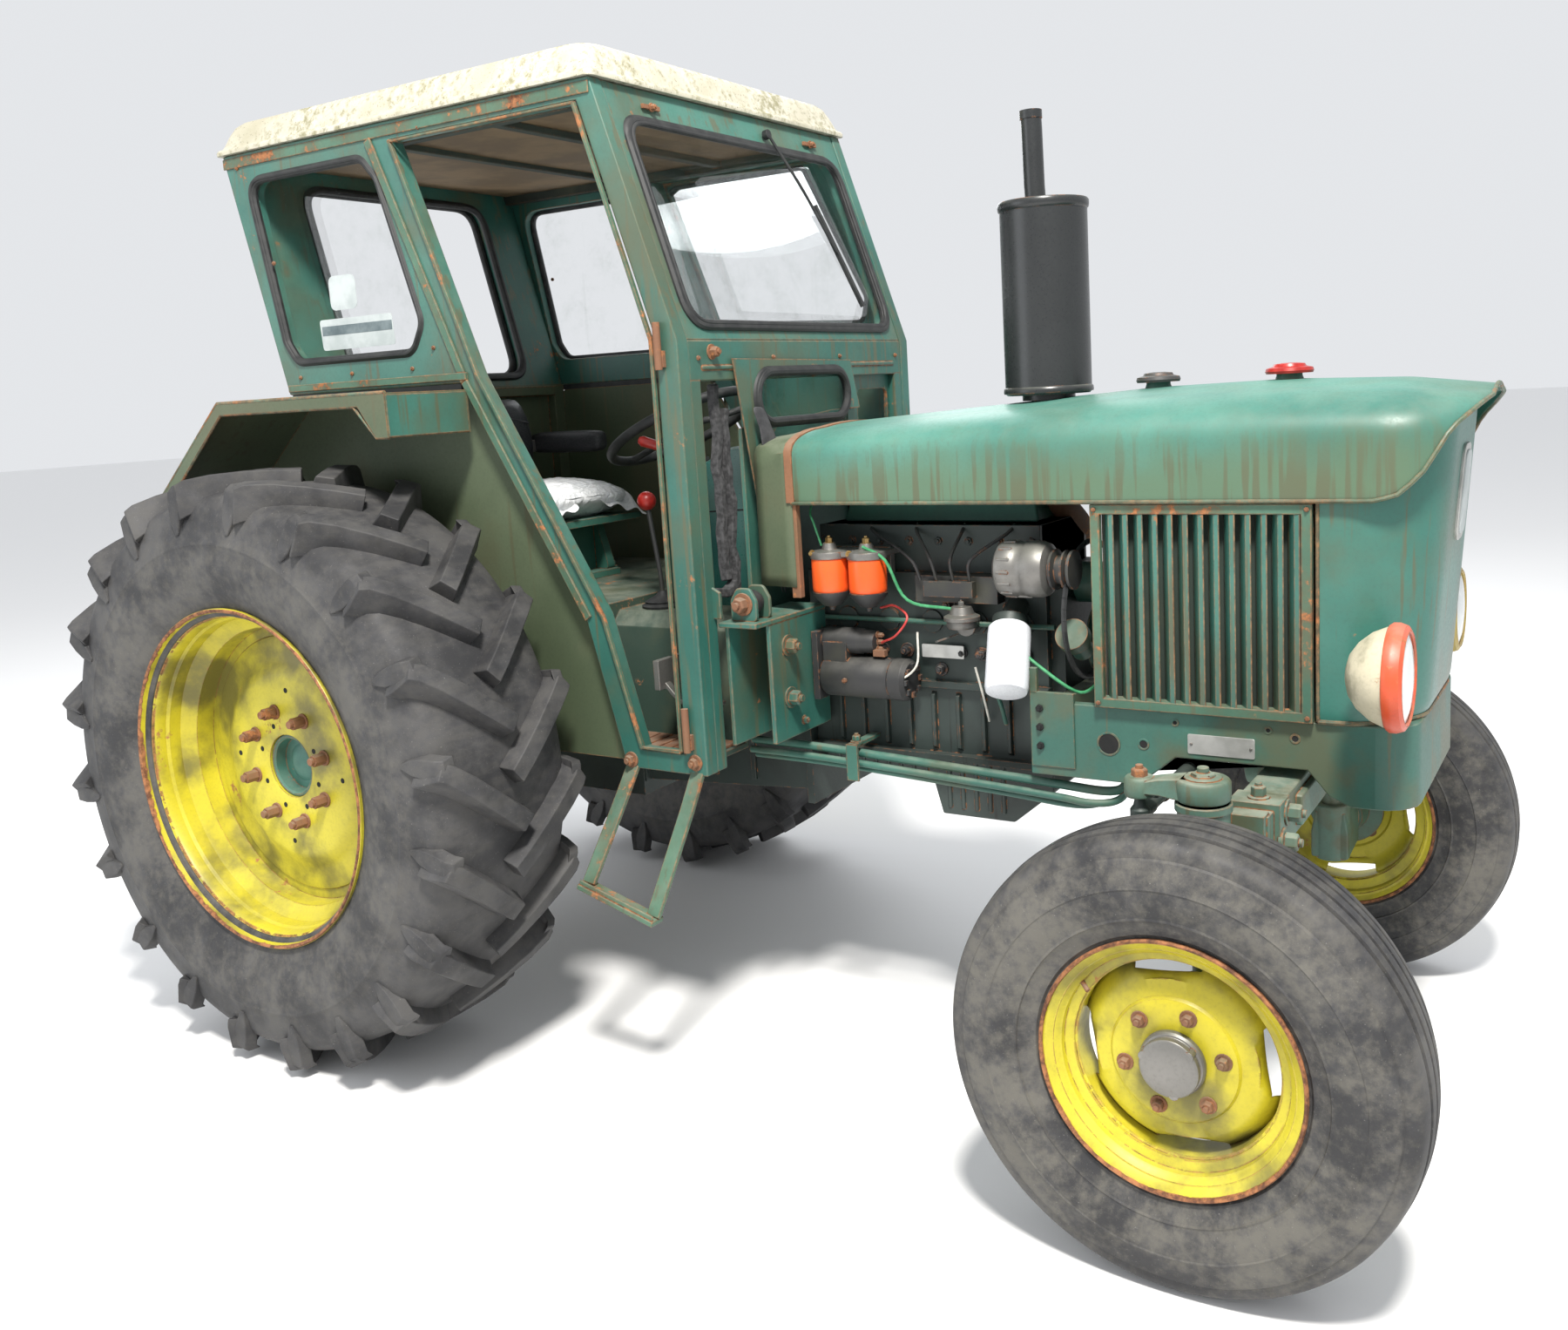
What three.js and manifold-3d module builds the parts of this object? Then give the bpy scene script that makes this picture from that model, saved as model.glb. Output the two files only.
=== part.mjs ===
// A two-wheel-drive farm tractor with a safety cab, weathered and with its right-hand door missing.
// Millimetres. +X is forward, +Y is the driver's left, +Z is up, and the ground is Z = 0.
// Sizes below are measured from the rear axle's centreline; the whole group is then moved so that the
// origin is under the middle of the machine's length.
import * as THREE from "three";
import { mergeVertices } from "three/addons/utils/BufferGeometryUtils.js";
import Module from "manifold-3d";

const wasm = await Module();
wasm.setup();

// ---------------------------------------------------------------- driving dimensions
const GAP = 0.4; // between pieces that touch
const SIDES = { right: -1, left: 1 };

const WHEELBASE = 2145;
const REAR = { radius: 720, width: 430, rim: 406, track: 760, facets: 28, disc: 58 };
const FRONT = { radius: 405, width: 205, rim: 225, track: 700, facets: 24 };
const KINGPIN = { y: 545, top: 850, bottom: 330, radius: 24, sleeve: [620, 798] };
const TRACK_ROD = { x: -115, z: 762, radius: 12 }; // its ball joints, behind the king pins
const BEAM = { x: 60, depth: 84, base: 672, top: 768 }; // the front axle beam, ahead of the king pins

const CAB = {
  half: 513, // outer half width
  skin: 40, // depth of the pressed frame
  roofBase: 2236,
  roofTop: 2326,
  rearTop: -417,
  rearBelt: -254,
  frontTop: 846,
  front: 1032,
  belt: 1612, // where the rear and quarter panels meet the mudguards
  scuttle: 1670, // foot of the windscreen
  sill: 715,
};
const FENDER = { outer: 760, top: 1597, front: 400, rear: -205, sheet: 8 };
const HOOD = { rear: 1150, front: 2552, base: 1300, top: 1520, half: 292, sheet: 8 };
const NOSE = { rear: 2283, front: 2458, lean: 48, base: 888, top: 1490, half: 279, sheet: 9, corner: 150 };
const GRILLE = { rear: 1850, front: 2275, base: 885, top: 1296, bars: 13, depth: 14 };
const FRAME = { rear: 1700, front: 2452, base: 726, top: 884, half: 270, wall: 24, corner: 70 };
const ENGINE = { rear: 1092, front: 1790, half: 150 };
const SILENCER = { x: 1655, radius: 98, base: 1510, top: 1930, stack: 2118 };
const GEARBOX = { rear: -255, front: 1090, half: 185 };
const STEERING_WHEEL = { centre: [632, 0, 1474], tilt: 0.44, radius: 200, tube: 13 };
const DRAFT = { x: -300, z: 560, y: 260 }; // pivot of the lower links
const LIFT = { x: -215, z: 985, y: 215, tip: [-500, 930], rodFoot: [-585, 640] }; // rocking shaft, arm tips, rod feet

// ---------------------------------------------------------------- finishes
/** One painted, rusted or moulded finish, as its colour, roughness and metalness. */
const finish = (color, roughness, metalness = 0) =>
  new THREE.MeshStandardMaterial({ color, roughness, metalness });
const FINISH = {
  green: finish(0x2f7a66, 0.55),
  olive: finish(0x3c4a35, 0.8),
  yellow: finish(0xb3a51e, 0.6),
  tyre: finish(0x4a4a4c, 0.9),
  black: finish(0x1c1e1f, 0.45),
  castIron: finish(0x22302c, 0.75, 0.2),
  roof: finish(0xd8d4c4, 0.8),
  glass: finish(0xc9d6da, 0.1),
  rust: finish(0x6e3d22, 0.9),
  orange: finish(0xd0491f, 0.5),
  white: finish(0xe4e6ea, 0.4),
  vinyl: finish(0x25272b, 0.7),
  wrapped: finish(0xd9dbdd, 0.4),
  steel: finish(0x6d6a63, 0.5, 0.6),
  red: finish(0xa52420, 0.4),
  cream: finish(0xc9c0a4, 0.6),
};

// ---------------------------------------------------------------- solids
/** A three.js geometry as a manifold solid. */
function solid(geometry) {
  const plain = geometry.index ? geometry.toNonIndexed() : geometry.clone();
  for (const name of Object.keys(plain.attributes)) {
    if (name !== "position") plain.deleteAttribute(name);
  }
  const merged = mergeVertices(plain, 1e-4);
  return new wasm.Manifold(
    new wasm.Mesh({
      numProp: 3,
      vertProperties: merged.attributes.position.array,
      triVerts: new Uint32Array(merged.index.array),
    }),
  );
}

/** All the solids joined into one. */
const join = (first, ...others) => others.reduce((made, other) => made.add(other), first);

/** The first solid with all the others taken away. */
const cut = (first, ...others) => others.reduce((made, other) => made.subtract(other), first);

/** A box between two corners. */
function box([x0, x1], [y0, y1], [z0, z1]) {
  const geometry = new THREE.BoxGeometry(x1 - x0, y1 - y0, z1 - z0);
  return solid(geometry.translate((x0 + x1) / 2, (y0 + y1) / 2, (z0 + z1) / 2));
}

/** A shape from a list of [u, v] corners. */
const outline = (corners) => new THREE.Shape(corners.map(([u, v]) => new THREE.Vector2(u, v)));

/** An outline in X and Z, given thickness from y0 to y1. */
function sidePlate(corners, y0, y1) {
  const geometry = new THREE.ExtrudeGeometry(outline(corners), { depth: y1 - y0, bevelEnabled: false });
  return solid(geometry.rotateX(Math.PI / 2).translate(0, y1, 0));
}

/** An outline in X and Y, given height from z0 to z1. */
function flatPlate(corners, z0, z1) {
  const geometry = new THREE.ExtrudeGeometry(outline(corners), { depth: z1 - z0, bevelEnabled: false });
  return solid(geometry.translate(0, 0, z0));
}

/** An outline in Y and Z, given length from x0 to x1. */
function crossPlate(corners, x0, x1) {
  const geometry = new THREE.ExtrudeGeometry(outline(corners), { depth: x1 - x0, bevelEnabled: false });
  return solid(geometry.rotateY(Math.PI / 2).rotateX(Math.PI / 2).translate(x0, 0, 0));
}

/** A round bar between two points. */
function bar(from, to, radius, sides = 10, endRadius = radius) {
  const start = new THREE.Vector3(...from);
  const axis = new THREE.Vector3(...to).sub(start);
  const geometry = new THREE.CylinderGeometry(endRadius, radius, axis.length(), sides);
  geometry.translate(0, axis.length() / 2, 0);
  geometry.applyQuaternion(
    new THREE.Quaternion().setFromUnitVectors(new THREE.Vector3(0, 1, 0), axis.clone().normalize()),
  );
  return solid(geometry.translate(...from));
}

/** A flat bar of rectangular section between two points, its width kept square to the length, nearest Y. */
function strap(from, to, width, depth) {
  const start = new THREE.Vector3(...from);
  const axis = new THREE.Vector3(...to).sub(start);
  const length = axis.length();
  const geometry = new THREE.BoxGeometry(depth, length, width).translate(0, length / 2, 0);
  const along = axis.normalize();
  const thick = new THREE.Vector3(0, 1, 0).cross(along).normalize();
  const wide = thick.clone().cross(along);
  geometry.applyMatrix4(new THREE.Matrix4().makeBasis(thick, along, wide));
  return solid(geometry.translate(...from));
}

/**
 * A ring or disc turned about the Y axis through (x, 0, z). The profile is [radius, y], and a flat of the
 * facets faces down so that a wheel rests on it.
 */
function turned(profile, facets, x, z) {
  const grow = 1 / Math.cos(Math.PI / facets);
  const points = profile.map(([radius, y]) => new THREE.Vector2(radius * grow, y));
  const area = points.reduce((sum, p, i) => sum + p.cross(points[(i + 1) % points.length]), 0);
  if (area < 0) points.reverse();
  const closed = [...points, points[0].clone()];
  const geometry = new THREE.LatheGeometry(closed, facets);
  geometry.rotateY(Math.PI / facets);
  return solid(geometry.translate(x, 0, z));
}

/** A solid between two level outlines with equally many corners, one above the other. */
function loft(low, high) {
  const n = low.length;
  const cap = THREE.ShapeUtils.triangulateShape(low.map(([x, y]) => new THREE.Vector2(x, y)), []);
  const index = cap.flatMap(([a, b, c]) => [a, c, b, n + a, n + b, n + c]);
  for (let i = 0; i < n; i++) {
    const j = (i + 1) % n;
    index.push(i, j, n + j, i, n + j, n + i);
  }
  const geometry = new THREE.BufferGeometry();
  geometry.setAttribute("position", new THREE.Float32BufferAttribute([...low, ...high].flat(), 3));
  geometry.setIndex(index);
  return solid(geometry);
}

/** A pipe that follows points. */
function pipe(points, radius, sides = 8, steps = points.length * 3) {
  const curve = new THREE.CatmullRomCurve3(points.map((p) => new THREE.Vector3(...p)), false, "centripetal");
  const section = new THREE.Shape().absarc(0, 0, radius, 0, Math.PI * 2);
  const ring = new THREE.Shape(section.getPoints(sides).slice(0, sides));
  return solid(new THREE.ExtrudeGeometry(ring, { steps, extrudePath: curve }));
}

/** A copy of a solid on the other side of the machine. */
const mirror = (made) => made.mirror([0, 1, 0]);

/** The solid as built for the left, or its mirror image for the right. */
const onSide = (made, side) => (side > 0 ? made : mirror(made));

// ---------------------------------------------------------------- the group
const tractor = new THREE.Group();
const REARMOST = -901; // the balls of the lower links
tractor.position.x = -(REARMOST + HOOD.front) / 2;

/** Adds one solid to the tractor as a named mesh. */
function add(name, made, material) {
  const data = made.getMesh();
  const geometry = new THREE.BufferGeometry();
  const positions = new Float32Array(data.numVert * 3);
  for (let i = 0; i < data.numVert; i++) {
    positions.set(data.vertProperties.subarray(i * data.numProp, i * data.numProp + 3), i * 3);
  }
  geometry.setAttribute("position", new THREE.BufferAttribute(positions, 3));
  geometry.setIndex(new THREE.BufferAttribute(data.triVerts, 1));
  const mesh = new THREE.Mesh(geometry, material);
  mesh.name = name;
  tractor.add(mesh);
}

// ---------------------------------------------------------------- wheels
/** A tyre's section, symmetrical about its middle, from bead to tread. */
function tyreProfile({ radius, width, rim }, bead, shoulder) {
  const half = width / 2;
  const rise = radius - rim;
  const oneSide = [
    [rim - 20, bead],
    [rim + 2, bead],
    [rim + rise * 0.48, half],
    [radius - rise * shoulder, half - 8],
    [radius, half - 60 * (width / 430)],
  ];
  return [...oneSide, ...oneSide.map(([r, y]) => [r, -y]).reverse()];
}

/** A well-based rim's section, outer face first, the same thickness of sheet all the way across. */
function rimProfile(rim, half, lip, well, sheet) {
  const seat = rim - 20.4;
  const ledge = half - lip;
  const bottom = half * 0.55;
  const rise = (ledge - bottom) / (seat - well);
  const shift = sheet * Math.hypot(1, rise);
  const outer = [
    [rim, half],
    [rim, ledge],
    [seat, ledge],
    [well, bottom],
  ];
  const inner = [
    [rim - sheet, half],
    [rim - sheet, ledge + sheet],
    [seat + (sheet - shift) / rise, ledge + sheet],
    [well - sheet, bottom - sheet * rise + shift],
  ];
  const both = (points) => [...points, ...points.map(([r, y]) => [r, -y]).reverse()];
  return [...both(outer), ...both(inner).reverse()];
}

/** A rear wheel: tyre, rim with its bolted disc, and the axle flange that carries it. */
function rearWheel(word, side) {
  const { radius, track, facets, disc } = REAR;
  const place = (made) => onSide(made.translate([0, track, 0]), side);
  const tyre = turned(tyreProfile(REAR, 172, 0.06), facets, 0, radius);
  add(`rear_tyre_${word}`, place(tyre), FINISH.tyre);
  const rim = turned(rimProfile(REAR.rim, 188, 15, 345, 8), facets, 0, radius);
  const plate = turned(
    [
      [78, disc],
      [225, disc],
      [268, disc - 22],
      [341, disc - 30],
      [341, disc - 42],
      [262, disc - 34],
      [221, disc - 12],
      [78, disc - 12],
    ],
    facets,
    0,
    radius,
  );
  add(`rear_rim_${word}`, place(join(rim, plate)), FINISH.yellow);
  const hub = turned(
    [
      [0, disc + 14],
      [48, disc + 14],
      [62, disc + 6],
      [62, disc - 12 - GAP],
      [168, disc - 12 - GAP],
      [168, disc - 34],
      [50, disc - 34],
      [50, -110],
      [0, -110],
    ],
    16,
    0,
    radius,
  );
  add(`rear_hub_${word}`, place(hub), FINISH.castIron);
}

/** A front wheel: ribbed tyre, rim with its dished disc, and the hub that turns on the stub axle. */
function frontWheel(word, side) {
  const { radius, track, facets } = FRONT;
  const place = (made) => onSide(made.translate([0, track, 0]), side);
  const tyre = turned(tyreProfile(FRONT, 64, 0.1), facets, WHEELBASE, radius);
  add(`front_tyre_${word}`, place(tyre), FINISH.tyre);
  const rim = turned(rimProfile(FRONT.rim, 78, 13, 176, 6), facets, WHEELBASE, radius);
  const plate = turned(
    [
      [52, 38],
      [118, 38],
      [146, 22],
      [173, 22],
      [173, 12],
      [142, 12],
      [115, 29],
      [52, 29],
    ],
    facets,
    WHEELBASE,
    radius,
  );
  add(`front_rim_${word}`, place(join(rim, plate)), FINISH.yellow);
  const hub = turned(
    [
      [0, 74],
      [38, 74],
      [46, 64],
      [48, 29 - GAP],
      [92, 29 - GAP],
      [92, 16],
      [58, 12],
      [52, -46],
      [20.4, -46],
      [20.4, 40],
      [0, 40],
    ],
    16,
    WHEELBASE,
    radius,
  );
  add(`front_hub_${word}`, place(hub), FINISH.steel);
}

/** The stub axle: king pin, spindle, and the steering arm on top of the pin. */
function knuckle(word, side) {
  const { y, top, bottom, radius, sleeve } = KINGPIN;
  const hubInner = FRONT.track - 49;
  const armZ = sleeve[1] + 4;
  const pin = bar([WHEELBASE, y, bottom], [WHEELBASE, y, top], radius, 12);
  const foot = box([WHEELBASE - 44, WHEELBASE + 44], [y - 34, hubInner], [bottom, FRONT.radius + 48]);
  const spindle = bar(
    [WHEELBASE, hubInner - 10, FRONT.radius],
    [WHEELBASE, FRONT.track + 34, FRONT.radius],
    20,
    16,
  );
  const collar = bar([WHEELBASE, y, armZ], [WHEELBASE, y, armZ + 34], 44, 14);
  const arm = box([WHEELBASE + TRACK_ROD.x, WHEELBASE], [y - 20, y + 20], [armZ, armZ + 26]);
  const eye = bar([WHEELBASE + TRACK_ROD.x, y, armZ - 8], [WHEELBASE + TRACK_ROD.x, y, armZ + 32], 26, 12);
  add(`steering_knuckle_${word}`, onSide(join(pin, foot, spindle, collar, arm, eye), side), FINISH.green);
}

/** The cast front axle beam with its pivot and the king-pin sleeves at its ends. */
function frontAxle() {
  const { y, radius, sleeve } = KINGPIN;
  const middle = WHEELBASE + BEAM.x;
  const beam = box(
    [middle - BEAM.depth / 2, middle + BEAM.depth / 2],
    [-y + 62, y - 62],
    [BEAM.base, BEAM.top],
  );
  const pivot = bar([2080, 0, 722], [2290, 0, 722], 50, 16);
  const ends = [];
  for (const side of Object.values(SIDES)) {
    const tube = bar([WHEELBASE, side * y, sleeve[0]], [WHEELBASE, side * y, sleeve[1]], 46, 14);
    const near = [side * y, side * (y - 150)].sort((a, b) => a - b);
    const neck = box([WHEELBASE - 34, WHEELBASE + 34], near, [BEAM.base, BEAM.top]);
    ends.push(join(tube, neck));
  }
  const bores = Object.values(SIDES).map((side) =>
    bar([WHEELBASE, side * y, sleeve[0] - 10], [WHEELBASE, side * y, sleeve[1] + 10], radius + 1, 12),
  );
  add("front_axle", cut(join(beam, pivot, ...ends), ...bores), FINISH.green);
}

/** The track rod under the steering arms. */
function trackRod() {
  const x = WHEELBASE + TRACK_ROD.x;
  const { z, radius } = TRACK_ROD;
  const rod = bar([x, -KINGPIN.y, z], [x, KINGPIN.y, z], radius, 10);
  const ends = Object.values(SIDES).map((side) =>
    bar([x, side * KINGPIN.y, z - 20], [x, side * KINGPIN.y, z + 26], 18, 12),
  );
  add("track_rod", join(rod, ...ends), FINISH.castIron);
}

// ---------------------------------------------------------------- chassis and engine
/** A plan outline with its two front corners rounded. */
function roundedPlan(rear, front, half, corner, steps = 5) {
  const side = [[rear, -half]];
  for (let i = 0; i <= steps; i++) {
    const t = (i / steps) * (Math.PI / 2);
    side.push([front - corner + corner * Math.sin(t), -half + corner * (1 - Math.cos(t))]);
  }
  return [...side, ...side.map(([x, y]) => [x, -y]).reverse()];
}

/** The cast front frame: a U in plan, with an arch over the axle in each rail. */
function frontFrame() {
  const { rear, front, base, top, half, wall, corner } = FRAME;
  const arch = base + 64;
  const profile = [
    [rear, base],
    [1905, base],
    [1950, base + 14],
    [2010, arch],
    [2262, arch],
    [2300, base + 18],
    [2340, base],
    [front + 1, base],
    [front + 1, top],
    [rear, top],
  ];
  const outer = flatPlate(roundedPlan(rear, front, half, corner), base - 10, top + 10);
  const inner = flatPlate(roundedPlan(rear - 10, front - wall, half - wall, corner - wall), base - 20, top + 20);
  const rails = cut(outer, inner).intersect(sidePlate(profile, -half - 5, half + 5));
  const plate = box([1738, 1770], [-half + 5, half - 5], [base + 4, top]);
  const bridge = box([2040, 2290], [-half + 5, half - 5], [arch + 6, top]);
  add("front_frame", join(rails, plate, bridge), FINISH.green);
}

/** Engine: one block with its head, cover and sump, and what is bolted to its right side. */
function engine() {
  const { rear, front, half } = ENGINE;
  const block = box([rear, front - 94], [-half, half], [690, 1130]);
  const nosePart = box([front - 94, front - 60], [-half + 20, half - 20], [760, 1100]);
  const head = box([rear + 30, front - 110], [-half + 25, half - 15], [1130, 1235]);
  const cover = box([rear + 60, front - 140], [-70, 70], [1235, 1285]);
  const pan = sidePlate([[rear, 700], [rear + 10, 640], [1390, 630], [1410, 556], [1590, 556], [1690, 640], [1690, 700]], -125, 125);
  add("engine", join(block, nosePart, head, cover, pan), FINISH.castIron);
  add("starter_motor", join(
    bar([1152, -203, 892], [1392, -203, 892], 48, 14),
    bar([1158, -200, 975], [1312, -200, 975], 30, 12),
    box([1190, 1225], [-225, -180], [925, 960]),
  ), FINISH.black);
  add("alternator", join(
    bar([1622, -222, 1155], [1745, -222, 1155], 60, 16),
    bar([1744, -222, 1155], [1796, -222, 1155], 44, 16),
    box([1640, 1720], [-200, -half - GAP], [1110, 1150]),
  ), FINISH.steel);
  const cans = [1208, 1305].map((x) => join(
    bar([x, -235, 1094], [x, -235, 1176], 43, 14),
    bar([x, -235, 1058], [x, -235, 1096], 36, 14),
  ));
  add("fuel_filters", join(box([1165, 1348], [-262, -half - GAP], [1172, 1192]), ...cans), FINISH.orange);
  add("oil_filter", join(
    bar([1642, -225, 1030], [1668, -312, 905], 46, 16),
    bar([1632, -half - 16, 1056], [1642, -225, 1030], 24, 12),
  ), FINISH.white);
  add("radiator", box([2105, 2185], [-235, 235], [905, 1290]), FINISH.black);
}

/** Gearbox and rear axle: the spine of the machine. */
function transmission() {
  const { rear, front, half } = GEARBOX;
  const casing = box([-180, 560], [-half, half], [520, 955]);
  const clutch = sidePlate([[560, 560], [front, 590], [front, 1010], [860, 990], [560, 955]], -165, 165);
  const back = box([rear, -180], [-150, 150], [560, 930]);
  const housing = join(
    bar([0, half - 10, REAR.radius], [0, 470, REAR.radius], 175, 16, 110),
    bar([0, 468, REAR.radius], [0, 612, REAR.radius], 110, 16),
    bar([0, 610, REAR.radius], [0, 638, REAR.radius], 150, 16),
  );
  const drawbar = box([-640, -100], [-40, 40], [400, 432]);
  const hanger = box([-245, -175], [-60, 60], [430, 565]);
  const body = join(casing, clutch, back, housing, mirror(housing), drawbar, hanger);
  add("transmission", body, FINISH.castIron);
}

/** A bracket on the clutch housing that the front corner of the cab stands on. */
function cabBracket(word, side) {
  const made = join(
    box([1050, 1144], [165 + GAP, 455], [1044, 1054]),
    box([1050, 1060], [165 + GAP, 440], [770, 1044]),
    box([1132, 1144], [165 + GAP, 400], [770, 1044]),
    bar([1070, 400, 1054], [1130, 400, 1054], 30, 12),
  );
  add(`cab_bracket_${word}`, onSide(made, side), FINISH.green);
}

// ---------------------------------------------------------------- bonnet
/** The bonnet's cross-section: flat sides and a crowned top. */
function hoodSection(inset) {
  const { base, top, half } = HOOD;
  const y = half - inset;
  const z = top - inset;
  const corners = [[-y, base - (inset ? 60 : 0)], [-y, z - 104]];
  const steps = 6;
  for (let i = 1; i <= steps; i++) {
    const t = (i / steps) * (Math.PI / 2);
    corners.push([-y + 150 * (1 - Math.cos(t)), z - 104 + 88 * Math.sin(t)]);
  }
  corners.push([0, z]);
  const left = corners.slice(0, -1).map(([a, b]) => [-a, b]).reverse();
  return [...corners, ...left];
}

/** The bonnet's outline from the side: a level lower edge, and a nose swept forward at the top. */
function hoodSide() {
  const { rear, front, base, top } = HOOD;
  return [
    [rear, base],
    [2385, base],
    [2425, base + 12],
    [2462, base + 52],
    [2500, base + 122],
    [front, top - 44],
    [front, top - 24],
    [2440, top + 10],
    [rear, top + 10],
  ];
}

/** The height of the bonnet's crown along its length, as a cutting outline. */
const HOOD_CROWN = [
  [1100, -52],
  [1430, -32],
  [1900, -4],
  [2172, 0],
  [2400, -8],
  [2600, -34],
];

/** The bonnet, open below and at the front, with the silencer's stack through it. */
function bonnet() {
  const { rear, front, base, top, sheet } = HOOD;
  const skin = (inset, reach) => {
    const crown = HOOD_CROWN.map(([x, drop]) => [x, top + drop - inset]);
    const under = [[2600, base - 100], [1100, base - 100]];
    const length = crossPlate(hoodSection(inset), rear - reach, front + reach);
    return length.intersect(sidePlate([...under, ...crown], -400, 400));
  };
  const plan = flatPlate(roundedPlan(rear - 10, front, 300, 170), base - 10, top + 20);
  const outer = skin(0, 0).intersect(sidePlate(hoodSide(), -400, 400)).intersect(plan);
  const stackHole = bar([SILENCER.x, 0, 1400], [SILENCER.x, 0, 1600], 46, 16);
  add("bonnet", cut(outer, skin(sheet, 50), stackHole), FINISH.green);
  const { x, radius, base: foot, top: cap, stack } = SILENCER;
  add("silencer", join(
    bar([x, 0, 1320], [x, 0, foot + 5], 38, 14),
    bar([x, 0, foot], [x, 0, cap], radius, 20),
    bar([x - 16, 0, cap - 4], [x - 22, 0, stack], 23, 12),
  ), FINISH.black);
}

/** The sheet that closes the gap between the bonnet and the cab. */
function scuttleCowl() {
  const { rear, top, sheet } = HOOD;
  const skin = (inset) => crossPlate(hoodSection(inset), CAB.front + 14, rear - GAP);
  const drop = sidePlate([[900, 1200], [1200, 1200], [1200, top - 52], [900, top - 62]], -400, 400);
  const hollow = crossPlate(hoodSection(sheet), CAB.front - 20, rear + 20);
  const under = sidePlate([[900, 1100], [1300, 1100], [1300, top - 62], [900, top - 72]], -400, 400);
  add("scuttle_cowl", cut(skin(0).intersect(drop), hollow.intersect(under)), FINISH.green);
}

/** The nose: a sheet wrapped from one grille round the front to the other, leaning forward at the top. */
function nose() {
  const { rear, front, lean, base, top, half, sheet, corner } = NOSE;
  const level = (z, inset) => {
    const reach = (lean * (z - base)) / (top - base);
    const start = rear - (inset ? 20 : 0);
    return roundedPlan(start, front + reach - inset, half - inset, corner - inset).map(([x, y]) => [x, y, z]);
  };
  const shell = cut(loft(level(base, 0), level(top, 0)), loft(level(base - 5, sheet), level(top + 5, sheet)));
  const belowHood = box([rear - 50, front + 200], [-half - 5, half + 5], [base - 10, HOOD.base + 10]);
  const inHood = crossPlate(hoodSection(HOOD.sheet + GAP), rear - 50, front + 200);
  add("nose_panel", shell.intersect(join(belowHood, inHood)), FINISH.green);
  for (const [word, side] of Object.entries(SIDES)) {
    const lamp = join(
      bar([2350, 362, 1000], [2425, 362, 1000], 45, 16, 92),
      bar([2425, 362, 1000], [2452, 362, 1000], 95, 16),
      box([2362, 2386], [half + GAP, 345], [985, 1015]),
    );
    add(`headlamp_${word}`, onSide(lamp, side), FINISH.cream);
  }
}

/** A louvred side panel beside the radiator. */
function grille(word, side) {
  const { rear, front, base, top, bars, depth } = GRILLE;
  const outer = NOSE.half + 8;
  const panel = box([rear, front], [outer - depth, outer], [base, top]);
  const pitch = (front - rear - 40) / bars;
  const gaps = [];
  for (let i = 0; i < bars; i++) {
    const x = rear + 20 + pitch * (i + 0.5);
    gaps.push(box([x - pitch * 0.28, x + pitch * 0.28], [outer - depth - 5, outer + 5], [base + 28, top - 28]));
  }
  add(`side_grille_${word}`, onSide(cut(panel, ...gaps), side), FINISH.green);
}

// ---------------------------------------------------------------- cab
/** Where the cab's slanting back is, at a height. */
const rearAt = (z) =>
  CAB.rearTop + ((CAB.roofBase - z) * (CAB.rearBelt - CAB.rearTop)) / (CAB.roofBase - CAB.belt);
/** Where the cab's slanting windscreen is, at a height. */
const frontAt = (z) =>
  CAB.frontTop + ((CAB.roofBase - z) * (CAB.front - CAB.frontTop)) / (CAB.roofBase - CAB.scuttle);

const DOORWAY = [
  [222, 2190],
  [806, 2190],
  [972, CAB.scuttle + 8],
  [972, 762],
  [846, 762],
  [762, 1068],
  [432, 1628],
];

/** A hanging stirrup step, welded under the sill. */
function stirrup() {
  const { half, sill } = CAB;
  const foot = 655;
  return join(
    strap([815, half - 12, sill + 12], [782, foot, 478], 36, 10),
    strap([1000, half - 12, sill + 12], [962, foot, 428], 36, 10),
    strap([770, foot + 2, 478], [975, foot + 2, 424], 42, 12),
  );
}

/** One side of the cab: roof rail, pillars and sill round the doorway, and the quarter panel. */
function cabSide(word, side) {
  const { half, skin, roofBase, front, belt, sill } = CAB;
  const body = sidePlate(
    [
      [rearAt(roofBase - GAP), roofBase - GAP],
      [frontAt(roofBase) - GAP, roofBase - GAP],
      [front - GAP, CAB.scuttle],
      [front - GAP, sill],
      [800, sill],
      [710, 1060],
      [382, belt],
      [rearAt(belt), belt],
    ],
    half - skin,
    half,
  );
  const doorway = sidePlate(DOORWAY, half - skin - 5, half + 5);
  const quarter = sidePlate(
    [[-300, 2142], [-262, 2160], [88, 2160], [148, 2118], [262, 1766], [236, 1706], [-192, 1696], [-232, 1740]],
    half - skin - 5,
    half + 5,
  );
  add(`cab_side_${word}`, onSide(join(cut(body, doorway, quarter), stirrup()), side), FINISH.green);
  const pane = sidePlate(
    [[-299, 2141], [-262, 2159], [88, 2159], [147, 2117], [261, 1766], [235, 1707], [-191, 1697], [-231, 1740]],
    half - 18,
    half - 13,
  );
  add(`quarter_glass_${word}`, onSide(pane, side), FINISH.glass);
}

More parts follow.
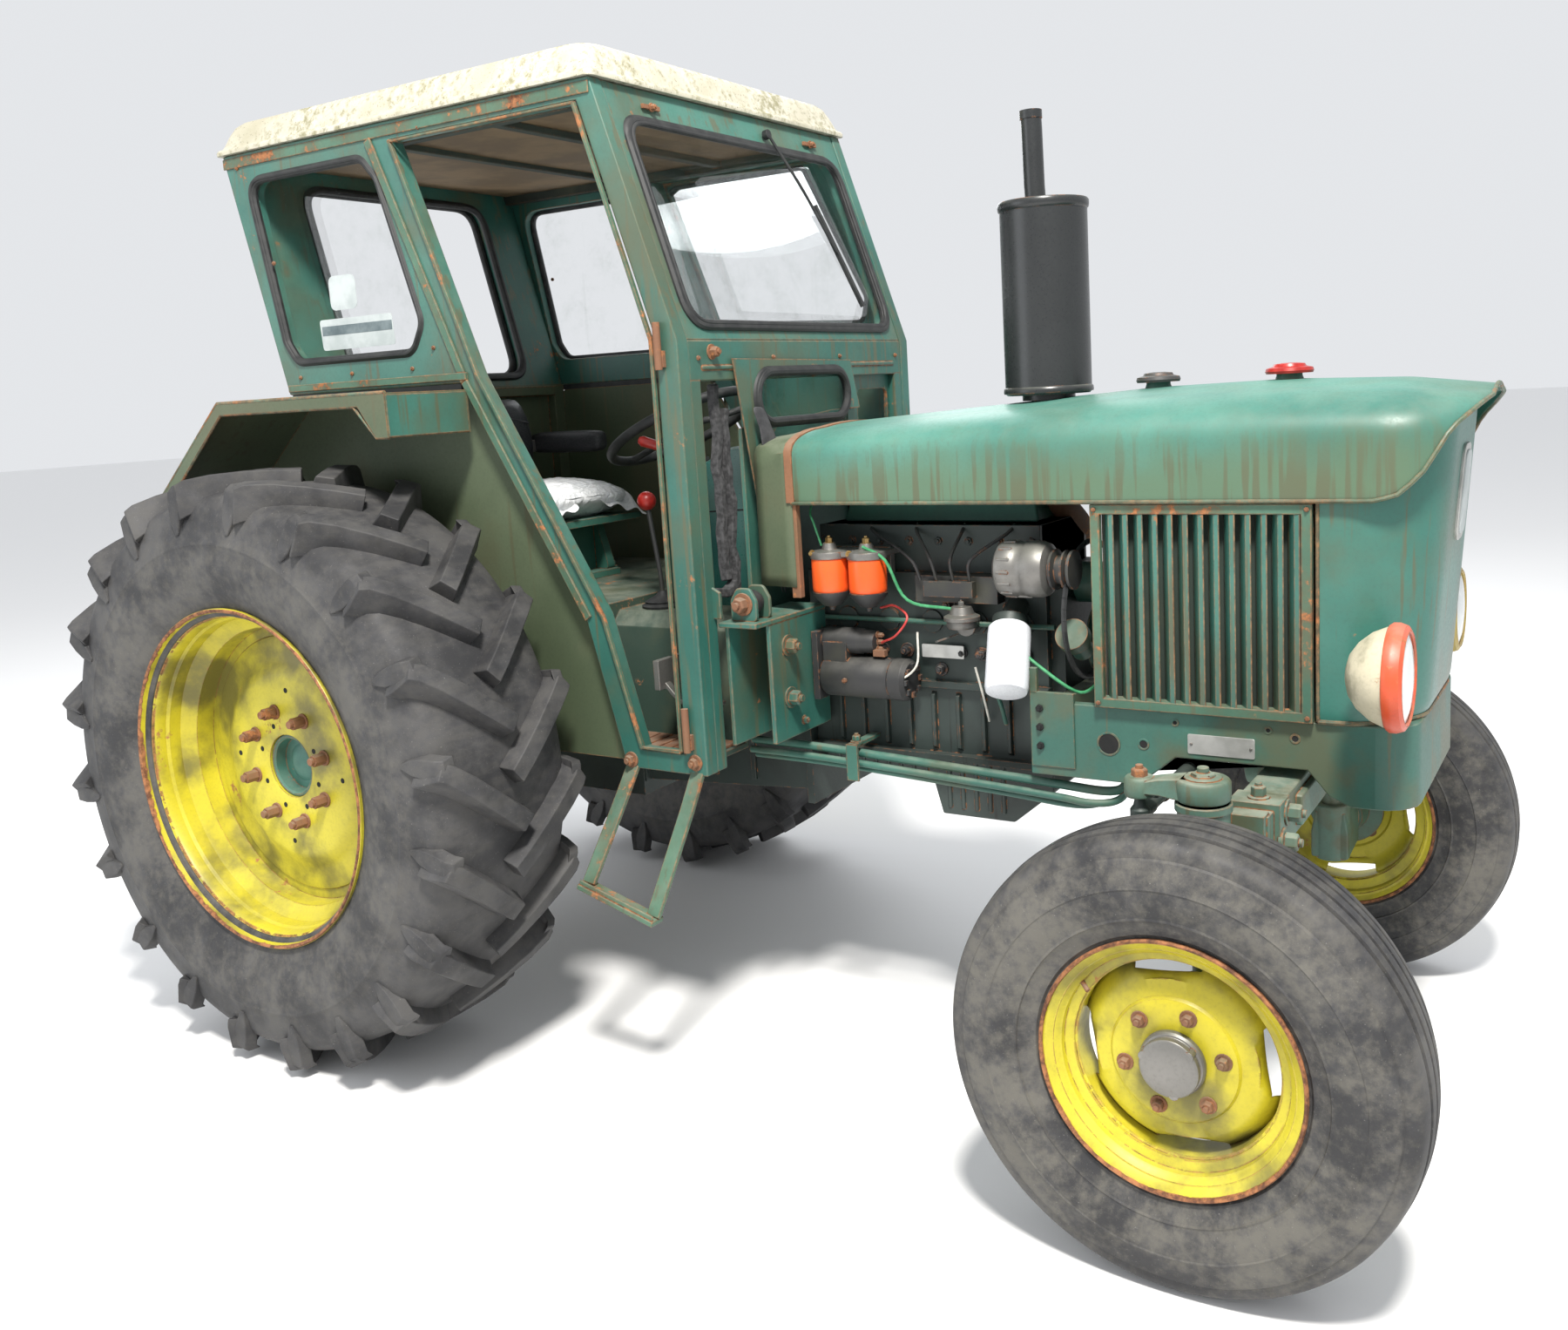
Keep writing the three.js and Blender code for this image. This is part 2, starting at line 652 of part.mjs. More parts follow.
/** The windscreen frame, the corner posts under it and the bulkhead behind the bonnet. */
function cabFront() {
  const { half, skin, roofBase, front, scuttle, sill } = CAB;
  const inner = half - skin - GAP;
  const rail = 1582;
  const slab = sidePlate(
    [
      [frontAt(roofBase) - 3, roofBase - GAP],
      [front - 3, scuttle],
      [front - 3, rail],
      [front - 43, rail],
      [front - 43, scuttle],
      [frontAt(roofBase) - 46, roofBase - GAP],
    ],
    -inner,
    inner,
  );
  const screen = (y, low, high) => [
    [-y, low + 22],
    [-y + 48, low],
    [y - 48, low],
    [y, low + 22],
    [y, high - 42],
    [y - 38, high],
    [-y + 38, high],
    [-y, high - 42],
  ];
  const opening = crossPlate(screen(448, 1700, 2162), 700, 1100);
  const post = box([front - 43, front - 3], [inner - 38, inner], [sill, rail + 5]);
  const bulkhead = box([front - 43, front - 31], [-255, 255], [1015, rail - 110]);
  const ties = [-240, 205].map((y) => box([front - 43, front - 20], [y, y + 35], [rail - 120, rail + 5]));
  const leftPanel = cut(
    box([front - 31, front - 23], [200, inner], [1030, rail + 4]),
    box([900, 1100], [262, 420], [1330, 1545]),
  );
  add("cab_front", join(cut(slab, opening), post, mirror(post), bulkhead, ...ties, leftPanel), FINISH.green);
  const tilt = (z) => frontAt(z) - 22;
  const pane = sidePlate(
    [[tilt(2161), 2161], [tilt(1701), 1701], [tilt(1701) + 5, 1701], [tilt(2161) + 5, 2161]],
    -447,
    447,
  );
  add("windscreen", pane.intersect(crossPlate(screen(447, 1701, 2161), 700, 1100)), FINISH.glass);
}

/** The loose right-hand panel under the windscreen, with its oval window, pushed out of place. */
function loosePanel() {
  const { front } = CAB;
  const corners = [
    [-325, 1630],
    [190, 1622],
    [225, 1500],
    [90, 1500],
    [-150, 1480],
    [-222, 1420],
    [-190, 1120],
    [-222, 1112],
  ];
  const sheet = crossPlate(corners, front + 2, front + 9);
  const slot = join(
    box([front - 5, front + 20], [-185, 110], [1475 + 5, 1600 - 5]),
    bar([front - 5, -180, 1540], [front + 20, -180, 1540], 58, 16),
    bar([front - 5, 105, 1540], [front + 20, 105, 1540], 58, 16),
  );
  add("loose_front_panel", cut(sheet, slot), FINISH.green);
}

/** The back of the cab: a frame round the open rear window, and the panel under it. */
function cabRear() {
  const { half, skin, roofBase, belt } = CAB;
  const inner = half - skin - GAP;
  const slab = sidePlate(
    [
      [rearAt(roofBase), roofBase - GAP],
      [rearAt(roofBase) + 42, roofBase - GAP],
      [rearAt(belt) + 42, belt],
      [rearAt(belt) + 42, 1060],
      [rearAt(belt), 1060],
      [rearAt(belt), belt],
    ],
    -inner,
    inner,
  );
  const opening = box([-600, 0], [-330, 330], [1640, 2172]);
  add("cab_rear", cut(slab, opening), FINISH.olive);
}

function cabRoof() {
  const { half, roofBase, roofTop, rearTop, frontTop } = CAB;
  const lip = 14;
  const level = (z, inset) => [
    [rearTop - lip + inset, -half - lip + inset],
    [frontTop + lip - inset, -half - lip + inset],
    [frontTop + lip - inset, half + lip - inset],
    [rearTop - lip + inset, half + lip - inset],
  ].map(([x, y]) => [x, y, z]);
  const lower = flatPlate(level(0, 0).map(([x, y]) => [x, y]), roofBase, roofBase + 10);
  const upper = loft(level(roofBase + 10, 8), level(roofTop, 44));
  add("cab_roof", join(lower, upper), FINISH.roof);
}

/** The door that is left, with its own window. */
function door() {
  const { half } = CAB;
  const grow = (points, by) => {
    const shape = points.map(([x, z]) => new THREE.Vector2(x, z));
    const centre = shape.reduce((s, p) => s.add(p), new THREE.Vector2()).divideScalar(points.length);
    return shape.map((p) => {
      const away = p.clone().sub(centre);
      return [p.x + Math.sign(away.x) * by, p.y + Math.sign(away.y) * by];
    });
  };
  const leaf = sidePlate(grow(DOORWAY, 12), half + 3, half + 27);
  const pane = [[224, 2152], [268, 2178], [716, 2178], [906, 1800], [890, 1728], [330, 1762]];
  add("door_left", cut(leaf, sidePlate(pane, half - 5, half + 40)), FINISH.green);
  const glass = [[225, 2151], [268, 2177], [715, 2177], [905, 1800], [889, 1729], [331, 1763]];
  add("door_glass_left", sidePlate(glass, half + 12, half + 17), FINISH.glass);
}

/** Platform plates each side of the gearbox cover, the cover itself, and the seat deck. */
function cabFloor() {
  const { half, skin } = CAB;
  const inner = half - skin - GAP;
  const cover = 300;
  const plate = box([600, 985], [cover - 10, inner], [720, 735]);
  const bend = (y, z) => [[-y, 720], [-y, z - 34], [-y + 30, z], [y - 30, z], [y, z - 34], [y, 720]];
  const tunnel = cut(crossPlate(bend(cover, 1034), 600, 985), crossPlate(bend(cover - 12, 1022), 590, 995)
    .add(box([590, 995], [-cover + 12, cover - 12], [700, 730])));
  const riser = box([590, 602], [-inner, inner], [720, 1056]);
  const hole = box([580, 610], [-205, 205], [700, 990]);
  const deck = box([-205, 602], [-inner, inner], [1044, 1056]);
  add("cab_floor", join(plate, mirror(plate), tunnel, cut(riser, hole), deck), FINISH.olive);
}

/** A mudguard: inner wall, flat top, sloping tail, a folded outer lip and a deep front face. */
function fender(word, side) {
  const { outer, top, front, rear, sheet } = FENDER;
  const inner = CAB.half - CAB.skin;
  const lip = 28;
  const deep = 100;
  const crown = (offset) => [
    [-610 + offset * 0.5, 1265 - offset],
    [rear + offset * 0.3, top - offset],
    [front, top - offset],
  ];
  const cover = sidePlate([...crown(0), ...crown(sheet).reverse()], inner, outer);
  const fold = sidePlate([...crown(0), ...crown(lip).reverse()], outer - sheet, outer);
  const gusset = sidePlate([[front - 110, top - 5], [front, top - 5], [front, top - deep], [front - 40, top - deep]], outer - sheet, outer);
  const face = box([front - sheet, front], [CAB.half + 2, outer], [top - deep, top - 2]);
  const wall = sidePlate(
    [
      [-600, 1262],
      [-560, 1120],
      [-260, 990],
      [-190, 900],
      [190, 900],
      [260, 722],
      [795, 722],
      [704, 1058],
      [376, CAB.belt - 12],
      [rear, CAB.belt - 16],
    ],
    inner,
    inner + sheet,
  );
  const pillar = box([360, 440], [inner - 5, CAB.half + 1], [CAB.belt - 40, top + 5]);
  const made = join(cut(cover, pillar), fold, gusset, face, wall);
  add(`mudguard_${word}`, onSide(made, side), FINISH.green);
}


// ---------------------------------------------------------------- driver's place
/** The dash cowl with its steering column, and the wheel on top. */
function controls() {
  const cowl = sidePlate(
    [[672, 1034 + GAP], [984, 1034 + GAP], [984, 1430], [880, 1425], [790, 1385], [664, 1345]],
    -150,
    150,
  );
  const { centre, tilt, radius, tube } = STEERING_WHEEL;
  const axis = [-Math.sin(tilt), 0, Math.cos(tilt)];
  const along = (d) => centre.map((c, i) => c + axis[i] * d);
  add("dash_cowl", join(cowl, bar(along(-175), along(-15), 22, 12)), FINISH.green);
  const upright = new THREE.Vector3(0, 0, 1);
  const turn = new THREE.Quaternion().setFromUnitVectors(upright, new THREE.Vector3(...axis));
  const rim = solid(new THREE.TorusGeometry(radius, tube, 6, 20).applyQuaternion(turn));
  const spokes = [0, 1, 2].map((i) => {
    const angle = ((i + 0.25) / 3) * Math.PI * 2;
    const way = new THREE.Vector3(Math.sin(angle), Math.cos(angle), 0).multiplyScalar(radius - 2);
    return bar([0, 0, 0], way.applyQuaternion(turn).toArray(), 8, 8);
  });
  const boss = bar(axis.map((c) => c * -14), axis.map((c) => c * 16), 36, 14);
  add("steering_wheel", join(rim, boss, ...spokes).translate(centre), FINISH.black);
}

/** Seat base on the deck, cushion in its wrapping, and the backrest with its armrest. */
function seat() {
  add("seat_base", join(
    box([-120, 250], [-150, 150], [1056 + GAP, 1200]),
    box([-140, 280], [-225, 225], [1200, 1232]),
  ), FINISH.green);
  add("seat_cushion", box([-150, 300], [-240, 240], [1232 + GAP, 1345]), FINISH.wrapped);
  const back = sidePlate([[-165, 1290], [-100, 1350], [-85, 1480], [-110, 1575], [-165, 1580], [-185, 1500]], -215, 225);
  const armrest = box([-150, 130], [232, 285], [1405, 1470]);
  const hinge = box([-150, -120], [220, 240], [1410, 1450]);
  add("seat_back", join(cut(back, box([-160, 310], [-250, 250], [1200, 1350])), armrest, hinge), FINISH.vinyl);
}

// ---------------------------------------------------------------- rear linkage
/** Lower links, lift arms on their rocking shaft, and the lift rods that hang from the arms. */
function linkage() {
  const shaft = bar([LIFT.x, -LIFT.y - 20, LIFT.z], [LIFT.x, LIFT.y + 20, LIFT.z], 32, 14);
  const arms = Object.values(SIDES).map((side) => {
    const root = [LIFT.x, side * LIFT.y, LIFT.z];
    const tip = [LIFT.tip[0], side * LIFT.y, LIFT.tip[1]];
    const eye = bar([tip[0], tip[1] - 13, tip[2]], [tip[0], tip[1] + 13, tip[2]], 26, 12);
    return join(strap(root, tip, 26, 52), eye);
  });
  add("lift_arms", join(shaft, ...arms), FINISH.castIron);
  for (const [word, side] of Object.entries(SIDES)) {
    const { x, y, z } = DRAFT;
    const tip = [-860, y + 115, 515];
    const link = join(
      strap([x, y, z], tip, 22, 62),
      bar([x, y - 20, z], [x, y + 20, z], 38, 12),
      bar([tip[0], tip[1] - 25, tip[2]], [tip[0], tip[1] + 25, tip[2]], 42, 14),
    );
    add(`lower_link_${word}`, onSide(link, side), FINISH.castIron);
    const top = [LIFT.tip[0], LIFT.y + 34, LIFT.tip[1]];
    const foot = [LIFT.rodFoot[0], LIFT.y + 34, LIFT.rodFoot[1]];
    const rod = join(
      bar([top[0], top[1] - 14, top[2]], [top[0], top[1] + 14, top[2]], 22, 12),
      bar(foot, top, 15, 10),
      bar([foot[0], foot[1] - 16, foot[2]], [foot[0], foot[1] + 16, foot[2]], 20, 12),
    );
    add(`lift_rod_${word}`, onSide(rod, side), FINISH.castIron);
  }
}

// ---------------------------------------------------------------- assembly
for (const [word, side] of Object.entries(SIDES)) {
  rearWheel(word, side);
  frontWheel(word, side);
  knuckle(word, side);
  grille(word, side);
  cabSide(word, side);
  fender(word, side);
  cabBracket(word, side);
}
frontAxle();
trackRod();
frontFrame();
engine();
transmission();
bonnet();
scuttleCowl();
nose();
cabFront();
loosePanel();
cabRear();
cabRoof();
cabFloor();
door();
controls();
seat();
linkage();

export default tractor;
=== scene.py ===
"""A weathered two-wheel-drive farm tractor with a safety cab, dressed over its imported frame.

Lengths are metres. Every sub-assembly is laid out from the rear axle (x forward, y to the driver's left,
z up from the ground) and is moved by ORIGIN_SHIFT into the frame's own place when it is published.
"""

import sys
import logging
import math
import random
from dataclasses import dataclass, field
from enum import Enum
from typing import Callable, Iterable, Optional, Sequence, Union

import bmesh
import bpy
from mathutils import Matrix, Vector
from mathutils.geometry import tessellate_polygon


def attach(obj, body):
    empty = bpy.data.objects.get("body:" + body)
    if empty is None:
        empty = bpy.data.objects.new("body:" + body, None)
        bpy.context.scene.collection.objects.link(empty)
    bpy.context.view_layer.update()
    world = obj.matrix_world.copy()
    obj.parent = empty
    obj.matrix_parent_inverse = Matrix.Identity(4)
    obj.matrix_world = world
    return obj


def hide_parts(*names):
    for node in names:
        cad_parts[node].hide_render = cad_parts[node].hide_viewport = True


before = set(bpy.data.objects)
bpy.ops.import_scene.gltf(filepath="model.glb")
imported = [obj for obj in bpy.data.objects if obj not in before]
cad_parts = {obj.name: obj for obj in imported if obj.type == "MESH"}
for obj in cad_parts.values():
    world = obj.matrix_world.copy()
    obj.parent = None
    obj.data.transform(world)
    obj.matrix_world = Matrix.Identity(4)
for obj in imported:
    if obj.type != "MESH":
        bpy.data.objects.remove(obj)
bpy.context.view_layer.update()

LOG = logging.getLogger("tractor")
ORIGIN_SHIFT = -0.8255
TURN = 2 * math.pi

Point = Sequence[float]
Colour = tuple[float, float, float]
Socket = bpy.types.NodeSocket
Feed = Union[Socket, float, Sequence[float]]


class Axis(Enum):
    """The direction in which a flat outline is given thickness."""

    X = 0
    Y = 1
    Z = 2


class Side(Enum):
    """The two sides of the machine, with the sign of y on each."""

    RIGHT = -1
    LEFT = 1

    @property
    def word(self) -> str:
        """The side's name as the frame's nodes and bodies spell it."""
        return self.name.lower()


# ---------------------------------------------------------------- camera and stage
@dataclass
class Studio:
    """Camera, soft lights, pale floor and white surroundings."""

    station: Point = (2.805 + ORIGIN_SHIFT, -2.786, 1.548)
    turn: Point = (1.369, 0.4294, 0.4086)
    lens: float = 30.63
    shift: tuple[float, float] = (-0.0368, -0.0483)
    floor_reach: float = 60.0

    def build_camera(self) -> None:
        """Places the camera: turn is its rotation vector."""
        data = bpy.data.cameras.new("view")
        data.sensor_width = 36.0
        data.lens = self.lens
        data.shift_x, data.shift_y = self.shift
        data.clip_start, data.clip_end = 0.05, 300.0
        camera = bpy.data.objects.new("view", data)
        bpy.context.scene.collection.objects.link(camera)
        spin = Vector(self.turn)
        rotation = Matrix.Rotation(spin.length, 4, spin.normalized())
        camera.matrix_world = Matrix.Translation(self.station) @ rotation
        bpy.context.scene.camera = camera

    def build_light(self, name: str, place: Point, aim: Point, size: float, power: float, tint: Colour) -> None:
        """Adds one soft area light.

        Args:
            name: the light's name.
            place: where it hangs.
            aim: the point it faces.
            size: its width and height.
            power: its output in watts.
            tint: its colour.
        """
        data = bpy.data.lights.new(name, "AREA")
        data.shape, data.size, data.energy, data.color = "DISK", size, power, tint
        lamp = bpy.data.objects.new(name, data)
        bpy.context.scene.collection.objects.link(lamp)
        lamp.location = place
        lamp.rotation_euler = (Vector(aim) - Vector(place)).to_track_quat("-Z", "Y").to_euler()

    def build(self) -> None:
        """Builds lights, surroundings and floor."""
        self.build_light("key", (2.6, -3.4, 6.8), (0.1, -0.2, 0.8), 1.1, 900, (1.0, 0.97, 0.92))
        self.build_light("fill", (-4.6, -5.2, 2.6), (0, 0, 0.9), 4.5, 90, (0.92, 0.96, 1.0))
        self.build_light("back", (-3.0, 5.0, 4.6), (0, 0, 1.2), 4.0, 150, (0.95, 0.98, 1.0))
        world = bpy.data.worlds.new("surroundings")
        world.use_nodes = True
        sky = world.node_tree.nodes["Background"]
        sky.inputs["Color"].default_value = (0.95, 0.97, 1.0, 1.0)
        sky.inputs["Strength"].default_value = 0.82
        bpy.context.scene.world = world
        bpy.context.scene.view_settings.view_transform = "Standard"
        forge = Forge()
        reach = self.floor_reach
        forge.sheet([[(-reach, -reach, 0), (reach, -reach, 0)], [(-reach, reach, 0), (reach, reach, 0)]])
        floor = forge.to_object("floor")
        floor.data.materials.append(Finishes.floor())


# ---------------------------------------------------------------- mesh making
class Forge:
    """One mesh under construction. Everything added becomes part of the same piece."""

    def __init__(self) -> None:
        """Starts an empty mesh."""
        self.mesh = bmesh.new()

    def face(self, verts: Sequence[bmesh.types.BMVert]) -> None:
        """Adds a face, leaving out one that has no area or is there already."""
        unique = list(dict.fromkeys(verts))
        if len(unique) > 2 and self.mesh.faces.get(unique) is None:
            self.mesh.faces.new(unique)

    def points(self, places: Iterable[Point]) -> list[bmesh.types.BMVert]:
        """Adds vertices and returns them."""
        return [self.mesh.verts.new(Vector(p)) for p in places]

    def prism(self, outline: Sequence[Point], axis: Axis, low: float, high: float,
              holes: Sequence[Sequence[Point]] = ()) -> "Forge":
        """Gives a flat outline thickness.

        Args:
            outline: corners in the plane square to axis: (x, z) for Y, (x, y) for Z, (y, z) for X.
            axis: the direction of the thickness.
            low: where it starts along the axis.
            high: where it ends.
            holes: outlines of openings.

        Returns:
            The forge itself.
        """
        def place(corner: Point, depth: float) -> tuple[float, float, float]:
            """The corner in space at a depth."""
            u, v = corner
            return {Axis.X: (depth, u, v), Axis.Y: (u, depth, v), Axis.Z: (u, v, depth)}[axis]

        loops = [list(outline), *[list(hole) for hole in holes]]
        near = [self.points(place(c, low) for c in loop) for loop in loops]
        far = [self.points(place(c, high) for c in loop) for loop in loops]
        if holes:
            flat = [[Vector((c[0], c[1], 0)) for c in loop] for loop in loops]
            triangles = tessellate_polygon(flat)
        else:
            triangles = [tuple(range(len(outline)))]
        for level in (near, far):
            joined = [v for loop in level for v in loop]
            for triangle in triangles:
                self.face([joined[i] for i in triangle])
        for low_loop, high_loop in zip(near, far):
            for i, vert in enumerate(low_loop):
                j = (i + 1) % len(low_loop)
                self.face([vert, low_loop[j], high_loop[j], high_loop[i]])
        return self

    def box(self, low: Point, high: Point) -> "Forge":
        """Adds a block between two corners."""
        (x0, y0, z0), (x1, y1, z1) = low, high
        return self.prism([(x0, y0), (x1, y0), (x1, y1), (x0, y1)], Axis.Z, z0, z1)

    def slab(self, low: Point, high: Point, taper: float) -> "Forge":
        """Adds a block whose top is smaller all round by taper."""
        (x0, y0, z0), (x1, y1, z1) = low, high
        ring = [(x0, y0), (x1, y0), (x1, y1), (x0, y1)]
        inner = [(x0 + taper, y0 + taper), (x1 - taper, y0 + taper), (x1 - taper, y1 - taper),
                 (x0 + taper, y1 - taper)]
        return self.loft([[(x, y, z0) for x, y in ring], [(x, y, z1) for x, y in inner]])

    def loft(self, rings: Sequence[Sequence[Point]], caps: bool = True, around: bool = True) -> "Forge":
        """Joins rings of equally many points.

        Args:
            rings: the rings in order.
            caps: whether the first and last are closed.
            around: whether each ring is a closed loop.

        Returns:
            The forge itself.
        """
        made = [self.points(ring) for ring in rings]
        count = len(made[0])
        for low, high in zip(made, made[1:]):
            for i in range(count if around else count - 1):
                j = (i + 1) % count
                self.face([low[i], low[j], high[j], high[i]])
        if caps:
            self.face(made[0])
            self.face(made[-1])
        return self

    def sheet(self, rows: Sequence[Sequence[Point]]) -> "Forge":
        """Adds an open surface through rows of points."""
        return self.loft(rows, caps=False, around=False)

    def lathe(self, profile: Sequence[Point], centre: Point, axis: Axis = Axis.Y, segments: int = 48,
              sign: float = 1.0, wobble: Optional[Callable[[int, float, float],
                                                           tuple[float, float]]] = None) -> "Forge":
        """Turns a closed profile of (radius, distance along the axis) about an axis.

        Args:
            profile: the section.
            centre: a point on the axis.
            axis: its direction.
            segments: how many steps round.
            sign: -1 to mirror the profile along the axis.
            wobble: changes (radius, distance) at each step.

        Returns:
            The forge itself.
        """
        middle = Vector(centre)
        rings = []
        for step in range(segments):
            angle = TURN * step / segments
            ring = []
            for radius, along in profile:
                if wobble:
                    radius, along = wobble(step, radius, along)
                a, b, c = radius * math.cos(angle), radius * math.sin(angle), along * sign
                offset = {Axis.X: (c, a, b), Axis.Y: (a, c, b), Axis.Z: (a, b, c)}[axis]
                ring.append(middle + Vector(offset))
            rings.append(ring)
        made = [self.points(ring) for ring in rings]
        count = len(profile)
        for i, ring in enumerate(made):
            after = made[(i + 1) % segments]
            for j in range(count):
                k = (j + 1) % count
                self.face([ring[j], ring[k], after[k], after[j]])
        return self

    def bar(self, start: Point, end: Point, radius: float, end_radius: Optional[float] = None,
            sides: int = 20) -> "Forge":
        """Adds a round bar or cone between two points."""
        first, last = Vector(start), Vector(end)
        tail = radius if end_radius is None else end_radius
        return self.tube([first, last], radius, sides, radii=[radius, tail])

    def tube(self, path: Sequence[Point], radius: float, sides: int = 12,
             radii: Optional[Sequence[float]] = None) -> "Forge":
        """Sweeps a round section along points."""
        line = [Vector(p) for p in path]
        way = (line[1] - line[0]).normalized()
        across = way.orthogonal().normalized()
        rings = []
        for i, place in enumerate(line):
            ahead = line[min(i + 1, len(line) - 1)] - line[max(i - 1, 0)]
            turn = way.rotation_difference(ahead.normalized())
            across = (turn @ across).normalized()
            way = ahead.normalized()
            up = way.cross(across)
            reach = radii[i] if radii else radius
            rings.append([place + (across * math.cos(TURN * s / sides) + up * math.sin(TURN * s / sides)) * reach
                          for s in range(sides)])
        return self.loft(rings)

    def strap(self, path: Sequence[Point], width: float, depth: float, wide: Point = (0, 1, 0)) -> "Forge":
        """Sweeps a flat section along points, its width kept nearest the given direction."""
        line = [Vector(p) for p in path]
        rings = []
        for i, place in enumerate(line):
            way = (line[min(i + 1, len(line) - 1)] - line[max(i - 1, 0)]).normalized()
            thick = Vector(wide).cross(way).normalized()
            across = way.cross(thick).normalized()
            rings.append([place + across * (a * width / 2) + thick * (b * depth / 2)
                          for a, b in ((-1, -1), (1, -1), (1, 1), (-1, 1))])
        return self.loft(rings)

    def bolt(self, place: Point, way: Point, size: float, washer: bool = True, sides: int = 6,
             reach: float = 0.7) -> "Forge":
        """Adds a bolt head or nut standing on a surface.

        Args:
            place: the middle of its foot.
            way: the direction it stands in.
            size: its width across the corners.
            washer: whether it has a washer.
            sides: 6 for a hexagon, 4 for a square.
            reach: its height as a share of its size.

        Returns:
            The forge itself.
        """
        foot, up = Vector(place), Vector(way).normalized()
        base = foot - up * size * 0.15
        if washer:
            self.tube([base, foot + up * size * 0.12], size * 0.72, 16)
            foot = foot + up * size * 0.1
        top = foot + up * size * reach
        self.tube([base, top - up * size * 0.1, top], size * 0.5, sides, radii=[size * 0.5, size * 0.5, size * 0.42])
        return self.tube([top - up * size * 0.1, top + up * size * 0.22], size * 0.24, 10)

    def mirror(self) -> "Forge":
        """Moves everything to the other side of the machine."""
        for vert in self.mesh.verts:
            vert.co.y = -vert.co.y
        return self

    def onto(self, side: Side) -> "Forge":
        """Mirrors what was built for the left when the side is the right."""
        return self if side is Side.LEFT else self.mirror()

    def both(self) -> "Forge":
        """Adds a mirrored copy of everything on the other side of the machine."""
        copied = bmesh.ops.duplicate(self.mesh, geom=self.mesh.verts[:] + self.mesh.edges[:] + self.mesh.faces[:])
        for item in copied["geom"]:
            if isinstance(item, bmesh.types.BMVert):
                item.co.y = -item.co.y
        return self

    def turn(self, matrix: Matrix) -> "Forge":
        """Applies a matrix to everything so far."""
        bmesh.ops.transform(self.mesh, matrix=matrix, verts=self.mesh.verts)
        return self

    def warp(self, change: Callable[[Vector], Vector]) -> "Forge":
        """Moves every vertex by a function."""
        for vert in self.mesh.verts:
            vert.co = change(vert.co.copy())
        return self

    def fine(self, cuts: int) -> "Forge":
        """Divides every edge."""
        bmesh.ops.subdivide_edges(self.mesh, edges=self.mesh.edges[:], cuts=cuts, use_grid_fill=True)
        return self

    def to_object(self, name: str, shift: bool = False) -> bpy.types.Object:
        """Finishes the mesh.

        Args:
            name: the object's name.
            shift: whether to move it from the rear axle's frame into the model's.

        Returns:
            The new object.
        """
        bmesh.ops.remove_doubles(self.mesh, verts=self.mesh.verts, dist=1e-5)
        bmesh.ops.recalc_face_normals(self.mesh, faces=self.mesh.faces)
        if shift:
            bmesh.ops.translate(self.mesh, vec=(ORIGIN_SHIFT, 0, 0), verts=self.mesh.verts)
        data = bpy.data.meshes.new(name)
        self.mesh.to_mesh(data)
        self.mesh.free()
        made = bpy.data.objects.new(name, data)
        bpy.context.scene.collection.objects.link(made)
        return made


def smooth_path(path: Sequence[Point], steps: int = 6) -> list[Vector]:
    """Rounds a run of points into one smooth curve.

    Args:
        path: the points it passes.
        steps: how many points for each stretch.

    Returns:
        The points of the curve.
    """
    line = [Vector(p) for p in path]
    line = [line[0] * 2 - line[1], *line, line[-1] * 2 - line[-2]]
    made = []
    for a, b, c, d in zip(line, line[1:], line[2:], line[3:]):
        for s in range(steps):
            t = s / steps
            made.append(0.5 * (2 * b + (c - a) * t + (2 * a - 5 * b + 4 * c - d) * t * t + (3 * b - 3 * c + d - a) * t ** 3))
    return [*made, line[-2]]


def rounded(corners: Sequence[Point], radius: float, steps: int = 6) -> list[tuple[float, float]]:
    """Rounds the corners of a flat outline.

    Args:
        corners: the outline.
        radius: the largest rounding.
        steps: how many points round each corner.

    Returns:
        The rounded outline.
    """
    made = []
    count = len(corners)
    for i, corner in enumerate(corners):
        here = Vector(corner)
        before, after = Vector(corners[i - 1]) - here, Vector(corners[(i + 1) % count]) - here
        half = before.angle(after) / 2
        back = min(radius / math.tan(half), before.length * 0.49, after.length * 0.49)
        start, end = here + before.normalized() * back, here + after.normalized() * back
        for s in range(steps + 1):
            t = s / steps
            made.append(tuple(start * (1 - t) ** 2 + here * 2 * t * (1 - t) + end * t * t))
    return made


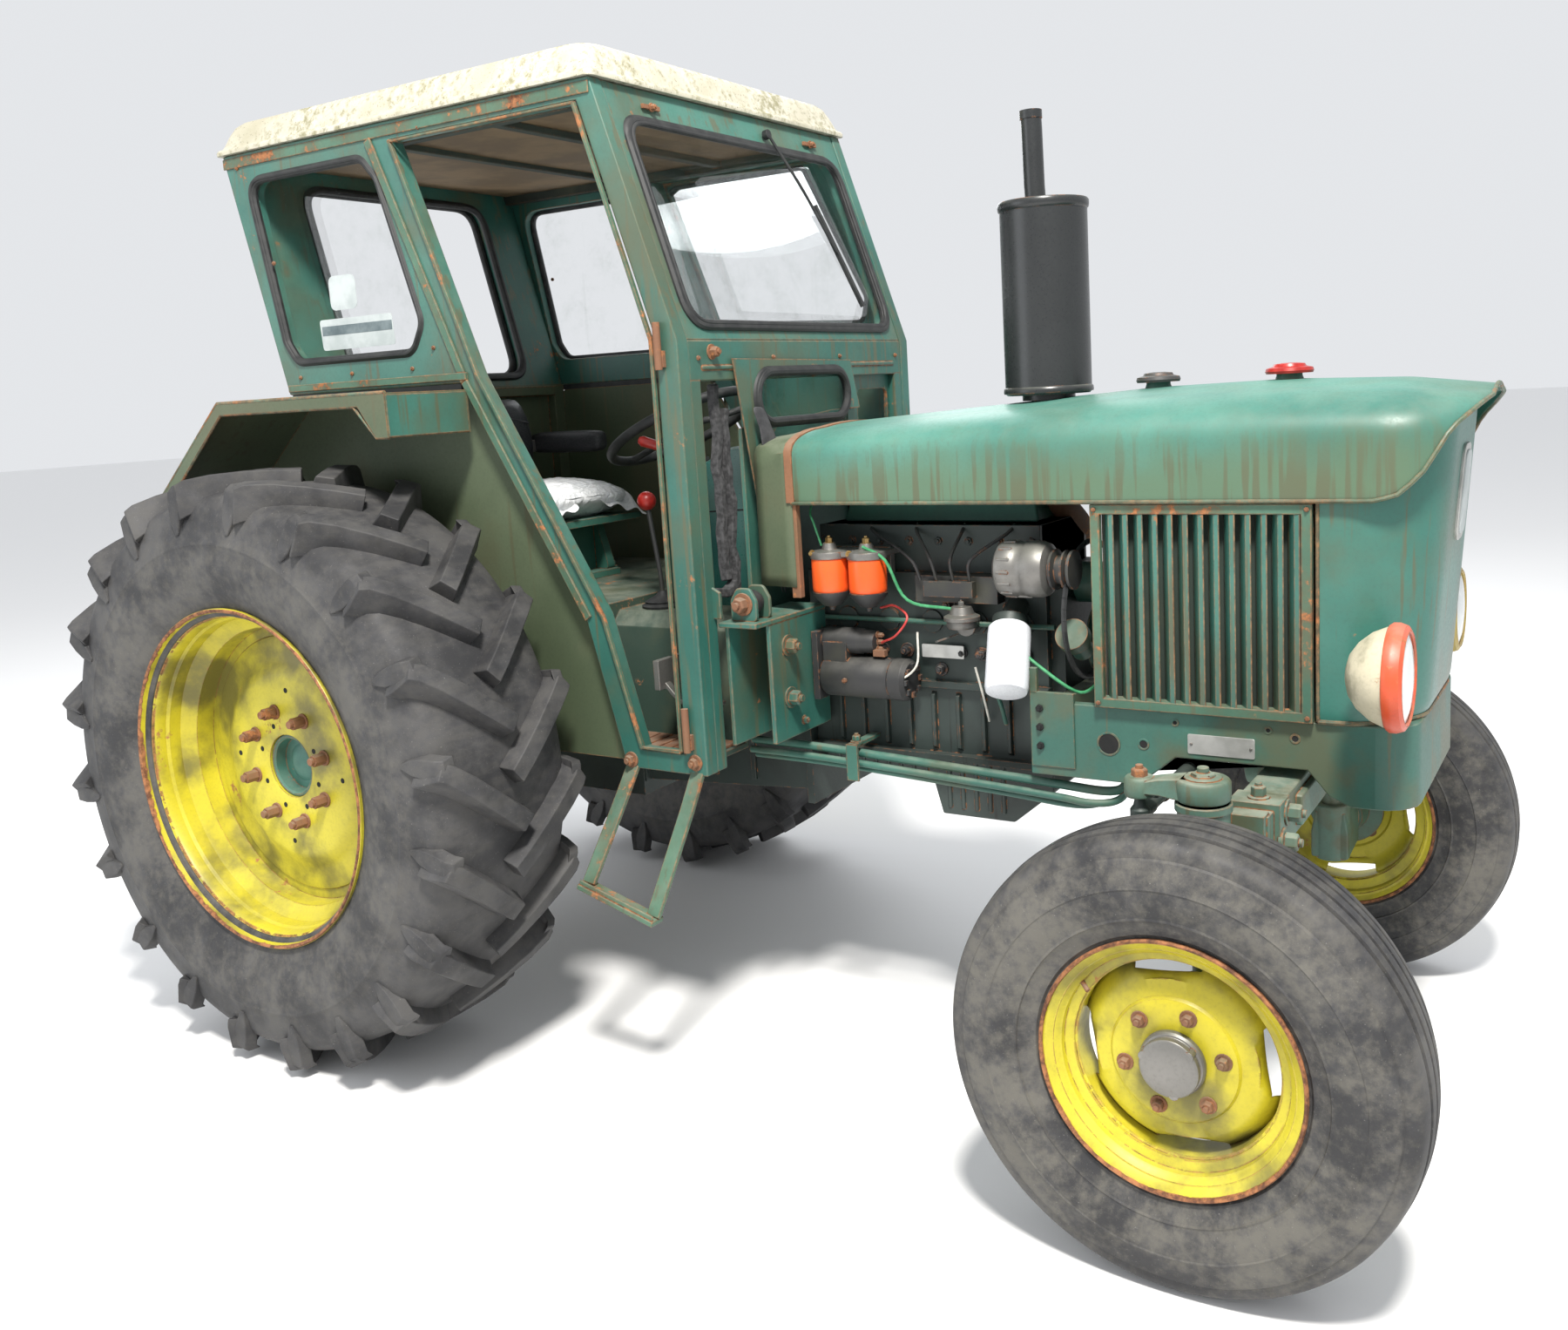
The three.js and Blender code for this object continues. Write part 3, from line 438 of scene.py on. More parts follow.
# ---------------------------------------------------------------- shader graphs
class Graph:
    """A node tree with short ways to add and join nodes."""

    def __init__(self, tree: bpy.types.NodeTree) -> None:
        """Takes the tree to fill."""
        self.tree = tree

    def node(self, kind: str, **settings: object) -> bpy.types.Node:
        """Adds a node of a kind and sets its properties."""
        made = self.tree.nodes.new(kind)
        for key, value in settings.items():
            setattr(made, key, value)
        return made

    def feed(self, target: Socket, source: Feed) -> None:
        """Links a socket, or sets the target's own value."""
        if isinstance(source, bpy.types.NodeSocket):
            self.tree.links.new(source, target)
        elif isinstance(source, (tuple, list)) and target.type == "RGBA":
            target.default_value = (*source[:3], 1.0)
        else:
            target.default_value = source

    def math(self, operation: str, a: Feed, b: Feed = 0.0, clamp: bool = False) -> Socket:
        """One arithmetic step."""
        made = self.node("ShaderNodeMath", operation=operation, use_clamp=clamp)
        self.feed(made.inputs[0], a)
        self.feed(made.inputs[1], b)
        return made.outputs[0]

    def step(self, value: Feed, low: Feed, high: Feed) -> Socket:
        """A smooth 0 to 1 ramp between two values."""
        made = self.node("ShaderNodeMapRange", interpolation_type="SMOOTHSTEP")
        self.feed(made.inputs["Value"], value)
        self.feed(made.inputs["From Min"], low)
        self.feed(made.inputs["From Max"], high)
        return made.outputs["Result"]

    def mix(self, share: Feed, a: Feed, b: Feed) -> Socket:
        """A colour between a and b."""
        made = self.node("ShaderNodeMix", data_type="RGBA")
        self.feed(made.inputs[0], share)
        self.feed(made.inputs[6], a)
        self.feed(made.inputs[7], b)
        return made.outputs[2]

    def place(self, stretch: Point = (1, 1, 1), offset: Point = (0, 0, 0)) -> Socket:
        """The surface's own coordinates, stretched and moved."""
        coordinates = self.node("ShaderNodeTexCoord").outputs["Object"]
        mapping = self.node("ShaderNodeMapping")
        self.feed(mapping.inputs["Vector"], coordinates)
        mapping.inputs["Scale"].default_value = stretch
        mapping.inputs["Location"].default_value = offset
        return mapping.outputs["Vector"]

    def noise(self, where: Socket, scale: Feed, detail: float = 4.0, rough: float = 0.55) -> Socket:
        """Cloudy noise."""
        made = self.node("ShaderNodeTexNoise")
        self.feed(made.inputs["Vector"], where)
        self.feed(made.inputs["Scale"], scale)
        made.inputs["Detail"].default_value = detail
        made.inputs["Roughness"].default_value = rough
        return made.outputs[0]

    def use(self, group: bpy.types.NodeTree, **values: Feed) -> bpy.types.Node:
        """Places a shader node group and feeds its inputs."""
        made = self.node("ShaderNodeGroup")
        made.node_tree = group
        for key, value in values.items():
            self.feed(made.inputs[key.replace("_", " ")], value)
        return made


class Effects:
    """The weathering that several finishes share, each a shader node group built once."""

    made: dict[str, bpy.types.NodeTree] = {}

    @classmethod
    def begin(cls, name: str, inputs: dict[str, object], outputs: dict[str, str]) -> tuple[Graph, dict, dict]:
        """Starts a group.

        Args:
            name: the group's name.
            inputs: each input's name and default.
            outputs: each output's name and socket type.

        Returns:
            The graph, the input sockets by name and the output sockets by name.
        """
        tree = bpy.data.node_groups.new(name, "ShaderNodeTree")
        for key, default in inputs.items():
            kind = "NodeSocketFloat" if isinstance(default, float) else "NodeSocketVector"
            socket = tree.interface.new_socket(key, in_out="INPUT", socket_type=kind)
            socket.default_value = default
        for key, kind in outputs.items():
            tree.interface.new_socket(key, in_out="OUTPUT", socket_type=kind)
        graph = Graph(tree)
        entry, leave = graph.node("NodeGroupInput"), graph.node("NodeGroupOutput")
        cls.made[name] = tree
        return graph, {k: entry.outputs[k] for k in inputs}, {k: leave.inputs[k] for k in outputs}

    @classmethod
    def mottle(cls) -> bpy.types.NodeTree:
        """Broad cloudy patches, such as fading."""
        if "mottle" not in cls.made:
            g, i, o = cls.begin("mottle", {"Scale": 3.0, "Low": 0.4, "High": 0.6}, {"Mask": "NodeSocketFloat"})
            g.feed(o["Mask"], g.step(g.noise(g.place(), i["Scale"], 6), i["Low"], i["High"]))
        return cls.made["mottle"]

    @classmethod
    def edge_wear(cls) -> bpy.types.NodeTree:
        """Where edges are rubbed, broken up by noise."""
        if "edge wear" not in cls.made:
            g, i, o = cls.begin("edge wear", {"Radius": 0.004, "Amount": 0.5}, {"Mask": "NodeSocketFloat"})
            bevel = g.node("ShaderNodeBevel", samples=4)
            g.feed(bevel.inputs["Radius"], i["Radius"])
            dot = g.node("ShaderNodeVectorMath", operation="DOT_PRODUCT")
            g.feed(dot.inputs[0], bevel.outputs[0])
            g.feed(dot.inputs[1], g.node("ShaderNodeNewGeometry").outputs["Normal"])
            bend = g.math("MULTIPLY", g.math("SUBTRACT", 1.0, dot.outputs["Value"]), 9.0, clamp=True)
            broken = g.math("MULTIPLY", bend, g.noise(g.place(), 38.0, 6, 0.65))
            threshold = g.math("SUBTRACT", 0.75, i["Amount"])
            g.feed(o["Mask"], g.step(broken, threshold, g.math("ADD", threshold, 0.14)))
        return cls.made["edge wear"]

    @classmethod
    def rust(cls) -> bpy.types.NodeTree:
        """Rust that breaks through, more where Edge is high."""
        if "rust" not in cls.made:
            outputs = {"Mask": "NodeSocketFloat", "Colour": "NodeSocketColor", "Height": "NodeSocketFloat"}
            g, i, o = cls.begin("rust", {"Scale": 9.0, "Amount": 0.3, "Edge": 0.0}, outputs)
            where = g.place()
            broad = g.noise(where, i["Scale"], 8, 0.62)
            fine = g.noise(where, g.math("MULTIPLY", i["Scale"], 7.3), 5, 0.7)
            level = g.math("ADD", g.math("MULTIPLY", broad, 0.68), g.math("MULTIPLY", fine, 0.32))
            level = g.math("ADD", level, g.math("MULTIPLY", i["Edge"], 0.4))
            threshold = g.math("SUBTRACT", 0.8, g.math("MULTIPLY", i["Amount"], 0.42))
            mask = g.step(level, threshold, g.math("ADD", threshold, 0.05))
            g.feed(o["Mask"], mask)
            g.feed(o["Colour"], g.mix(g.step(fine, 0.35, 0.65), (0.085, 0.032, 0.016), (0.33, 0.135, 0.052)))
            g.feed(o["Height"], g.math("MULTIPLY", mask, fine))
        return cls.made["rust"]

    @classmethod
    def streaks(cls) -> bpy.types.NodeTree:
        """Thin runs that rain leaves down an upright face."""
        if "streaks" not in cls.made:
            g, i, o = cls.begin("streaks", {"Scale": 60.0, "Amount": 0.5}, {"Mask": "NodeSocketFloat"})
            runs = g.noise(g.place((1, 1, 0.045)), i["Scale"], 3, 0.5)
            length = g.noise(g.place((1, 1, 0.5), (3, 1, 2)), 7.0, 3)
            level = g.math("ADD", g.math("MULTIPLY", runs, 0.75), g.math("MULTIPLY", length, 0.25))
            threshold = g.math("SUBTRACT", 0.66, g.math("MULTIPLY", i["Amount"], 0.2))
            g.feed(o["Mask"], g.step(level, threshold, g.math("ADD", threshold, 0.07)))
        return cls.made["streaks"]

    @classmethod
    def dust(cls) -> bpy.types.NodeTree:
        """Dust and algae settled on what faces up."""
        if "dust" not in cls.made:
            g, i, o = cls.begin("dust", {"Scale": 18.0, "Amount": 0.5}, {"Mask": "NodeSocketFloat"})
            split = g.node("ShaderNodeSeparateXYZ")
            g.feed(split.inputs[0], g.node("ShaderNodeNewGeometry").outputs["Normal"])
            upward = g.step(split.outputs["Z"], 0.1, 0.9)
            cloud = g.step(g.noise(g.place(), i["Scale"], 8, 0.65), 0.3, 0.7)
            g.feed(o["Mask"], g.math("MULTIPLY", g.math("MULTIPLY", upward, cloud), i["Amount"]))
        return cls.made["dust"]

    @classmethod
    def ring(cls) -> bpy.types.NodeTree:
        """A ring about an axle that lies along y, for what differs with distance from a wheel's middle."""
        if "ring" not in cls.made:
            g, i, o = cls.begin("ring", {"Centre": (0.0, 0.0, 0.0), "Radius": 0.4, "Width": 0.01},
                                {"Mask": "NodeSocketFloat"})
            away = g.node("ShaderNodeVectorMath", operation="SUBTRACT")
            g.feed(away.inputs[0], g.place())
            g.feed(away.inputs[1], i["Centre"])
            flat = g.node("ShaderNodeVectorMath", operation="MULTIPLY")
            g.feed(flat.inputs[0], away.outputs[0])
            flat.inputs[1].default_value = (1, 0, 1)
            far = g.node("ShaderNodeVectorMath", operation="LENGTH")
            g.feed(far.inputs[0], flat.outputs[0])
            off = g.math("ABSOLUTE", g.math("SUBTRACT", far.outputs["Value"], i["Radius"]))
            g.feed(o["Mask"], g.math("SUBTRACT", 1.0, g.step(off, g.math("MULTIPLY", i["Width"], 0.4), i["Width"])))
        return cls.made["ring"]


@dataclass(frozen=True)
class Finish:
    """What every finish has: its name, the record's slot, and its colour and roughness.

    A plain finish has a fine mottled colour and a slight bump.
    """

    name: str
    slot: str
    base: Colour
    second: Colour
    roughness: float = 0.5
    metallic: float = 0.0
    grain: float = 60.0
    bump: float = 0.1

    def begin(self) -> tuple[bpy.types.Material, Graph, bpy.types.Node]:
        """Starts a material with its Principled shader."""
        made = bpy.data.materials.new(self.name)
        made.use_nodes = True
        made.diffuse_color = (*self.base, 1.0)
        graph = Graph(made.node_tree)
        shader = made.node_tree.nodes["Principled BSDF"]
        shader.inputs["Metallic"].default_value = self.metallic
        shader.inputs["Roughness"].default_value = self.roughness
        return made, graph, shader

    def relief(self, graph: Graph, shader: bpy.types.Node, height: Socket, strength: float,
               depth: float = 0.001) -> None:
        """Feeds a height to the shader's normal."""
        bump = graph.node("ShaderNodeBump")
        bump.inputs["Strength"].default_value = strength
        bump.inputs["Distance"].default_value = depth
        graph.feed(bump.inputs["Height"], height)
        graph.feed(shader.inputs["Normal"], bump.outputs["Normal"])

    def material(self) -> bpy.types.Material:
        """Builds the material."""
        made, g, shader = self.begin()
        cloud = g.noise(g.place(), self.grain, 6, 0.6)
        g.feed(shader.inputs["Base Color"], g.mix(g.step(cloud, 0.35, 0.65), self.base, self.second))
        g.feed(shader.inputs["Roughness"],
               g.math("ADD", g.math("MULTIPLY", cloud, 0.24), self.roughness - 0.12, clamp=True))
        self.relief(g, shader, cloud, self.bump)
        return made


@dataclass(frozen=True)
class Paint(Finish):
    """Old paint on steel: faded, stained, streaked, rubbed at the edges and rusting through."""

    grime: Colour = (0.085, 0.085, 0.045)
    fade: tuple[float, float, float] = (1.6, 0.38, 0.66)
    stain: tuple[float, float, float] = (5.0, 0.5, 0.8)
    stain_share: float = 0.6
    streak: float = 0.35
    rust: float = 0.35
    edge: float = 0.42
    dust: float = 0.35
    dusty: Colour = (0.30, 0.31, 0.25)
    ring: Optional[tuple[Point, float, float]] = None
    skirt: Optional[tuple[float, float, Colour]] = None

    def material(self) -> bpy.types.Material:
        """Builds the material."""
        made, g, shader = self.begin()
        where = g.place()
        fade = g.use(Effects.mottle(), Scale=self.fade[0], Low=self.fade[1], High=self.fade[2])
        colour = g.mix(fade.outputs["Mask"], self.base, self.second)
        fine = g.noise(where, 140.0, 4, 0.7)
        colour = g.mix(g.math("MULTIPLY", g.step(fine, 0.45, 0.75), 0.16), colour, (0.03, 0.035, 0.03))
        stain = g.use(Effects.mottle(), Scale=self.stain[0], Low=self.stain[1], High=self.stain[2])
        colour = g.mix(g.math("MULTIPLY", stain.outputs["Mask"], self.stain_share), colour, self.grime)
        runs = g.use(Effects.streaks(), Scale=55.0, Amount=self.streak)
        wet = g.math("MULTIPLY", runs.outputs["Mask"], 0.72 if self.streak > 0 else 0.0)
        if self.skirt:
            low, high, tint = self.skirt
            split = g.node("ShaderNodeSeparateXYZ")
            g.feed(split.inputs[0], where)
            level = g.math("ADD", split.outputs["Z"], g.math("MULTIPLY", g.noise(where, 9.0, 6, 0.6), 0.12))
            share = g.math("SUBTRACT", 1.0, g.step(level, low + 0.06, high + 0.06))
            colour = g.mix(g.math("MULTIPLY", share, 0.82), colour, tint)
            wet = g.math("MULTIPLY", wet, share)
        colour = g.mix(wet, colour, self.grime)
        dust = g.use(Effects.dust(), Scale=14.0, Amount=self.dust)
        colour = g.mix(dust.outputs["Mask"], colour, self.dusty)
        wear = g.use(Effects.edge_wear(), Radius=0.005, Amount=self.edge)
        rub = wear.outputs["Mask"]
        if self.ring:
            centre, radius, width = self.ring
            band = g.use(Effects.ring(), Centre=centre, Radius=radius, Width=width)
            rub = g.math("MAXIMUM", rub, band.outputs["Mask"])
        rust = g.use(Effects.rust(), Scale=8.0, Amount=self.rust, Edge=rub)
        colour = g.mix(rust.outputs["Mask"], colour, rust.outputs["Colour"])
        g.feed(shader.inputs["Base Color"], colour)
        rough = g.math("ADD", g.math("MULTIPLY", rust.outputs["Mask"], 0.35), self.roughness)
        rough = g.math("ADD", rough, g.math("MULTIPLY", dust.outputs["Mask"], 0.3))
        g.feed(shader.inputs["Roughness"],
               g.math("ADD", rough, g.math("MULTIPLY", g.math("SUBTRACT", fine, 0.5), 0.25), clamp=True))
        height = g.math("ADD", g.math("MULTIPLY", rust.outputs["Height"], 0.9), g.math("MULTIPLY", fine, 0.12))
        self.relief(g, shader, height, 0.35, 0.0012)
        return made


@dataclass(frozen=True)
class Rubber(Finish):
    """Tyre rubber: grey with dust, scuffs and small cracks."""

    dusty: Colour = (0.150, 0.140, 0.115)
    centre: Point = (0.0, 0.0, 0.0)
    clean_radius: float = 0.6
    dust_share: float = 0.5

    def material(self) -> bpy.types.Material:
        """Builds the material."""
        made, g, shader = self.begin()
        where = g.place()
        cloud = g.noise(where, 7.0, 8, 0.62)
        scuff = g.noise(g.place((1, 0.25, 1)), 42.0, 8, 0.7)
        colour = g.mix(g.step(cloud, 0.35, 0.65), self.base, self.second)
        band = g.use(Effects.ring(), Centre=self.centre, Radius=self.clean_radius, Width=0.16)
        dirt = g.math("MULTIPLY", g.step(g.math("ADD", g.math("MULTIPLY", cloud, 0.5),
                                                g.math("MULTIPLY", scuff, 0.5)), 0.4, 0.62),
                      g.math("ADD", 0.2, g.math("MULTIPLY", band.outputs["Mask"], self.dust_share)))
        colour = g.mix(dirt, colour, self.dusty)
        specks = g.step(g.noise(where, 260.0, 3, 0.6), 0.66, 0.74)
        colour = g.mix(g.math("MULTIPLY", specks, 0.35), colour, (0.3, 0.29, 0.27))
        g.feed(shader.inputs["Base Color"], colour)
        g.feed(shader.inputs["Roughness"], g.math("ADD", 0.5, g.math("MULTIPLY", scuff, 0.4), clamp=True))
        cracks = g.node("ShaderNodeTexVoronoi", feature="DISTANCE_TO_EDGE")
        g.feed(cracks.inputs["Vector"], where)
        cracks.inputs["Scale"].default_value = 150.0
        height = g.math("ADD", g.math("MULTIPLY", scuff, 0.7),
                        g.math("MULTIPLY", g.step(cracks.outputs["Distance"], 0.0, 0.08), 0.15))
        self.relief(g, shader, height, 0.3, 0.0015)
        return made


@dataclass(frozen=True)
class Glazing(Finish):
    """Dirty clear glass: a little milky with dust and runs."""

    haze: float = 0.16

    def material(self) -> bpy.types.Material:
        """Builds the material."""
        made, g, shader = self.begin()
        shader.inputs["Transmission Weight"].default_value = 1.0
        shader.inputs["IOR"].default_value = 1.05
        cloud = g.noise(g.place(), 9.0, 8, 0.7)
        runs = g.use(Effects.streaks(), Scale=40.0, Amount=0.4)
        film = g.math("ADD", g.step(cloud, 0.42, 0.8), g.math("MULTIPLY", runs.outputs["Mask"], 0.3), clamp=True)
        g.feed(shader.inputs["Base Color"], g.mix(film, self.base, self.second))
        g.feed(shader.inputs["Roughness"], g.math("ADD", 0.02, g.math("MULTIPLY", film, 0.12)))
        g.feed(shader.inputs["Alpha"], g.math("ADD", self.haze, g.math("MULTIPLY", film, 0.3)))
        return made


@dataclass(frozen=True)
class RoofResin(Finish):
    """Glass-fibre roof skin with moss and dark specks of dirt."""

    moss: Colour = (0.16, 0.15, 0.055)

    def material(self) -> bpy.types.Material:
        """Builds the material."""
        made, g, shader = self.begin()
        where = g.place()
        broad, fine = g.noise(where, 4.0, 8, 0.6), g.noise(where, 46.0, 8, 0.72)
        level = g.math("ADD", g.math("MULTIPLY", broad, 0.45), g.math("MULTIPLY", fine, 0.55))
        growth = g.step(level, 0.47, 0.62)
        colour = g.mix(g.math("MULTIPLY", growth, 0.8), g.mix(g.step(broad, 0.3, 0.7), self.base, self.second),
                       self.moss)
        dots = g.step(g.noise(where, 170.0, 3, 0.6), 0.62, 0.7)
        colour = g.mix(g.math("MULTIPLY", dots, 0.7), colour, (0.06, 0.055, 0.03))
        g.feed(shader.inputs["Base Color"], colour)
        g.feed(shader.inputs["Roughness"], g.math("ADD", 0.55, g.math("MULTIPLY", growth, 0.35), clamp=True))
        self.relief(g, shader, g.math("ADD", growth, fine), 0.35, 0.002)
        return made


@dataclass(frozen=True)
class Bag(Finish):
    """A thin clouded plastic bag pulled over a cushion."""

    def material(self) -> bpy.types.Material:
        """Builds the material."""
        made, g, shader = self.begin()
        where = g.place()
        folds = g.noise(where, 16.0, 6, 0.62)
        shader.inputs["Subsurface Weight"].default_value = 0.25
        shader.inputs["Subsurface Radius"].default_value = (0.02, 0.02, 0.02)
        marks = g.step(g.noise(g.place((1, 3, 1)), 30.0, 2), 0.66, 0.7)
        colour = g.mix(g.step(folds, 0.3, 0.7), self.base, self.second)
        g.feed(shader.inputs["Base Color"], g.mix(g.math("MULTIPLY", marks, 0.25), colour, (0.25, 0.3, 0.42)))
        g.feed(shader.inputs["Roughness"], g.math("ADD", 0.18, g.math("MULTIPLY", folds, 0.3)))
        creases = g.node("ShaderNodeTexVoronoi", feature="DISTANCE_TO_EDGE")
        g.feed(creases.inputs["Vector"], g.mix(0.12, where, folds))
        creases.inputs["Scale"].default_value = 26.0
        self.relief(g, shader, g.math("ADD", folds, g.step(creases.outputs["Distance"], 0.0, 0.2)), 0.6, 0.004)
        return made


class Finishes:
    """Every finish of the machine; each material is made once, when first asked for."""

    ready: dict[str, bpy.types.Material] = {}

    GREEN = Paint("faded green paint", "green_paint", (0.018, 0.094, 0.074), (0.049, 0.165, 0.130), 0.46,
                  stain=(3.6, 0.42, 0.7), stain_share=0.72, streak=0.55, rust=0.44, edge=0.6)
    BONNET = Paint("bonnet paint", "green_paint", (0.029, 0.138, 0.110), (0.076, 0.228, 0.183), 0.44, streak=0.9,
                   rust=0.26, dust=0.12, stain=(2.6, 0.48, 0.78), stain_share=0.5,
                   skirt=(1.33, 1.46, (0.085, 0.135, 0.075)))
    BONNET_SIDE = Paint("streaked bonnet side", "green_paint", (0.045, 0.105, 0.062), (0.065, 0.165, 0.120), 0.45,
                        stain=(4.0, 0.3, 0.6), stain_share=0.75, streak=0.78, grime=(0.052, 0.062, 0.032), rust=0.25)
    NOSE = Paint("nose paint", "green_paint", (0.028, 0.130, 0.102), (0.060, 0.200, 0.158), 0.36,
                 stain=(3.0, 0.46, 0.72),
                 stain_share=0.75, streak=0.3, rust=0.38)
    DEEP = Paint("shaded green paint", "green_paint", (0.022, 0.095, 0.072), (0.05, 0.16, 0.12), 0.5, rust=0.36,
                 stain_share=0.7, streak=0.2)
    COWL = Paint("cowl enamel", "green_paint", (0.012, 0.075, 0.062), (0.02, 0.1, 0.083), 0.3, stain_share=0.25,
                 streak=0.0, rust=0.06, edge=0.2, dust=0.2)
    OLIVE = Paint("olive stained paint", "olive_paint", (0.062, 0.085, 0.045), (0.10, 0.13, 0.075), 0.62,
                  stain=(3.2, 0.42, 0.7), stain_share=0.75, streak=0.4, rust=0.32)
    FLOOR = Paint("grubby floor paint", "olive_paint", (0.020, 0.044, 0.032), (0.046, 0.080, 0.056), 0.7,
                  stain=(5.0, 0.42, 0.7), stain_share=0.7, streak=0.0, rust=0.5, edge=0.5)
    # Near-black green for the sheet behind the side grilles and the rails under the roof: painted shade.
    DARK = Paint("painted shade dark green", "green_paint", (0.016, 0.024, 0.018), (0.03, 0.045, 0.035), 0.75, stain_share=0.5,
                 rust=0.34, streak=0.0)
    RUSTED = Paint("rusted steel", "cast", (0.16, 0.075, 0.04), (0.24, 0.11, 0.055), 0.8, stain_share=0.5, rust=0.6,
                   streak=0.0, edge=0.3)
    STEP = Paint("worn step paint", "green_paint", (0.036, 0.100, 0.066), (0.075, 0.160, 0.105), 0.55, rust=0.6,
                 edge=0.6,
                 stain=(8.0, 0.42, 0.65), stain_share=0.8)
    CAST = Paint("oily castings", "cast", (0.018, 0.028, 0.025), (0.04, 0.055, 0.05), 0.5, 0.15, stain_share=0.7,
                 grime=(0.012, 0.012, 0.01), streak=0.2, rust=0.26, edge=0.3, dust=0.3, dusty=(0.1, 0.1, 0.085))
    FRAME = Paint("front casting paint", "green_paint", (0.028, 0.105, 0.08), (0.07, 0.19, 0.145), 0.5, rust=0.3,
                  stain=(6.0, 0.42, 0.65), stain_share=0.75, edge=0.36)
    AXLE = Paint("axle paint", "green_paint", (0.055, 0.115, 0.086), (0.11, 0.195, 0.15), 0.55, rust=0.38,
                 stain=(11.0, 0.42, 0.65), stain_share=0.8, edge=0.4, dust=0.6)
    BLACK = Paint("satin black", "black_paint", (0.012, 0.013, 0.014), (0.022, 0.024, 0.025), 0.3,
                  grime=(0.16, 0.165, 0.16), stain=(2.2, 0.62, 0.85), stain_share=0.5, streak=0.0, rust=0.12,
                  edge=0.3,
                  dust=0.3)
    PART_BLACK = Paint("dusty black parts", "black_paint", (0.02, 0.02, 0.021), (0.045, 0.045, 0.045), 0.5,
                       streak=0.0, rust=0.26, edge=0.3, dust=0.5, dusty=(0.13, 0.125, 0.11))
    STEEL = Paint("dull steel", "steel", (0.17, 0.165, 0.155), (0.26, 0.25, 0.235), 0.42, 0.6, stain_share=0.6,
                  streak=0.0, rust=0.22, edge=0.3, grime=(0.05, 0.045, 0.035))
    ORANGE = Paint("orange cans", "orange_can", (0.78, 0.085, 0.012), (0.85, 0.13, 0.02), 0.35, stain_share=0.25,
                   streak=0.0, rust=0.06, edge=0.15, dust=0.15)
    WHITE = Paint("white can", "white_can", (0.72, 0.74, 0.78), (0.8, 0.81, 0.84), 0.3, stain_share=0.2, streak=0.0,
                  rust=0.0, edge=0.05, dust=0.1)
    LAMP_SHELL = Paint("cream lamp shell", "lamp", (0.48, 0.43, 0.30), (0.6, 0.55, 0.42), 0.5, rust=0.5,
                       stain=(12.0, 0.5, 0.7), streak=0.1, edge=0.4)
    LAMP_RIM = Paint("orange lamp rim", "lamp", (0.55, 0.06, 0.02), (0.62, 0.12, 0.03), 0.4, rust=0.4, streak=0.0)
    # A lighter, yellower copy of the orange rim paint for the far headlamp: painted light.
    LAMP_RIM_LIT = Paint("lamp rim painted lighter", "lamp", (0.4, 0.3, 0.06), (0.5, 0.4, 0.12), 0.45, rust=0.4, streak=0.0)
    RED = Finish("red plastic", "lamp", (0.28, 0.012, 0.009), (0.38, 0.022, 0.015), 0.34)
    SEAL = Finish("window rubber", "black_paint", (0.010, 0.011, 0.012), (0.026, 0.027, 0.027), 0.6, grain=30.0,
                  bump=0.3)
    STRIP = Finish("torn grey rubber", "black_paint", (0.022, 0.022, 0.025), (0.075, 0.075, 0.08), 0.75, grain=14.0,
                   bump=0.5)
    FOAM = Finish("old foam", "black_paint", (0.02, 0.02, 0.021), (0.06, 0.06, 0.062), 0.95, grain=90.0, bump=1.0)
    BOARD = Finish("brown hardboard lining", "olive_paint", (0.13, 0.085, 0.042), (0.2, 0.135, 0.07), 0.8, grain=8.0)
    VINYL = Finish("black vinyl", "vinyl", (0.02, 0.021, 0.024), (0.042, 0.043, 0.047), 0.42, grain=240.0, bump=0.4)
    CUSHION = Bag("clouded plastic bag", "plastic_wrap", (0.66, 0.68, 0.7), (0.84, 0.85, 0.86), 0.25)
    GLASS = Glazing("dirty clear glass", "glass", (0.86, 0.9, 0.9), (0.62, 0.66, 0.62), 0.05)
    MISTED = Glazing("misted old glass", "glass", (0.6, 0.68, 0.68), (0.42, 0.48, 0.46), 0.1, haze=0.55)
    ROOF = RoofResin("mossy roof resin", "roof_white", (0.38, 0.355, 0.26), (0.60, 0.575, 0.49), 0.6)
    BRASS = Finish("old brass", "steel", (0.32, 0.2, 0.07), (0.42, 0.29, 0.12), 0.4, 0.8)
    PLATE = Finish("blank metal plate", "steel", (0.4, 0.4, 0.38), (0.5, 0.5, 0.48), 0.4, 0.6, grain=20.0)
    STICKER = Finish("blank sticker", "plastic_wrap", (0.36, 0.40, 0.40), (0.48, 0.52, 0.52), 0.55, grain=12.0)
    STICKER_DARK = Finish("sticker band", "plastic_wrap", (0.06, 0.09, 0.1), (0.16, 0.2, 0.21), 0.5, grain=12.0)
    LENS = Finish("lamp lens", "glass", (0.55, 0.58, 0.58), (0.72, 0.74, 0.73), 0.12, grain=18.0)
    WIRE_RED = Finish("red wire", "black_paint", (0.4, 0.03, 0.03), (0.5, 0.06, 0.05), 0.5)
    WIRE_GREEN = Finish("green wire", "green_paint", (0.03, 0.2, 0.08), (0.06, 0.3, 0.13), 0.5)
    WIRE_WHITE = Finish("white wire", "steel", (0.45, 0.44, 0.4), (0.6, 0.58, 0.52), 0.5)
    HOLE = Finish("shadowed hole", "black_paint", (0.006, 0.007, 0.007), (0.012, 0.012, 0.012), 0.9)

    @classmethod
    def of(cls, finish: Finish) -> bpy.types.Material:
        """The finish's material."""
        if finish.name not in cls.ready:
            cls.ready[finish.name] = finish.material()
        return cls.ready[finish.name]

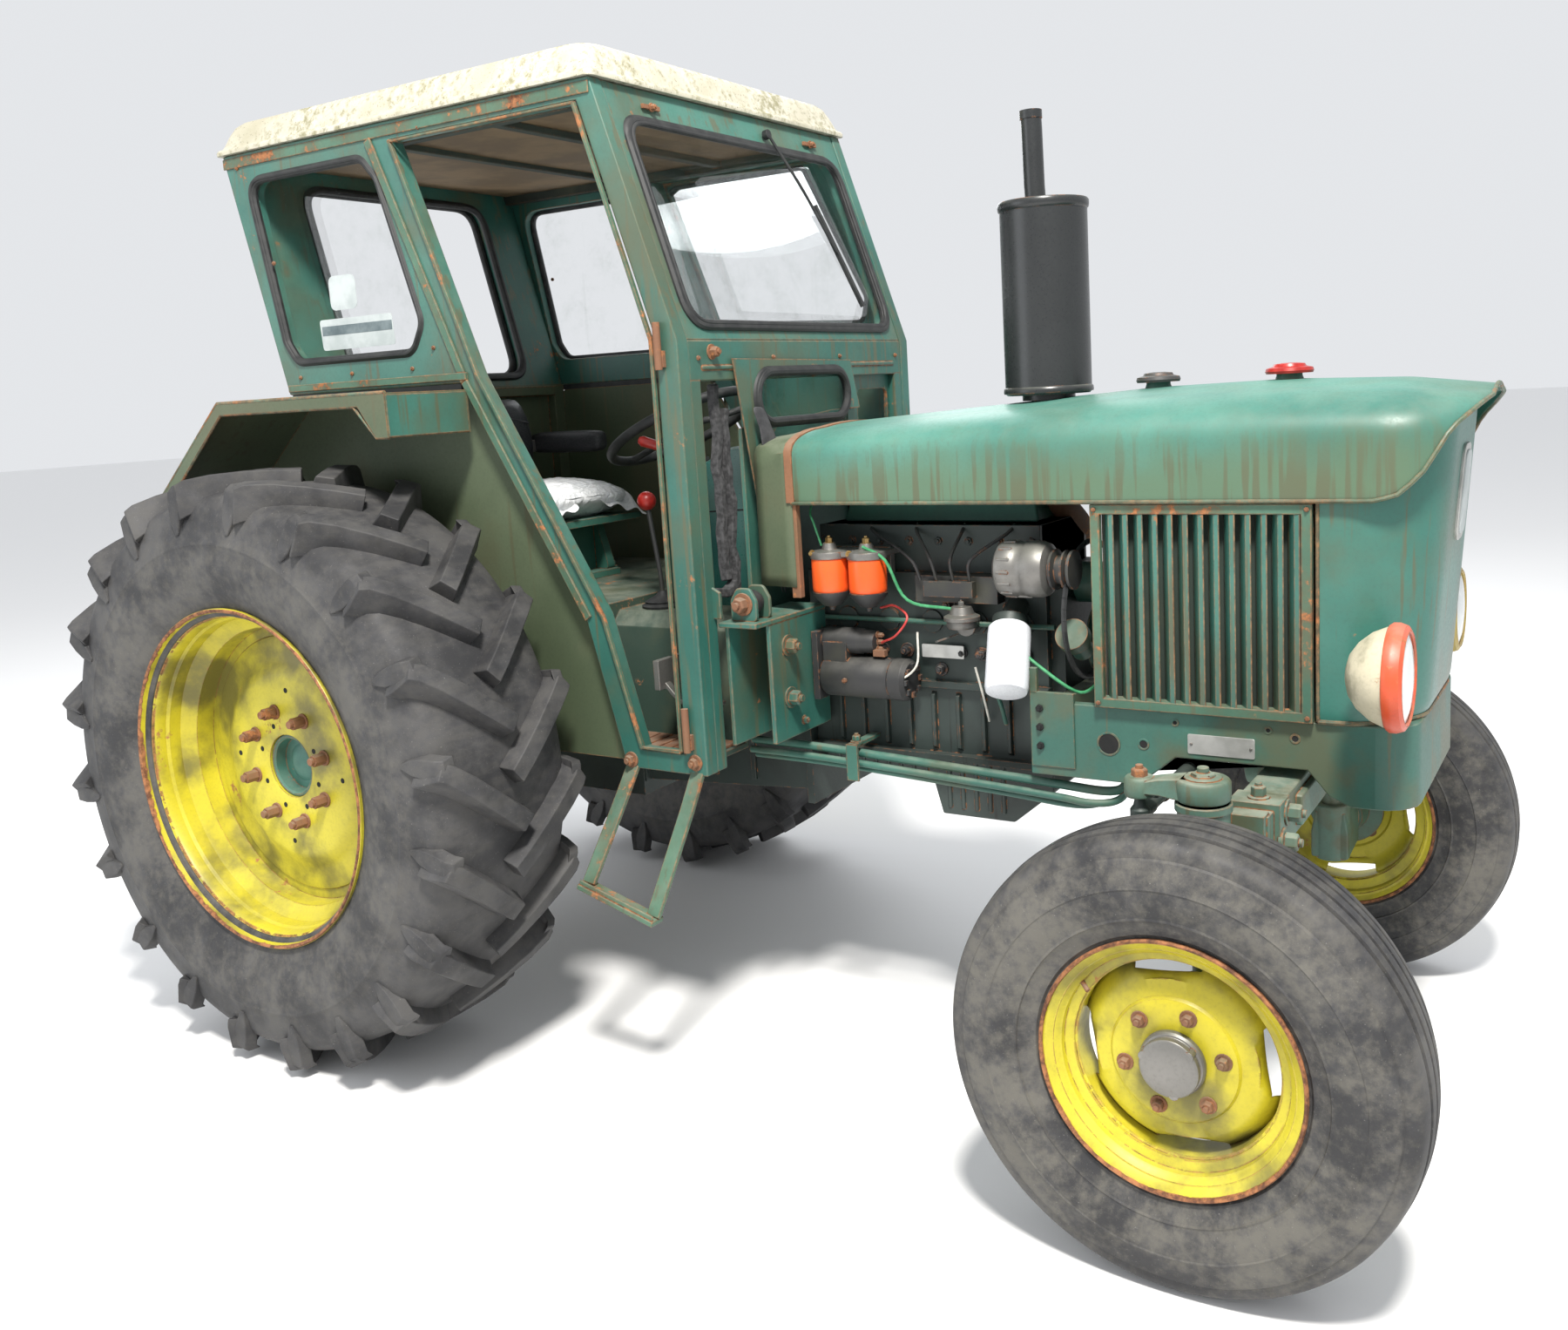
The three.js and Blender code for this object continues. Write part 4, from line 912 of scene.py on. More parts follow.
    @classmethod
    def rim_yellow(cls, centre: Point, radius: float) -> Paint:
        """Yellow wheel paint, rusted round its outer edge."""
        name = f"wheel yellow {centre[0]:.1f} {centre[1]:.1f}"
        return Paint(name, "yellow_paint", (0.44, 0.37, 0.012), (0.56, 0.49, 0.032), 0.42, grime=(0.10, 0.088, 0.026),
                     stain=(6.0, 0.42, 0.66), stain_share=0.85, streak=0.0, rust=0.42, edge=0.36, dust=0.25,
                     ring=(centre, radius, 0.006), dusty=(0.33, 0.3, 0.14))

    @classmethod
    def tyre(cls, centre: Point, band: float, share: float) -> Rubber:
        """Tyre rubber with its dustiest band at a radius."""
        name = f"tyre rubber {centre[0]:.1f} {centre[1]:.1f}"
        return Rubber(name, "tyre", (0.021, 0.021, 0.023), (0.046, 0.046, 0.050), 0.58, centre=centre,
                      clean_radius=band,
                      dust_share=share)

    @classmethod
    def floor(cls) -> bpy.types.Material:
        """The pale floor."""
        made, _, shader = Finish("floor", "", (0.9, 0.9, 0.9), (0.9, 0.9, 0.9), 0.8).begin()
        shader.inputs["Base Color"].default_value = (0.86, 0.86, 0.86, 1.0)
        return made


# ---------------------------------------------------------------- what every sub-assembly can do
@dataclass
class SubAssembly:
    """A group of pieces that are built and dressed together."""

    def build(self) -> None:
        """Builds the pieces."""
        raise NotImplementedError

    def dress(self, piece: bpy.types.Object, finish: Finish) -> bpy.types.Object:
        """Gives a piece its material."""
        piece.data.materials.clear()
        piece.data.materials.append(Finishes.of(finish))
        return piece

    def publish(self, forge: Forge, name: str, body: str, finish: Finish, bevel: float = 0.0,
                replaces: Sequence[str] = (), subdivide: int = 0, thickness: float = 0.0,
                angle: float = 34.0) -> bpy.types.Object:
        """Turns a forge into a dressed piece on a body.

        Args:
            forge: the mesh.
            name: the piece's name.
            body: the body it moves with.
            finish: its finish.
            bevel: the rounding of its edges.
            replaces: the frame's nodes that it stands for.
            subdivide: subdivision-surface levels.
            thickness: the sheet thickness given to an open surface.
            angle: edges sharper than this many degrees stay crisp.

        Returns:
            The piece.
        """
        piece = forge.to_object(name, shift=True)
        if thickness:
            skin = piece.modifiers.new("sheet", "SOLIDIFY")
            skin.thickness, skin.offset = thickness, -1.0
        if bevel:
            edge = piece.modifiers.new("edges", "BEVEL")
            edge.width, edge.segments, edge.limit_method = bevel, 2, "ANGLE"
            edge.angle_limit = math.radians(angle)
            edge.use_clamp_overlap = True
            edge.harden_normals = True
        if subdivide:
            smooth = piece.modifiers.new("smooth", "SUBSURF")
            smooth.levels = smooth.render_levels = subdivide
        piece.data.polygons.foreach_set("use_smooth", [True] * len(piece.data.polygons))
        piece.data.set_sharp_from_angle(angle=math.radians(angle))
        self.dress(piece, finish)
        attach(piece, body)
        if replaces:
            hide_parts(*replaces)
        LOG.info("%s: %d faces", name, len(piece.data.polygons))
        return piece

    def plump(self, piece: bpy.types.Object, voxel: float, cap: float,
              after: Optional[Callable[[Vector], Vector]] = None) -> None:
        """Lets cloth swell a padded piece, holding each point near where it began.

        Args:
            piece: a closed piece, already published.
            voxel: the size of its new, even faces.
            cap: the furthest that a point may move.
            after: a last change of shape, such as creases, in the tractor's own frame.
        """
        shift = Vector((ORIGIN_SHIFT, 0, 0))
        piece.modifiers.clear()
        even = piece.modifiers.new("even", "REMESH")
        even.mode, even.voxel_size = "VOXEL", voxel
        piece.data = bpy.data.meshes.new_from_object(piece.evaluated_get(bpy.context.evaluated_depsgraph_get()))
        piece.modifiers.clear()
        start = [v.co.copy() for v in piece.data.vertices]
        cloth = piece.modifiers.new("padding", "CLOTH")
        cloth.settings.use_pressure = True
        cloth.settings.uniform_pressure_force = 4.0
        cloth.settings.effector_weights.gravity = 0.0
        cloth.point_cache.frame_start, cloth.point_cache.frame_end = 1, 20
        for frame_number in range(1, 21):
            bpy.context.scene.frame_set(frame_number)
        swollen = piece.evaluated_get(bpy.context.evaluated_depsgraph_get()).data
        moves = [v.co - begin for v, begin in zip(swollen.vertices, start)]
        piece.modifiers.clear()
        for vertex, begin, move in zip(piece.data.vertices, start, moves):
            vertex.co = begin + (move if move.length <= cap else move.normalized() * cap)
        bpy.context.scene.frame_set(1)
        LOG.info("%s: swollen, furthest move %.4f m", piece.name, max(move.length for move in moves))
        if after:
            for vertex in piece.data.vertices:
                vertex.co = after(vertex.co - shift) + shift
        piece.data.polygons.foreach_set("use_smooth", [True] * len(piece.data.polygons))
        if not piece.modifiers:
            smooth = piece.modifiers.new("smooth", "SUBSURF")
            smooth.levels = smooth.render_levels = 1

    def refine(self, node: str, body: str, finish: Finish, bevel: float = 0.003) -> bpy.types.Object:
        """Stands a round-edged copy in for a node whose shape is right but whose edges are sharp."""
        forge = Forge()
        forge.mesh.from_mesh(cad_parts[node].data)
        bmesh.ops.remove_doubles(forge.mesh, verts=forge.mesh.verts, dist=1e-5)
        bmesh.ops.dissolve_limit(forge.mesh, angle_limit=math.radians(1.0), verts=forge.mesh.verts,
                                 edges=forge.mesh.edges)
        bmesh.ops.translate(forge.mesh, vec=(-ORIGIN_SHIFT, 0, 0), verts=forge.mesh.verts)
        return self.publish(forge, f"{node}_finished", body, finish, bevel, [node])


# ---------------------------------------------------------------- wheels
@dataclass
class RearWheel(SubAssembly):
    """A driven wheel: lugged tyre, deep rim with its bolted disc, and the axle hub."""

    side: Side
    radius: float = 0.72
    track: float = 0.76
    lugs: int = 20
    studs: int = 8

    @property
    def centre(self) -> tuple[float, float, float]:
        """The wheel's middle."""
        return (0.0, self.side.value * self.track, self.radius)

    @property
    def body(self) -> str:
        """The body it turns with."""
        return f"rear_wheel_{self.side.word}"

    def tyre_section(self) -> list[tuple[float, float]]:
        """Half of the tyre's section as (radius, distance from its middle)."""
        return [(0.388, 0.150), (0.388, 0.172), (0.402, 0.180), (0.413, 0.181), (0.418, 0.184), (0.423, 0.185),
                (0.430, 0.190), (0.436, 0.191), (0.445, 0.197), (0.451, 0.198), (0.470, 0.205), (0.500, 0.2115),
                (0.530, 0.2135), (0.556, 0.2125), (0.562, 0.2145), (0.570, 0.2105), (0.600, 0.206), (0.632, 0.199),
                (0.652, 0.189), (0.665, 0.172), (0.673, 0.14), (0.679, 0.09), (0.682, 0.04), (0.683, 0.0)]

    def lug_path(self, start: float, half: int) -> list[tuple[float, float, float, float]]:
        """One lug as (angle, distance from the middle, base radius, top radius), middle of the tread first.

        Args:
            start: the angle of its shoulder end.
            half: 1 or -1 for the half of the tread it is on.

        Returns:
            The stations along the lug.
        """
        top = self.radius - 0.001
        spots = [(0.262, -0.012, 0.676, top), (0.215, 0.03, 0.676, top), (0.150, 0.085, 0.672, top - 0.001),
                 (0.085, 0.14, 0.666, top - 0.003), (0.035, 0.185, 0.648, top - 0.009), (0.018, 0.204, 0.640, 0.700)]
        return [(start + a, half * y, low, high) for a, y, low, high in spots]

    def build_tyre(self) -> None:
        """The carcass with its lugs, and the buttress under each shoulder end."""
        forge = Forge()
        half = self.tyre_section()
        section = half + [(r, -y) for r, y in reversed(half[:-1])]

        def mould_lines(step: int, radius: float, along: float) -> tuple[float, float]:
            """Fine radial lines moulded in the side wall."""
            raised = 0.0012 if step % 4 == 0 and 0.44 < radius < 0.556 else 0.0
            return radius, along + math.copysign(raised, along)

        forge.lathe(section, (0, 0, 0), segments=288, wobble=mould_lines)
        for half_sign in (1, -1):
            for i in range(self.lugs):
                start = TURN * (i + (0.5 if half_sign < 0 else 0.0)) / self.lugs
                self.add_lug(forge, start, half_sign)
        forge.warp(lambda p: p + Vector(self.centre))
        finish = Finishes.tyre(tuple(Vector(self.centre) + Vector((ORIGIN_SHIFT, 0, 0))), 0.46, 0.22)
        self.publish(forge, f"rear_tyre_lugged_{self.side.word}", self.body, finish, 0.003,
                     [f"rear_tyre_{self.side.word}"], angle=38)

    def add_lug(self, forge: Forge, start: float, half: int) -> None:
        """Adds one lug: a bar with sloping flanks, and its wedge down the shoulder."""
        def spot(angle: float, along: float, radius: float) -> Vector:
            """A point at an angle that grows as the wheel rolls forwards."""
            return Vector((radius * math.sin(angle), along, radius * math.cos(angle)))

        stations = self.lug_path(start, half)
        rings = []
        for k, (angle, along, low, high) in enumerate(stations):
            before, after = stations[max(k - 1, 0)], stations[min(k + 1, len(stations) - 1)]
            run, rise = (after[0] - before[0]) * self.radius, after[1] - before[1]
            length = math.hypot(run, rise)
            side_angle, side_along = -rise / length / self.radius, run / length
            foot, crest = 0.033, 0.021
            ring = []
            for width, radius in ((-foot, low - 0.02), (-foot, low + 0.004), (-crest, high), (crest, high),
                                  (foot, low + 0.004), (foot, low - 0.02)):
                ring.append(spot(angle + side_angle * width, along + side_along * width, radius))
            rings.append(ring)
        forge.loft(rings)
        wedge = []
        for radius, along, width in ((0.704, 0.196, 0.021), (0.69, 0.209, 0.023), (0.655, 0.2115, 0.024),
                                     (0.62, 0.2125, 0.02), (0.588, 0.212, 0.006)):
            angle = start + 0.018 - (0.704 - radius) * 0.25
            turn = width / self.radius
            inner = along - 0.03
            wedge.append([spot(angle - turn * 1.3, half * inner, radius), spot(angle - turn, half * along, radius),
                          spot(angle + turn, half * along, radius), spot(angle + turn * 1.3, half * inner, radius)])
        forge.loft(wedge)

    def build_rim(self) -> None:
        """The rolled flange, stepped barrel and dished disc in one pressing."""
        outside = [(0.398, 0.176), (0.400, 0.190), (0.406, 0.193), (0.4095, 0.188), (0.409, 0.178), (0.4015, 0.172),
                   (0.386, 0.166), (0.386, 0.10), (0.372, 0.085), (0.352, 0.07), (0.352, -0.07), (0.372, -0.085),
                   (0.386, -0.10), (0.386, -0.166), (0.4015, -0.172), (0.409, -0.178), (0.4095, -0.188),
                   (0.406, -0.193), (0.400, -0.190), (0.398, -0.176)]
        inside = [(0.380, -0.160), (0.380, -0.104), (0.366, -0.090), (0.345, -0.074), (0.345, 0.012), (0.335, 0.016),
                  (0.318, 0.020), (0.318, 0.030), (0.342, 0.030), (0.345, 0.045), (0.345, 0.074), (0.366, 0.090),
                  (0.3745, 0.100), (0.376, 0.128), (0.381, 0.135), (0.382, 0.158), (0.388, 0.168)]
        disc = [(0.078, 0.058), (0.084, 0.060), (0.218, 0.060), (0.232, 0.056), (0.25, 0.046), (0.268, 0.039),
                (0.30, 0.037), (0.316, 0.034), (0.322, 0.026), (0.322, 0.016), (0.30, 0.028), (0.266, 0.030),
                (0.246, 0.036), (0.224, 0.047), (0.212, 0.050), (0.078, 0.050)]
        forge = Forge()
        forge.lathe(outside + inside, self.centre, segments=120, sign=self.side.value)
        forge.lathe(disc, self.centre, segments=120, sign=self.side.value)
        shifted = (ORIGIN_SHIFT, self.centre[1], self.centre[2])
        self.publish(forge, f"rear_rim_dished_{self.side.word}", self.body, Finishes.rim_yellow(shifted, 0.404), 0.0,
                     [f"rear_rim_{self.side.word}"], angle=30)

    def build_fastenings(self) -> None:
        """Rusty studs with long nuts, the spare holes, and the hub seen through the middle."""
        face = self.side.value * (self.track + 0.060)
        out = (0, self.side.value, 0)
        studs, holes, hub = Forge(), Forge(), Forge()
        for i in range(self.studs):
            angle = TURN * (i + 0.32) / self.studs
            x, z = 0.137 * math.cos(angle), self.radius + 0.137 * math.sin(angle)
            foot = Vector((x, face, z))
            tip = foot + Vector(out) * 0.034
            studs.tube([foot - Vector(out) * 0.01, foot + Vector(out) * 0.004], 0.019, 16)
            studs.tube([foot, tip], 0.0145, 6)
            studs.tube([tip - Vector(out) * 0.004, tip + Vector(out) * 0.008], 0.0095, 12)
            for reach, turn in ((0.106, 0.2), (0.19, 0.45)):
                if i % 2 or reach < 0.15:
                    a = angle + turn
                    spot = Vector((reach * math.cos(a), face, self.radius + reach * math.sin(a)))
                    holes.tube([spot - Vector(out) * 0.003, spot + Vector(out) * 0.0006], 0.0065, 14)
        hub.lathe([(0.0, 0.004), (0.05, 0.004), (0.055, 0.012), (0.0765, 0.014), (0.0765, 0.053), (0.071, 0.055),
                   (0.066, 0.05), (0.064, 0.024), (0.03, 0.02), (0.026, 0.03), (0.0, 0.03)], self.centre,
                  segments=48, sign=self.side.value)
        hub.lathe([(0.0, 0.046), (0.0, -0.1), (0.05, -0.1), (0.052, 0.018), (0.168, 0.022), (0.168, 0.046),
                   (0.07, 0.046),
                   (0.068, 0.01)], self.centre, segments=48, sign=self.side.value)
        word = self.side.word
        self.publish(studs, f"rear_wheel_studs_{word}", self.body, Finishes.RUSTED, 0.0012)
        self.publish(holes, f"rear_disc_holes_{word}", self.body, Finishes.HOLE)
        self.publish(hub, f"rear_hub_cavity_{word}", self.body, Finishes.DEEP, 0.0, [f"rear_hub_{word}"])

    def build(self) -> None:
        """Builds the wheel."""
        self.build_tyre()
        self.build_rim()
        self.build_fastenings()


@dataclass
class FrontWheel(SubAssembly):
    """A steered wheel: ribbed tyre, rim with its slotted disc, hub cap and studs."""

    side: Side
    wheelbase: float = 2.145
    radius: float = 0.405
    track: float = 0.70
    slots: int = 4
    slot_half: float = 0.36
    steps: int = 144

    @property
    def centre(self) -> tuple[float, float, float]:
        """The wheel's middle."""
        return (self.wheelbase, self.side.value * self.track, self.radius)

    @property
    def body(self) -> str:
        """The body it turns with."""
        return f"front_wheel_{self.side.word}"

    def build_tyre(self) -> None:
        """The tyre with circumferential ribs and grooves."""
        side_wall = [(0.206, 0.05), (0.206, 0.062), (0.222, 0.068), (0.230, 0.069), (0.234, 0.074), (0.240, 0.075),
                     (0.262, 0.088), (0.264, 0.0915), (0.268, 0.0905), (0.286, 0.097), (0.305, 0.1005),
                     (0.318, 0.1005),
                     (0.3205, 0.1022), (0.324, 0.1002), (0.342, 0.0975), (0.360, 0.0935), (0.366, 0.0915),
                     (0.369, 0.0875),
                     (0.378, 0.0862), (0.386, 0.0835), (0.3925, 0.0775), (0.3955, 0.070)]
        ribs = [(0.3995, 0.053), (0.3995, 0.050), (0.390, 0.0475), (0.390, 0.0415), (0.4015, 0.039), (0.4035, 0.026),
                (0.4035, 0.0195), (0.392, 0.0175), (0.392, 0.0125), (0.404, 0.0105), (0.405, 0.0)]
        half = side_wall + ribs
        forge = Forge()
        forge.lathe(half + [(r, -y) for r, y in reversed(half[:-1])], self.centre, segments=192)
        centre = tuple(Vector(self.centre) + Vector((ORIGIN_SHIFT, 0, 0)))
        self.publish(forge, f"front_tyre_ribbed_{self.side.word}", self.body, Finishes.tyre(centre, 0.28, 0.42), 0.0,
                     [f"front_tyre_{self.side.word}"], angle=28)

    def build_rim(self) -> None:
        """The rim's barrel, and the disc with a crescent slot between them at each quarter."""
        barrel = [(0.219, 0.073), (0.221, 0.079), (0.225, 0.081), (0.2275, 0.077), (0.226, 0.069), (0.207, 0.062),
                  (0.205, 0.045), (0.19, 0.038), (0.180, 0.034), (0.180, -0.034), (0.19, -0.038), (0.205, -0.045),
                  (0.207, -0.062), (0.226, -0.069), (0.2275, -0.077), (0.225, -0.081), (0.221, -0.079),
                  (0.219, -0.073),
                  (0.200, -0.058), (0.198, -0.045), (0.184, -0.034), (0.174, -0.028), (0.174, 0.028), (0.184, 0.034),
                  (0.192, 0.040), (0.1945, 0.052), (0.199, 0.056), (0.203, 0.062)]
        forge = Forge()
        forge.lathe(barrel, self.centre, segments=self.steps, sign=self.side.value)
        face = [(0.050, 0.038), (0.054, 0.040), (0.100, 0.040), (0.108, 0.037), (0.112, 0.032), (0.118, 0.030),
                (0.140, 0.027), (0.152, 0.021), (0.160, 0.012), (0.166, 0.002), (0.176, -0.008)]
        rows = []
        for radius, along in face:
            row = []
            for step in range(self.steps):
                angle = TURN * step / self.steps
                row.append(self.disc_point(radius, along, angle))
            rows.append(row)
        made = [forge.points(row) for row in rows]
        for k, (low, high) in enumerate(zip(made, made[1:])):
            for i in range(self.steps):
                angle = TURN * (i + 0.5) / self.steps
                if k >= len(face) - 3 and self.slot_depth(angle) > 0:
                    continue
                j = (i + 1) % self.steps
                forge.face([low[i], low[j], high[j], high[i]])
        shifted = (self.wheelbase + ORIGIN_SHIFT, self.centre[1], self.centre[2])
        finish = Finishes.rim_yellow(shifted, 0.224)
        self.publish(forge, f"front_rim_slotted_{self.side.word}", self.body, finish, 0.0,
                     [f"front_rim_{self.side.word}"], angle=30, thickness=0.003)

    def slot_depth(self, angle: float) -> float:
        """How deep the crescent is at an angle, from 0 at its tips to 1 in its middle."""
        pitch = TURN / self.slots
        off = abs((angle - 0.12 + pitch / 2) % pitch - pitch / 2)
        return max(0.0, 1 - (off / self.slot_half) ** 2)

    def disc_point(self, radius: float, along: float, angle: float) -> Vector:
        """A point of the disc, drawn in where a slot bites into its edge."""
        if radius > 0.15:
            radius -= 0.012 * self.slot_depth(angle)
        offset = Vector((radius * math.cos(angle), along * self.side.value, radius * math.sin(angle)))
        return Vector(self.centre) + offset

    def build_hub(self) -> None:
        """The hub barrel with its bolted grease cap, wheel studs, and the valve."""
        out = Vector((0, self.side.value, 0))
        middle = Vector(self.centre)
        hub, cap, studs = Forge(), Forge(), Forge()
        hub.lathe([(0.0, 0.030), (0.092, 0.0285), (0.092, 0.016), (0.058, 0.012), (0.052, -0.046), (0.0, -0.046)],
                  self.centre, segments=48, sign=self.side.value)
        cap.lathe([(0.0, 0.036), (0.056, 0.036), (0.0565, 0.048), (0.053, 0.053), (0.050, 0.054), (0.049, 0.058),
                   (0.051, 0.060), (0.051, 0.068), (0.047, 0.071), (0.020, 0.073), (0.0, 0.0735)], self.centre,
                   segments=48,
                  sign=self.side.value)
        for i in range(6):
            angle = TURN * (i + 0.2) / 6
            spot = middle + Vector((math.cos(angle), 0, math.sin(angle))) * 0.086 + out * 0.040
            studs.bolt(spot, out, 0.021, washer=True, reach=0.6)
            if i % 2 == 0:
                spot = middle + Vector((math.cos(angle + 0.5), 0, math.sin(angle + 0.5))) * 0.045 + out * 0.058
                cap.tube([spot - out * 0.006, spot + out * 0.013], 0.009, 10)
        valve = middle + Vector((math.cos(2.5), 0, math.sin(2.5))) * 0.198 + out * 0.045
        studs.tube([valve, valve + out * 0.012 - (valve - middle - out * 0.045).normalized() * 0.022], 0.0045, 10)
        word = self.side.word
        self.publish(hub, f"front_hub_barrel_{word}", self.body, Finishes.AXLE, 0.0, [f"front_hub_{word}"])
        self.publish(cap, f"front_hub_cap_{word}", self.body, Finishes.STEEL, 0.0012)
        self.publish(studs, f"front_wheel_studs_{word}", self.body, Finishes.RUSTED, 0.0008)

    def build(self) -> None:
        """Builds the wheel."""
        self.build_tyre()
        self.build_rim()
        self.build_hub()


# ---------------------------------------------------------------- bonnet, nose and grilles
def lerp_table(table: Sequence[Point], where: float) -> float:
    """The value at a place in a table of (place, value)."""
    for (x0, v0), (x1, v1) in zip(table, table[1:]):
        if where <= x1:
            return v0 + (v1 - v0) * max(0.0, where - x0) / (x1 - x0)
    return table[-1][1]


@dataclass
class Bonnet(SubAssembly):
    """The long bonnet with its swept lip, the silencer, caps, and the cowl behind it."""

    rear: float = 1.150
    front: float = 2.552
    base: float = 1.300
    half: float = 0.292
    shoulder: float = 1.416
    top: float = 1.520
    corner: float = 0.17
    columns: int = 44
    crown: tuple[Point, ...] = ((1.10, -0.052), (1.43, -0.032), (1.90, -0.004), (2.172, 0.0), (2.40, -0.008),
                                (2.60, -0.034))
    foot: tuple[Point, ...] = ((1.0, 1.300), (2.385, 1.300), (2.425, 1.312), (2.462, 1.352), (2.500, 1.422),
                               (2.552, 1.474))

    def section(self, x: float, inset: float = 0.0) -> list[tuple[float, float]]:
        """The full right half of the section from lower edge to crown, as (distance from the middle, height)."""
        peak = self.top + lerp_table(self.crown, x) - inset
        scale = (peak - self.shoulder) / (self.top - self.shoulder)
        side = self.half - inset
        points = [(side, 1.10), (side, self.shoulder)]
        for i in range(1, 13):
            t = i / 12 * math.pi / 2
            points.append((side - 0.150 * (1 - math.cos(t)), self.shoulder + 0.088 * math.sin(t) * scale))
        for i in range(1, 7):
            s = i / 6
            y = (side - 0.150) * (1 - s)
            points.append((y, self.shoulder + (0.088 + 0.016 * (1 - (1 - s) ** 2)) * scale))
        return points

    def ring(self, x: float, base: Optional[float] = None, inset: float = 0.0) -> list[Vector]:
        """The section at x above its lower edge, as evenly spaced points from right to left."""
        low = lerp_table(self.foot, x) if base is None else base
        line = self.section(x, inset)
        narrow = 1.0
        start = self.front - self.corner
        if x > start:
            t = min(1.0, (x - start) / self.corner)
            narrow = (self.half - self.corner + self.corner * math.sqrt(1 - t * t)) / self.half
        kept: list[tuple[float, float]] = []
        for (y0, z0), (y1, z1) in zip(line, line[1:]):
            if z1 <= low:
                continue
            if not kept:
                t = (low - z0) / (z1 - z0) if z0 < low else 0.0
                kept.append((y0 + (y1 - y0) * t, z0 + (z1 - z0) * t))
            kept.append((y1, z1))
        half = self.resample([(y * narrow, z) for y, z in kept], self.columns // 2)
        right = [Vector((x, -y, z)) for y, z in half]
        return right + [Vector((x, -p.y, p.z)) for p in reversed(right[:-1])]

    @staticmethod
    def resample(line: Sequence[Point], count: int) -> list[tuple[float, float]]:
        """Spaces points evenly along a flat line."""
        lengths = [0.0]
        for (a, b), (c, d) in zip(line, line[1:]):
            lengths.append(lengths[-1] + math.hypot(c - a, d - b))
        made = []
        for i in range(count + 1):
            goal = lengths[-1] * i / count
            k = next((k for k in range(1, len(lengths)) if lengths[k] >= goal - 1e-9), len(lengths) - 1)
            span = lengths[k] - lengths[k - 1] or 1.0
            t = (goal - lengths[k - 1]) / span
            (a, b), (c, d) = line[k - 1], line[k]
            made.append((a + (c - a) * t, b + (d - b) * t))
        return made

    def build_shell(self) -> None:
        """The pressed shell, with a bead along its lower edge and lip."""
        stations = [self.rear + (2.38 - self.rear) * i / 24 for i in range(25)]
        stations += [2.40, 2.42, 2.44, 2.46, 2.48, 2.495, 2.508, 2.52, 2.53, 2.538, 2.545, 2.5495, 2.5515]
        rows = [self.ring(x) for x in stations]
        shell = Forge().sheet(rows)
        self.publish(shell, "bonnet_shell", "chassis", Finishes.BONNET, 0.0, ["bonnet"], subdivide=1, thickness=0.004)
        edge = [row[0] for row in rows] + rows[-1][1:-1] + [row[-1] for row in reversed(rows)]
        bead = Forge().tube([p + Vector((0, 0, 0.001)) for p in edge], 0.0042, 8)
        self.publish(bead, "bonnet_edge_bead", "chassis", Finishes.BONNET_SIDE)

    def build_rear_band(self) -> None:
        """The rusty band at the bonnet's rear edge, with a post under it, and the cowl that meets the cab."""
        band = Forge().strap(self.ring(1.147, 1.302), 0.02, 0.005, (1, 0, 0))
        post = Forge().box((1.135, -0.288, 1.085), (1.158, -0.270, 1.302)).both()
        self.publish(band, "bonnet_rear_band", "chassis", Finishes.RUSTED, 0.0008)
        self.publish(post, "bonnet_rear_posts", "chassis", Finishes.RUSTED, 0.002)
        rows = [self.ring(1.046 + 0.1035 * i / 4, 1.11, 0.001 + 0.012 * (1 - i / 4)) for i in range(5)]
        for row in rows:
            for point in row:
                point.z = min(point.z, 1.462)
        self.publish(Forge().sheet(rows), "scuttle_cowl_sheet", "chassis", Finishes.OLIVE, 0.0, ["scuttle_cowl"],
                     thickness=0.005)

    def build_silencer(self) -> None:
        """Drum with rolled seams, stack with its rim, and the pipe below."""
        x = 1.655
        drum = [(0.0, 1.512), (0.090, 1.512), (0.094, 1.516), (0.0975, 1.516), (0.0985, 1.520), (0.0975, 1.527),
                (0.0945, 1.530), (0.0945, 1.905), (0.0975, 1.908), (0.0985, 1.914), (0.0985, 1.922), (0.0955, 1.926),
                (0.091, 1.924), (0.086, 1.918), (0.03, 1.930), (0.0, 1.931)]
        forge = Forge().lathe(drum, (x, 0, 0), Axis.Z, 72)
        forge.tube([(x - 0.016, 0, 1.925), (x - 0.018, 0, 1.96), (x - 0.020, 0, 2.08), (x - 0.0215, 0, 2.117)],
                   0.0225, 28)
        forge.tube([(x - 0.016, 0, 1.924), (x - 0.0165, 0, 1.934)], 0.033, 28)
        forge.tube([(x - 0.0212, 0, 2.100), (x - 0.0215, 0, 2.1175)], 0.0245, 28)
        forge.tube([(x, 0, 1.33), (x, 0, 1.516)], 0.038, 28)
        forge.tube([(x, 0, 1.500), (x, 0, 1.5135)], 0.058, 28)
        self.publish(forge, "silencer_drum", "chassis", Finishes.BLACK, 0.0, ["silencer"], angle=40)
        mouth = Forge().tube([(x - 0.0214, 0, 2.112), (x - 0.0215, 0, 2.1182)], 0.0195, 24)
        self.publish(mouth, "silencer_mouth", "chassis", Finishes.HOLE)

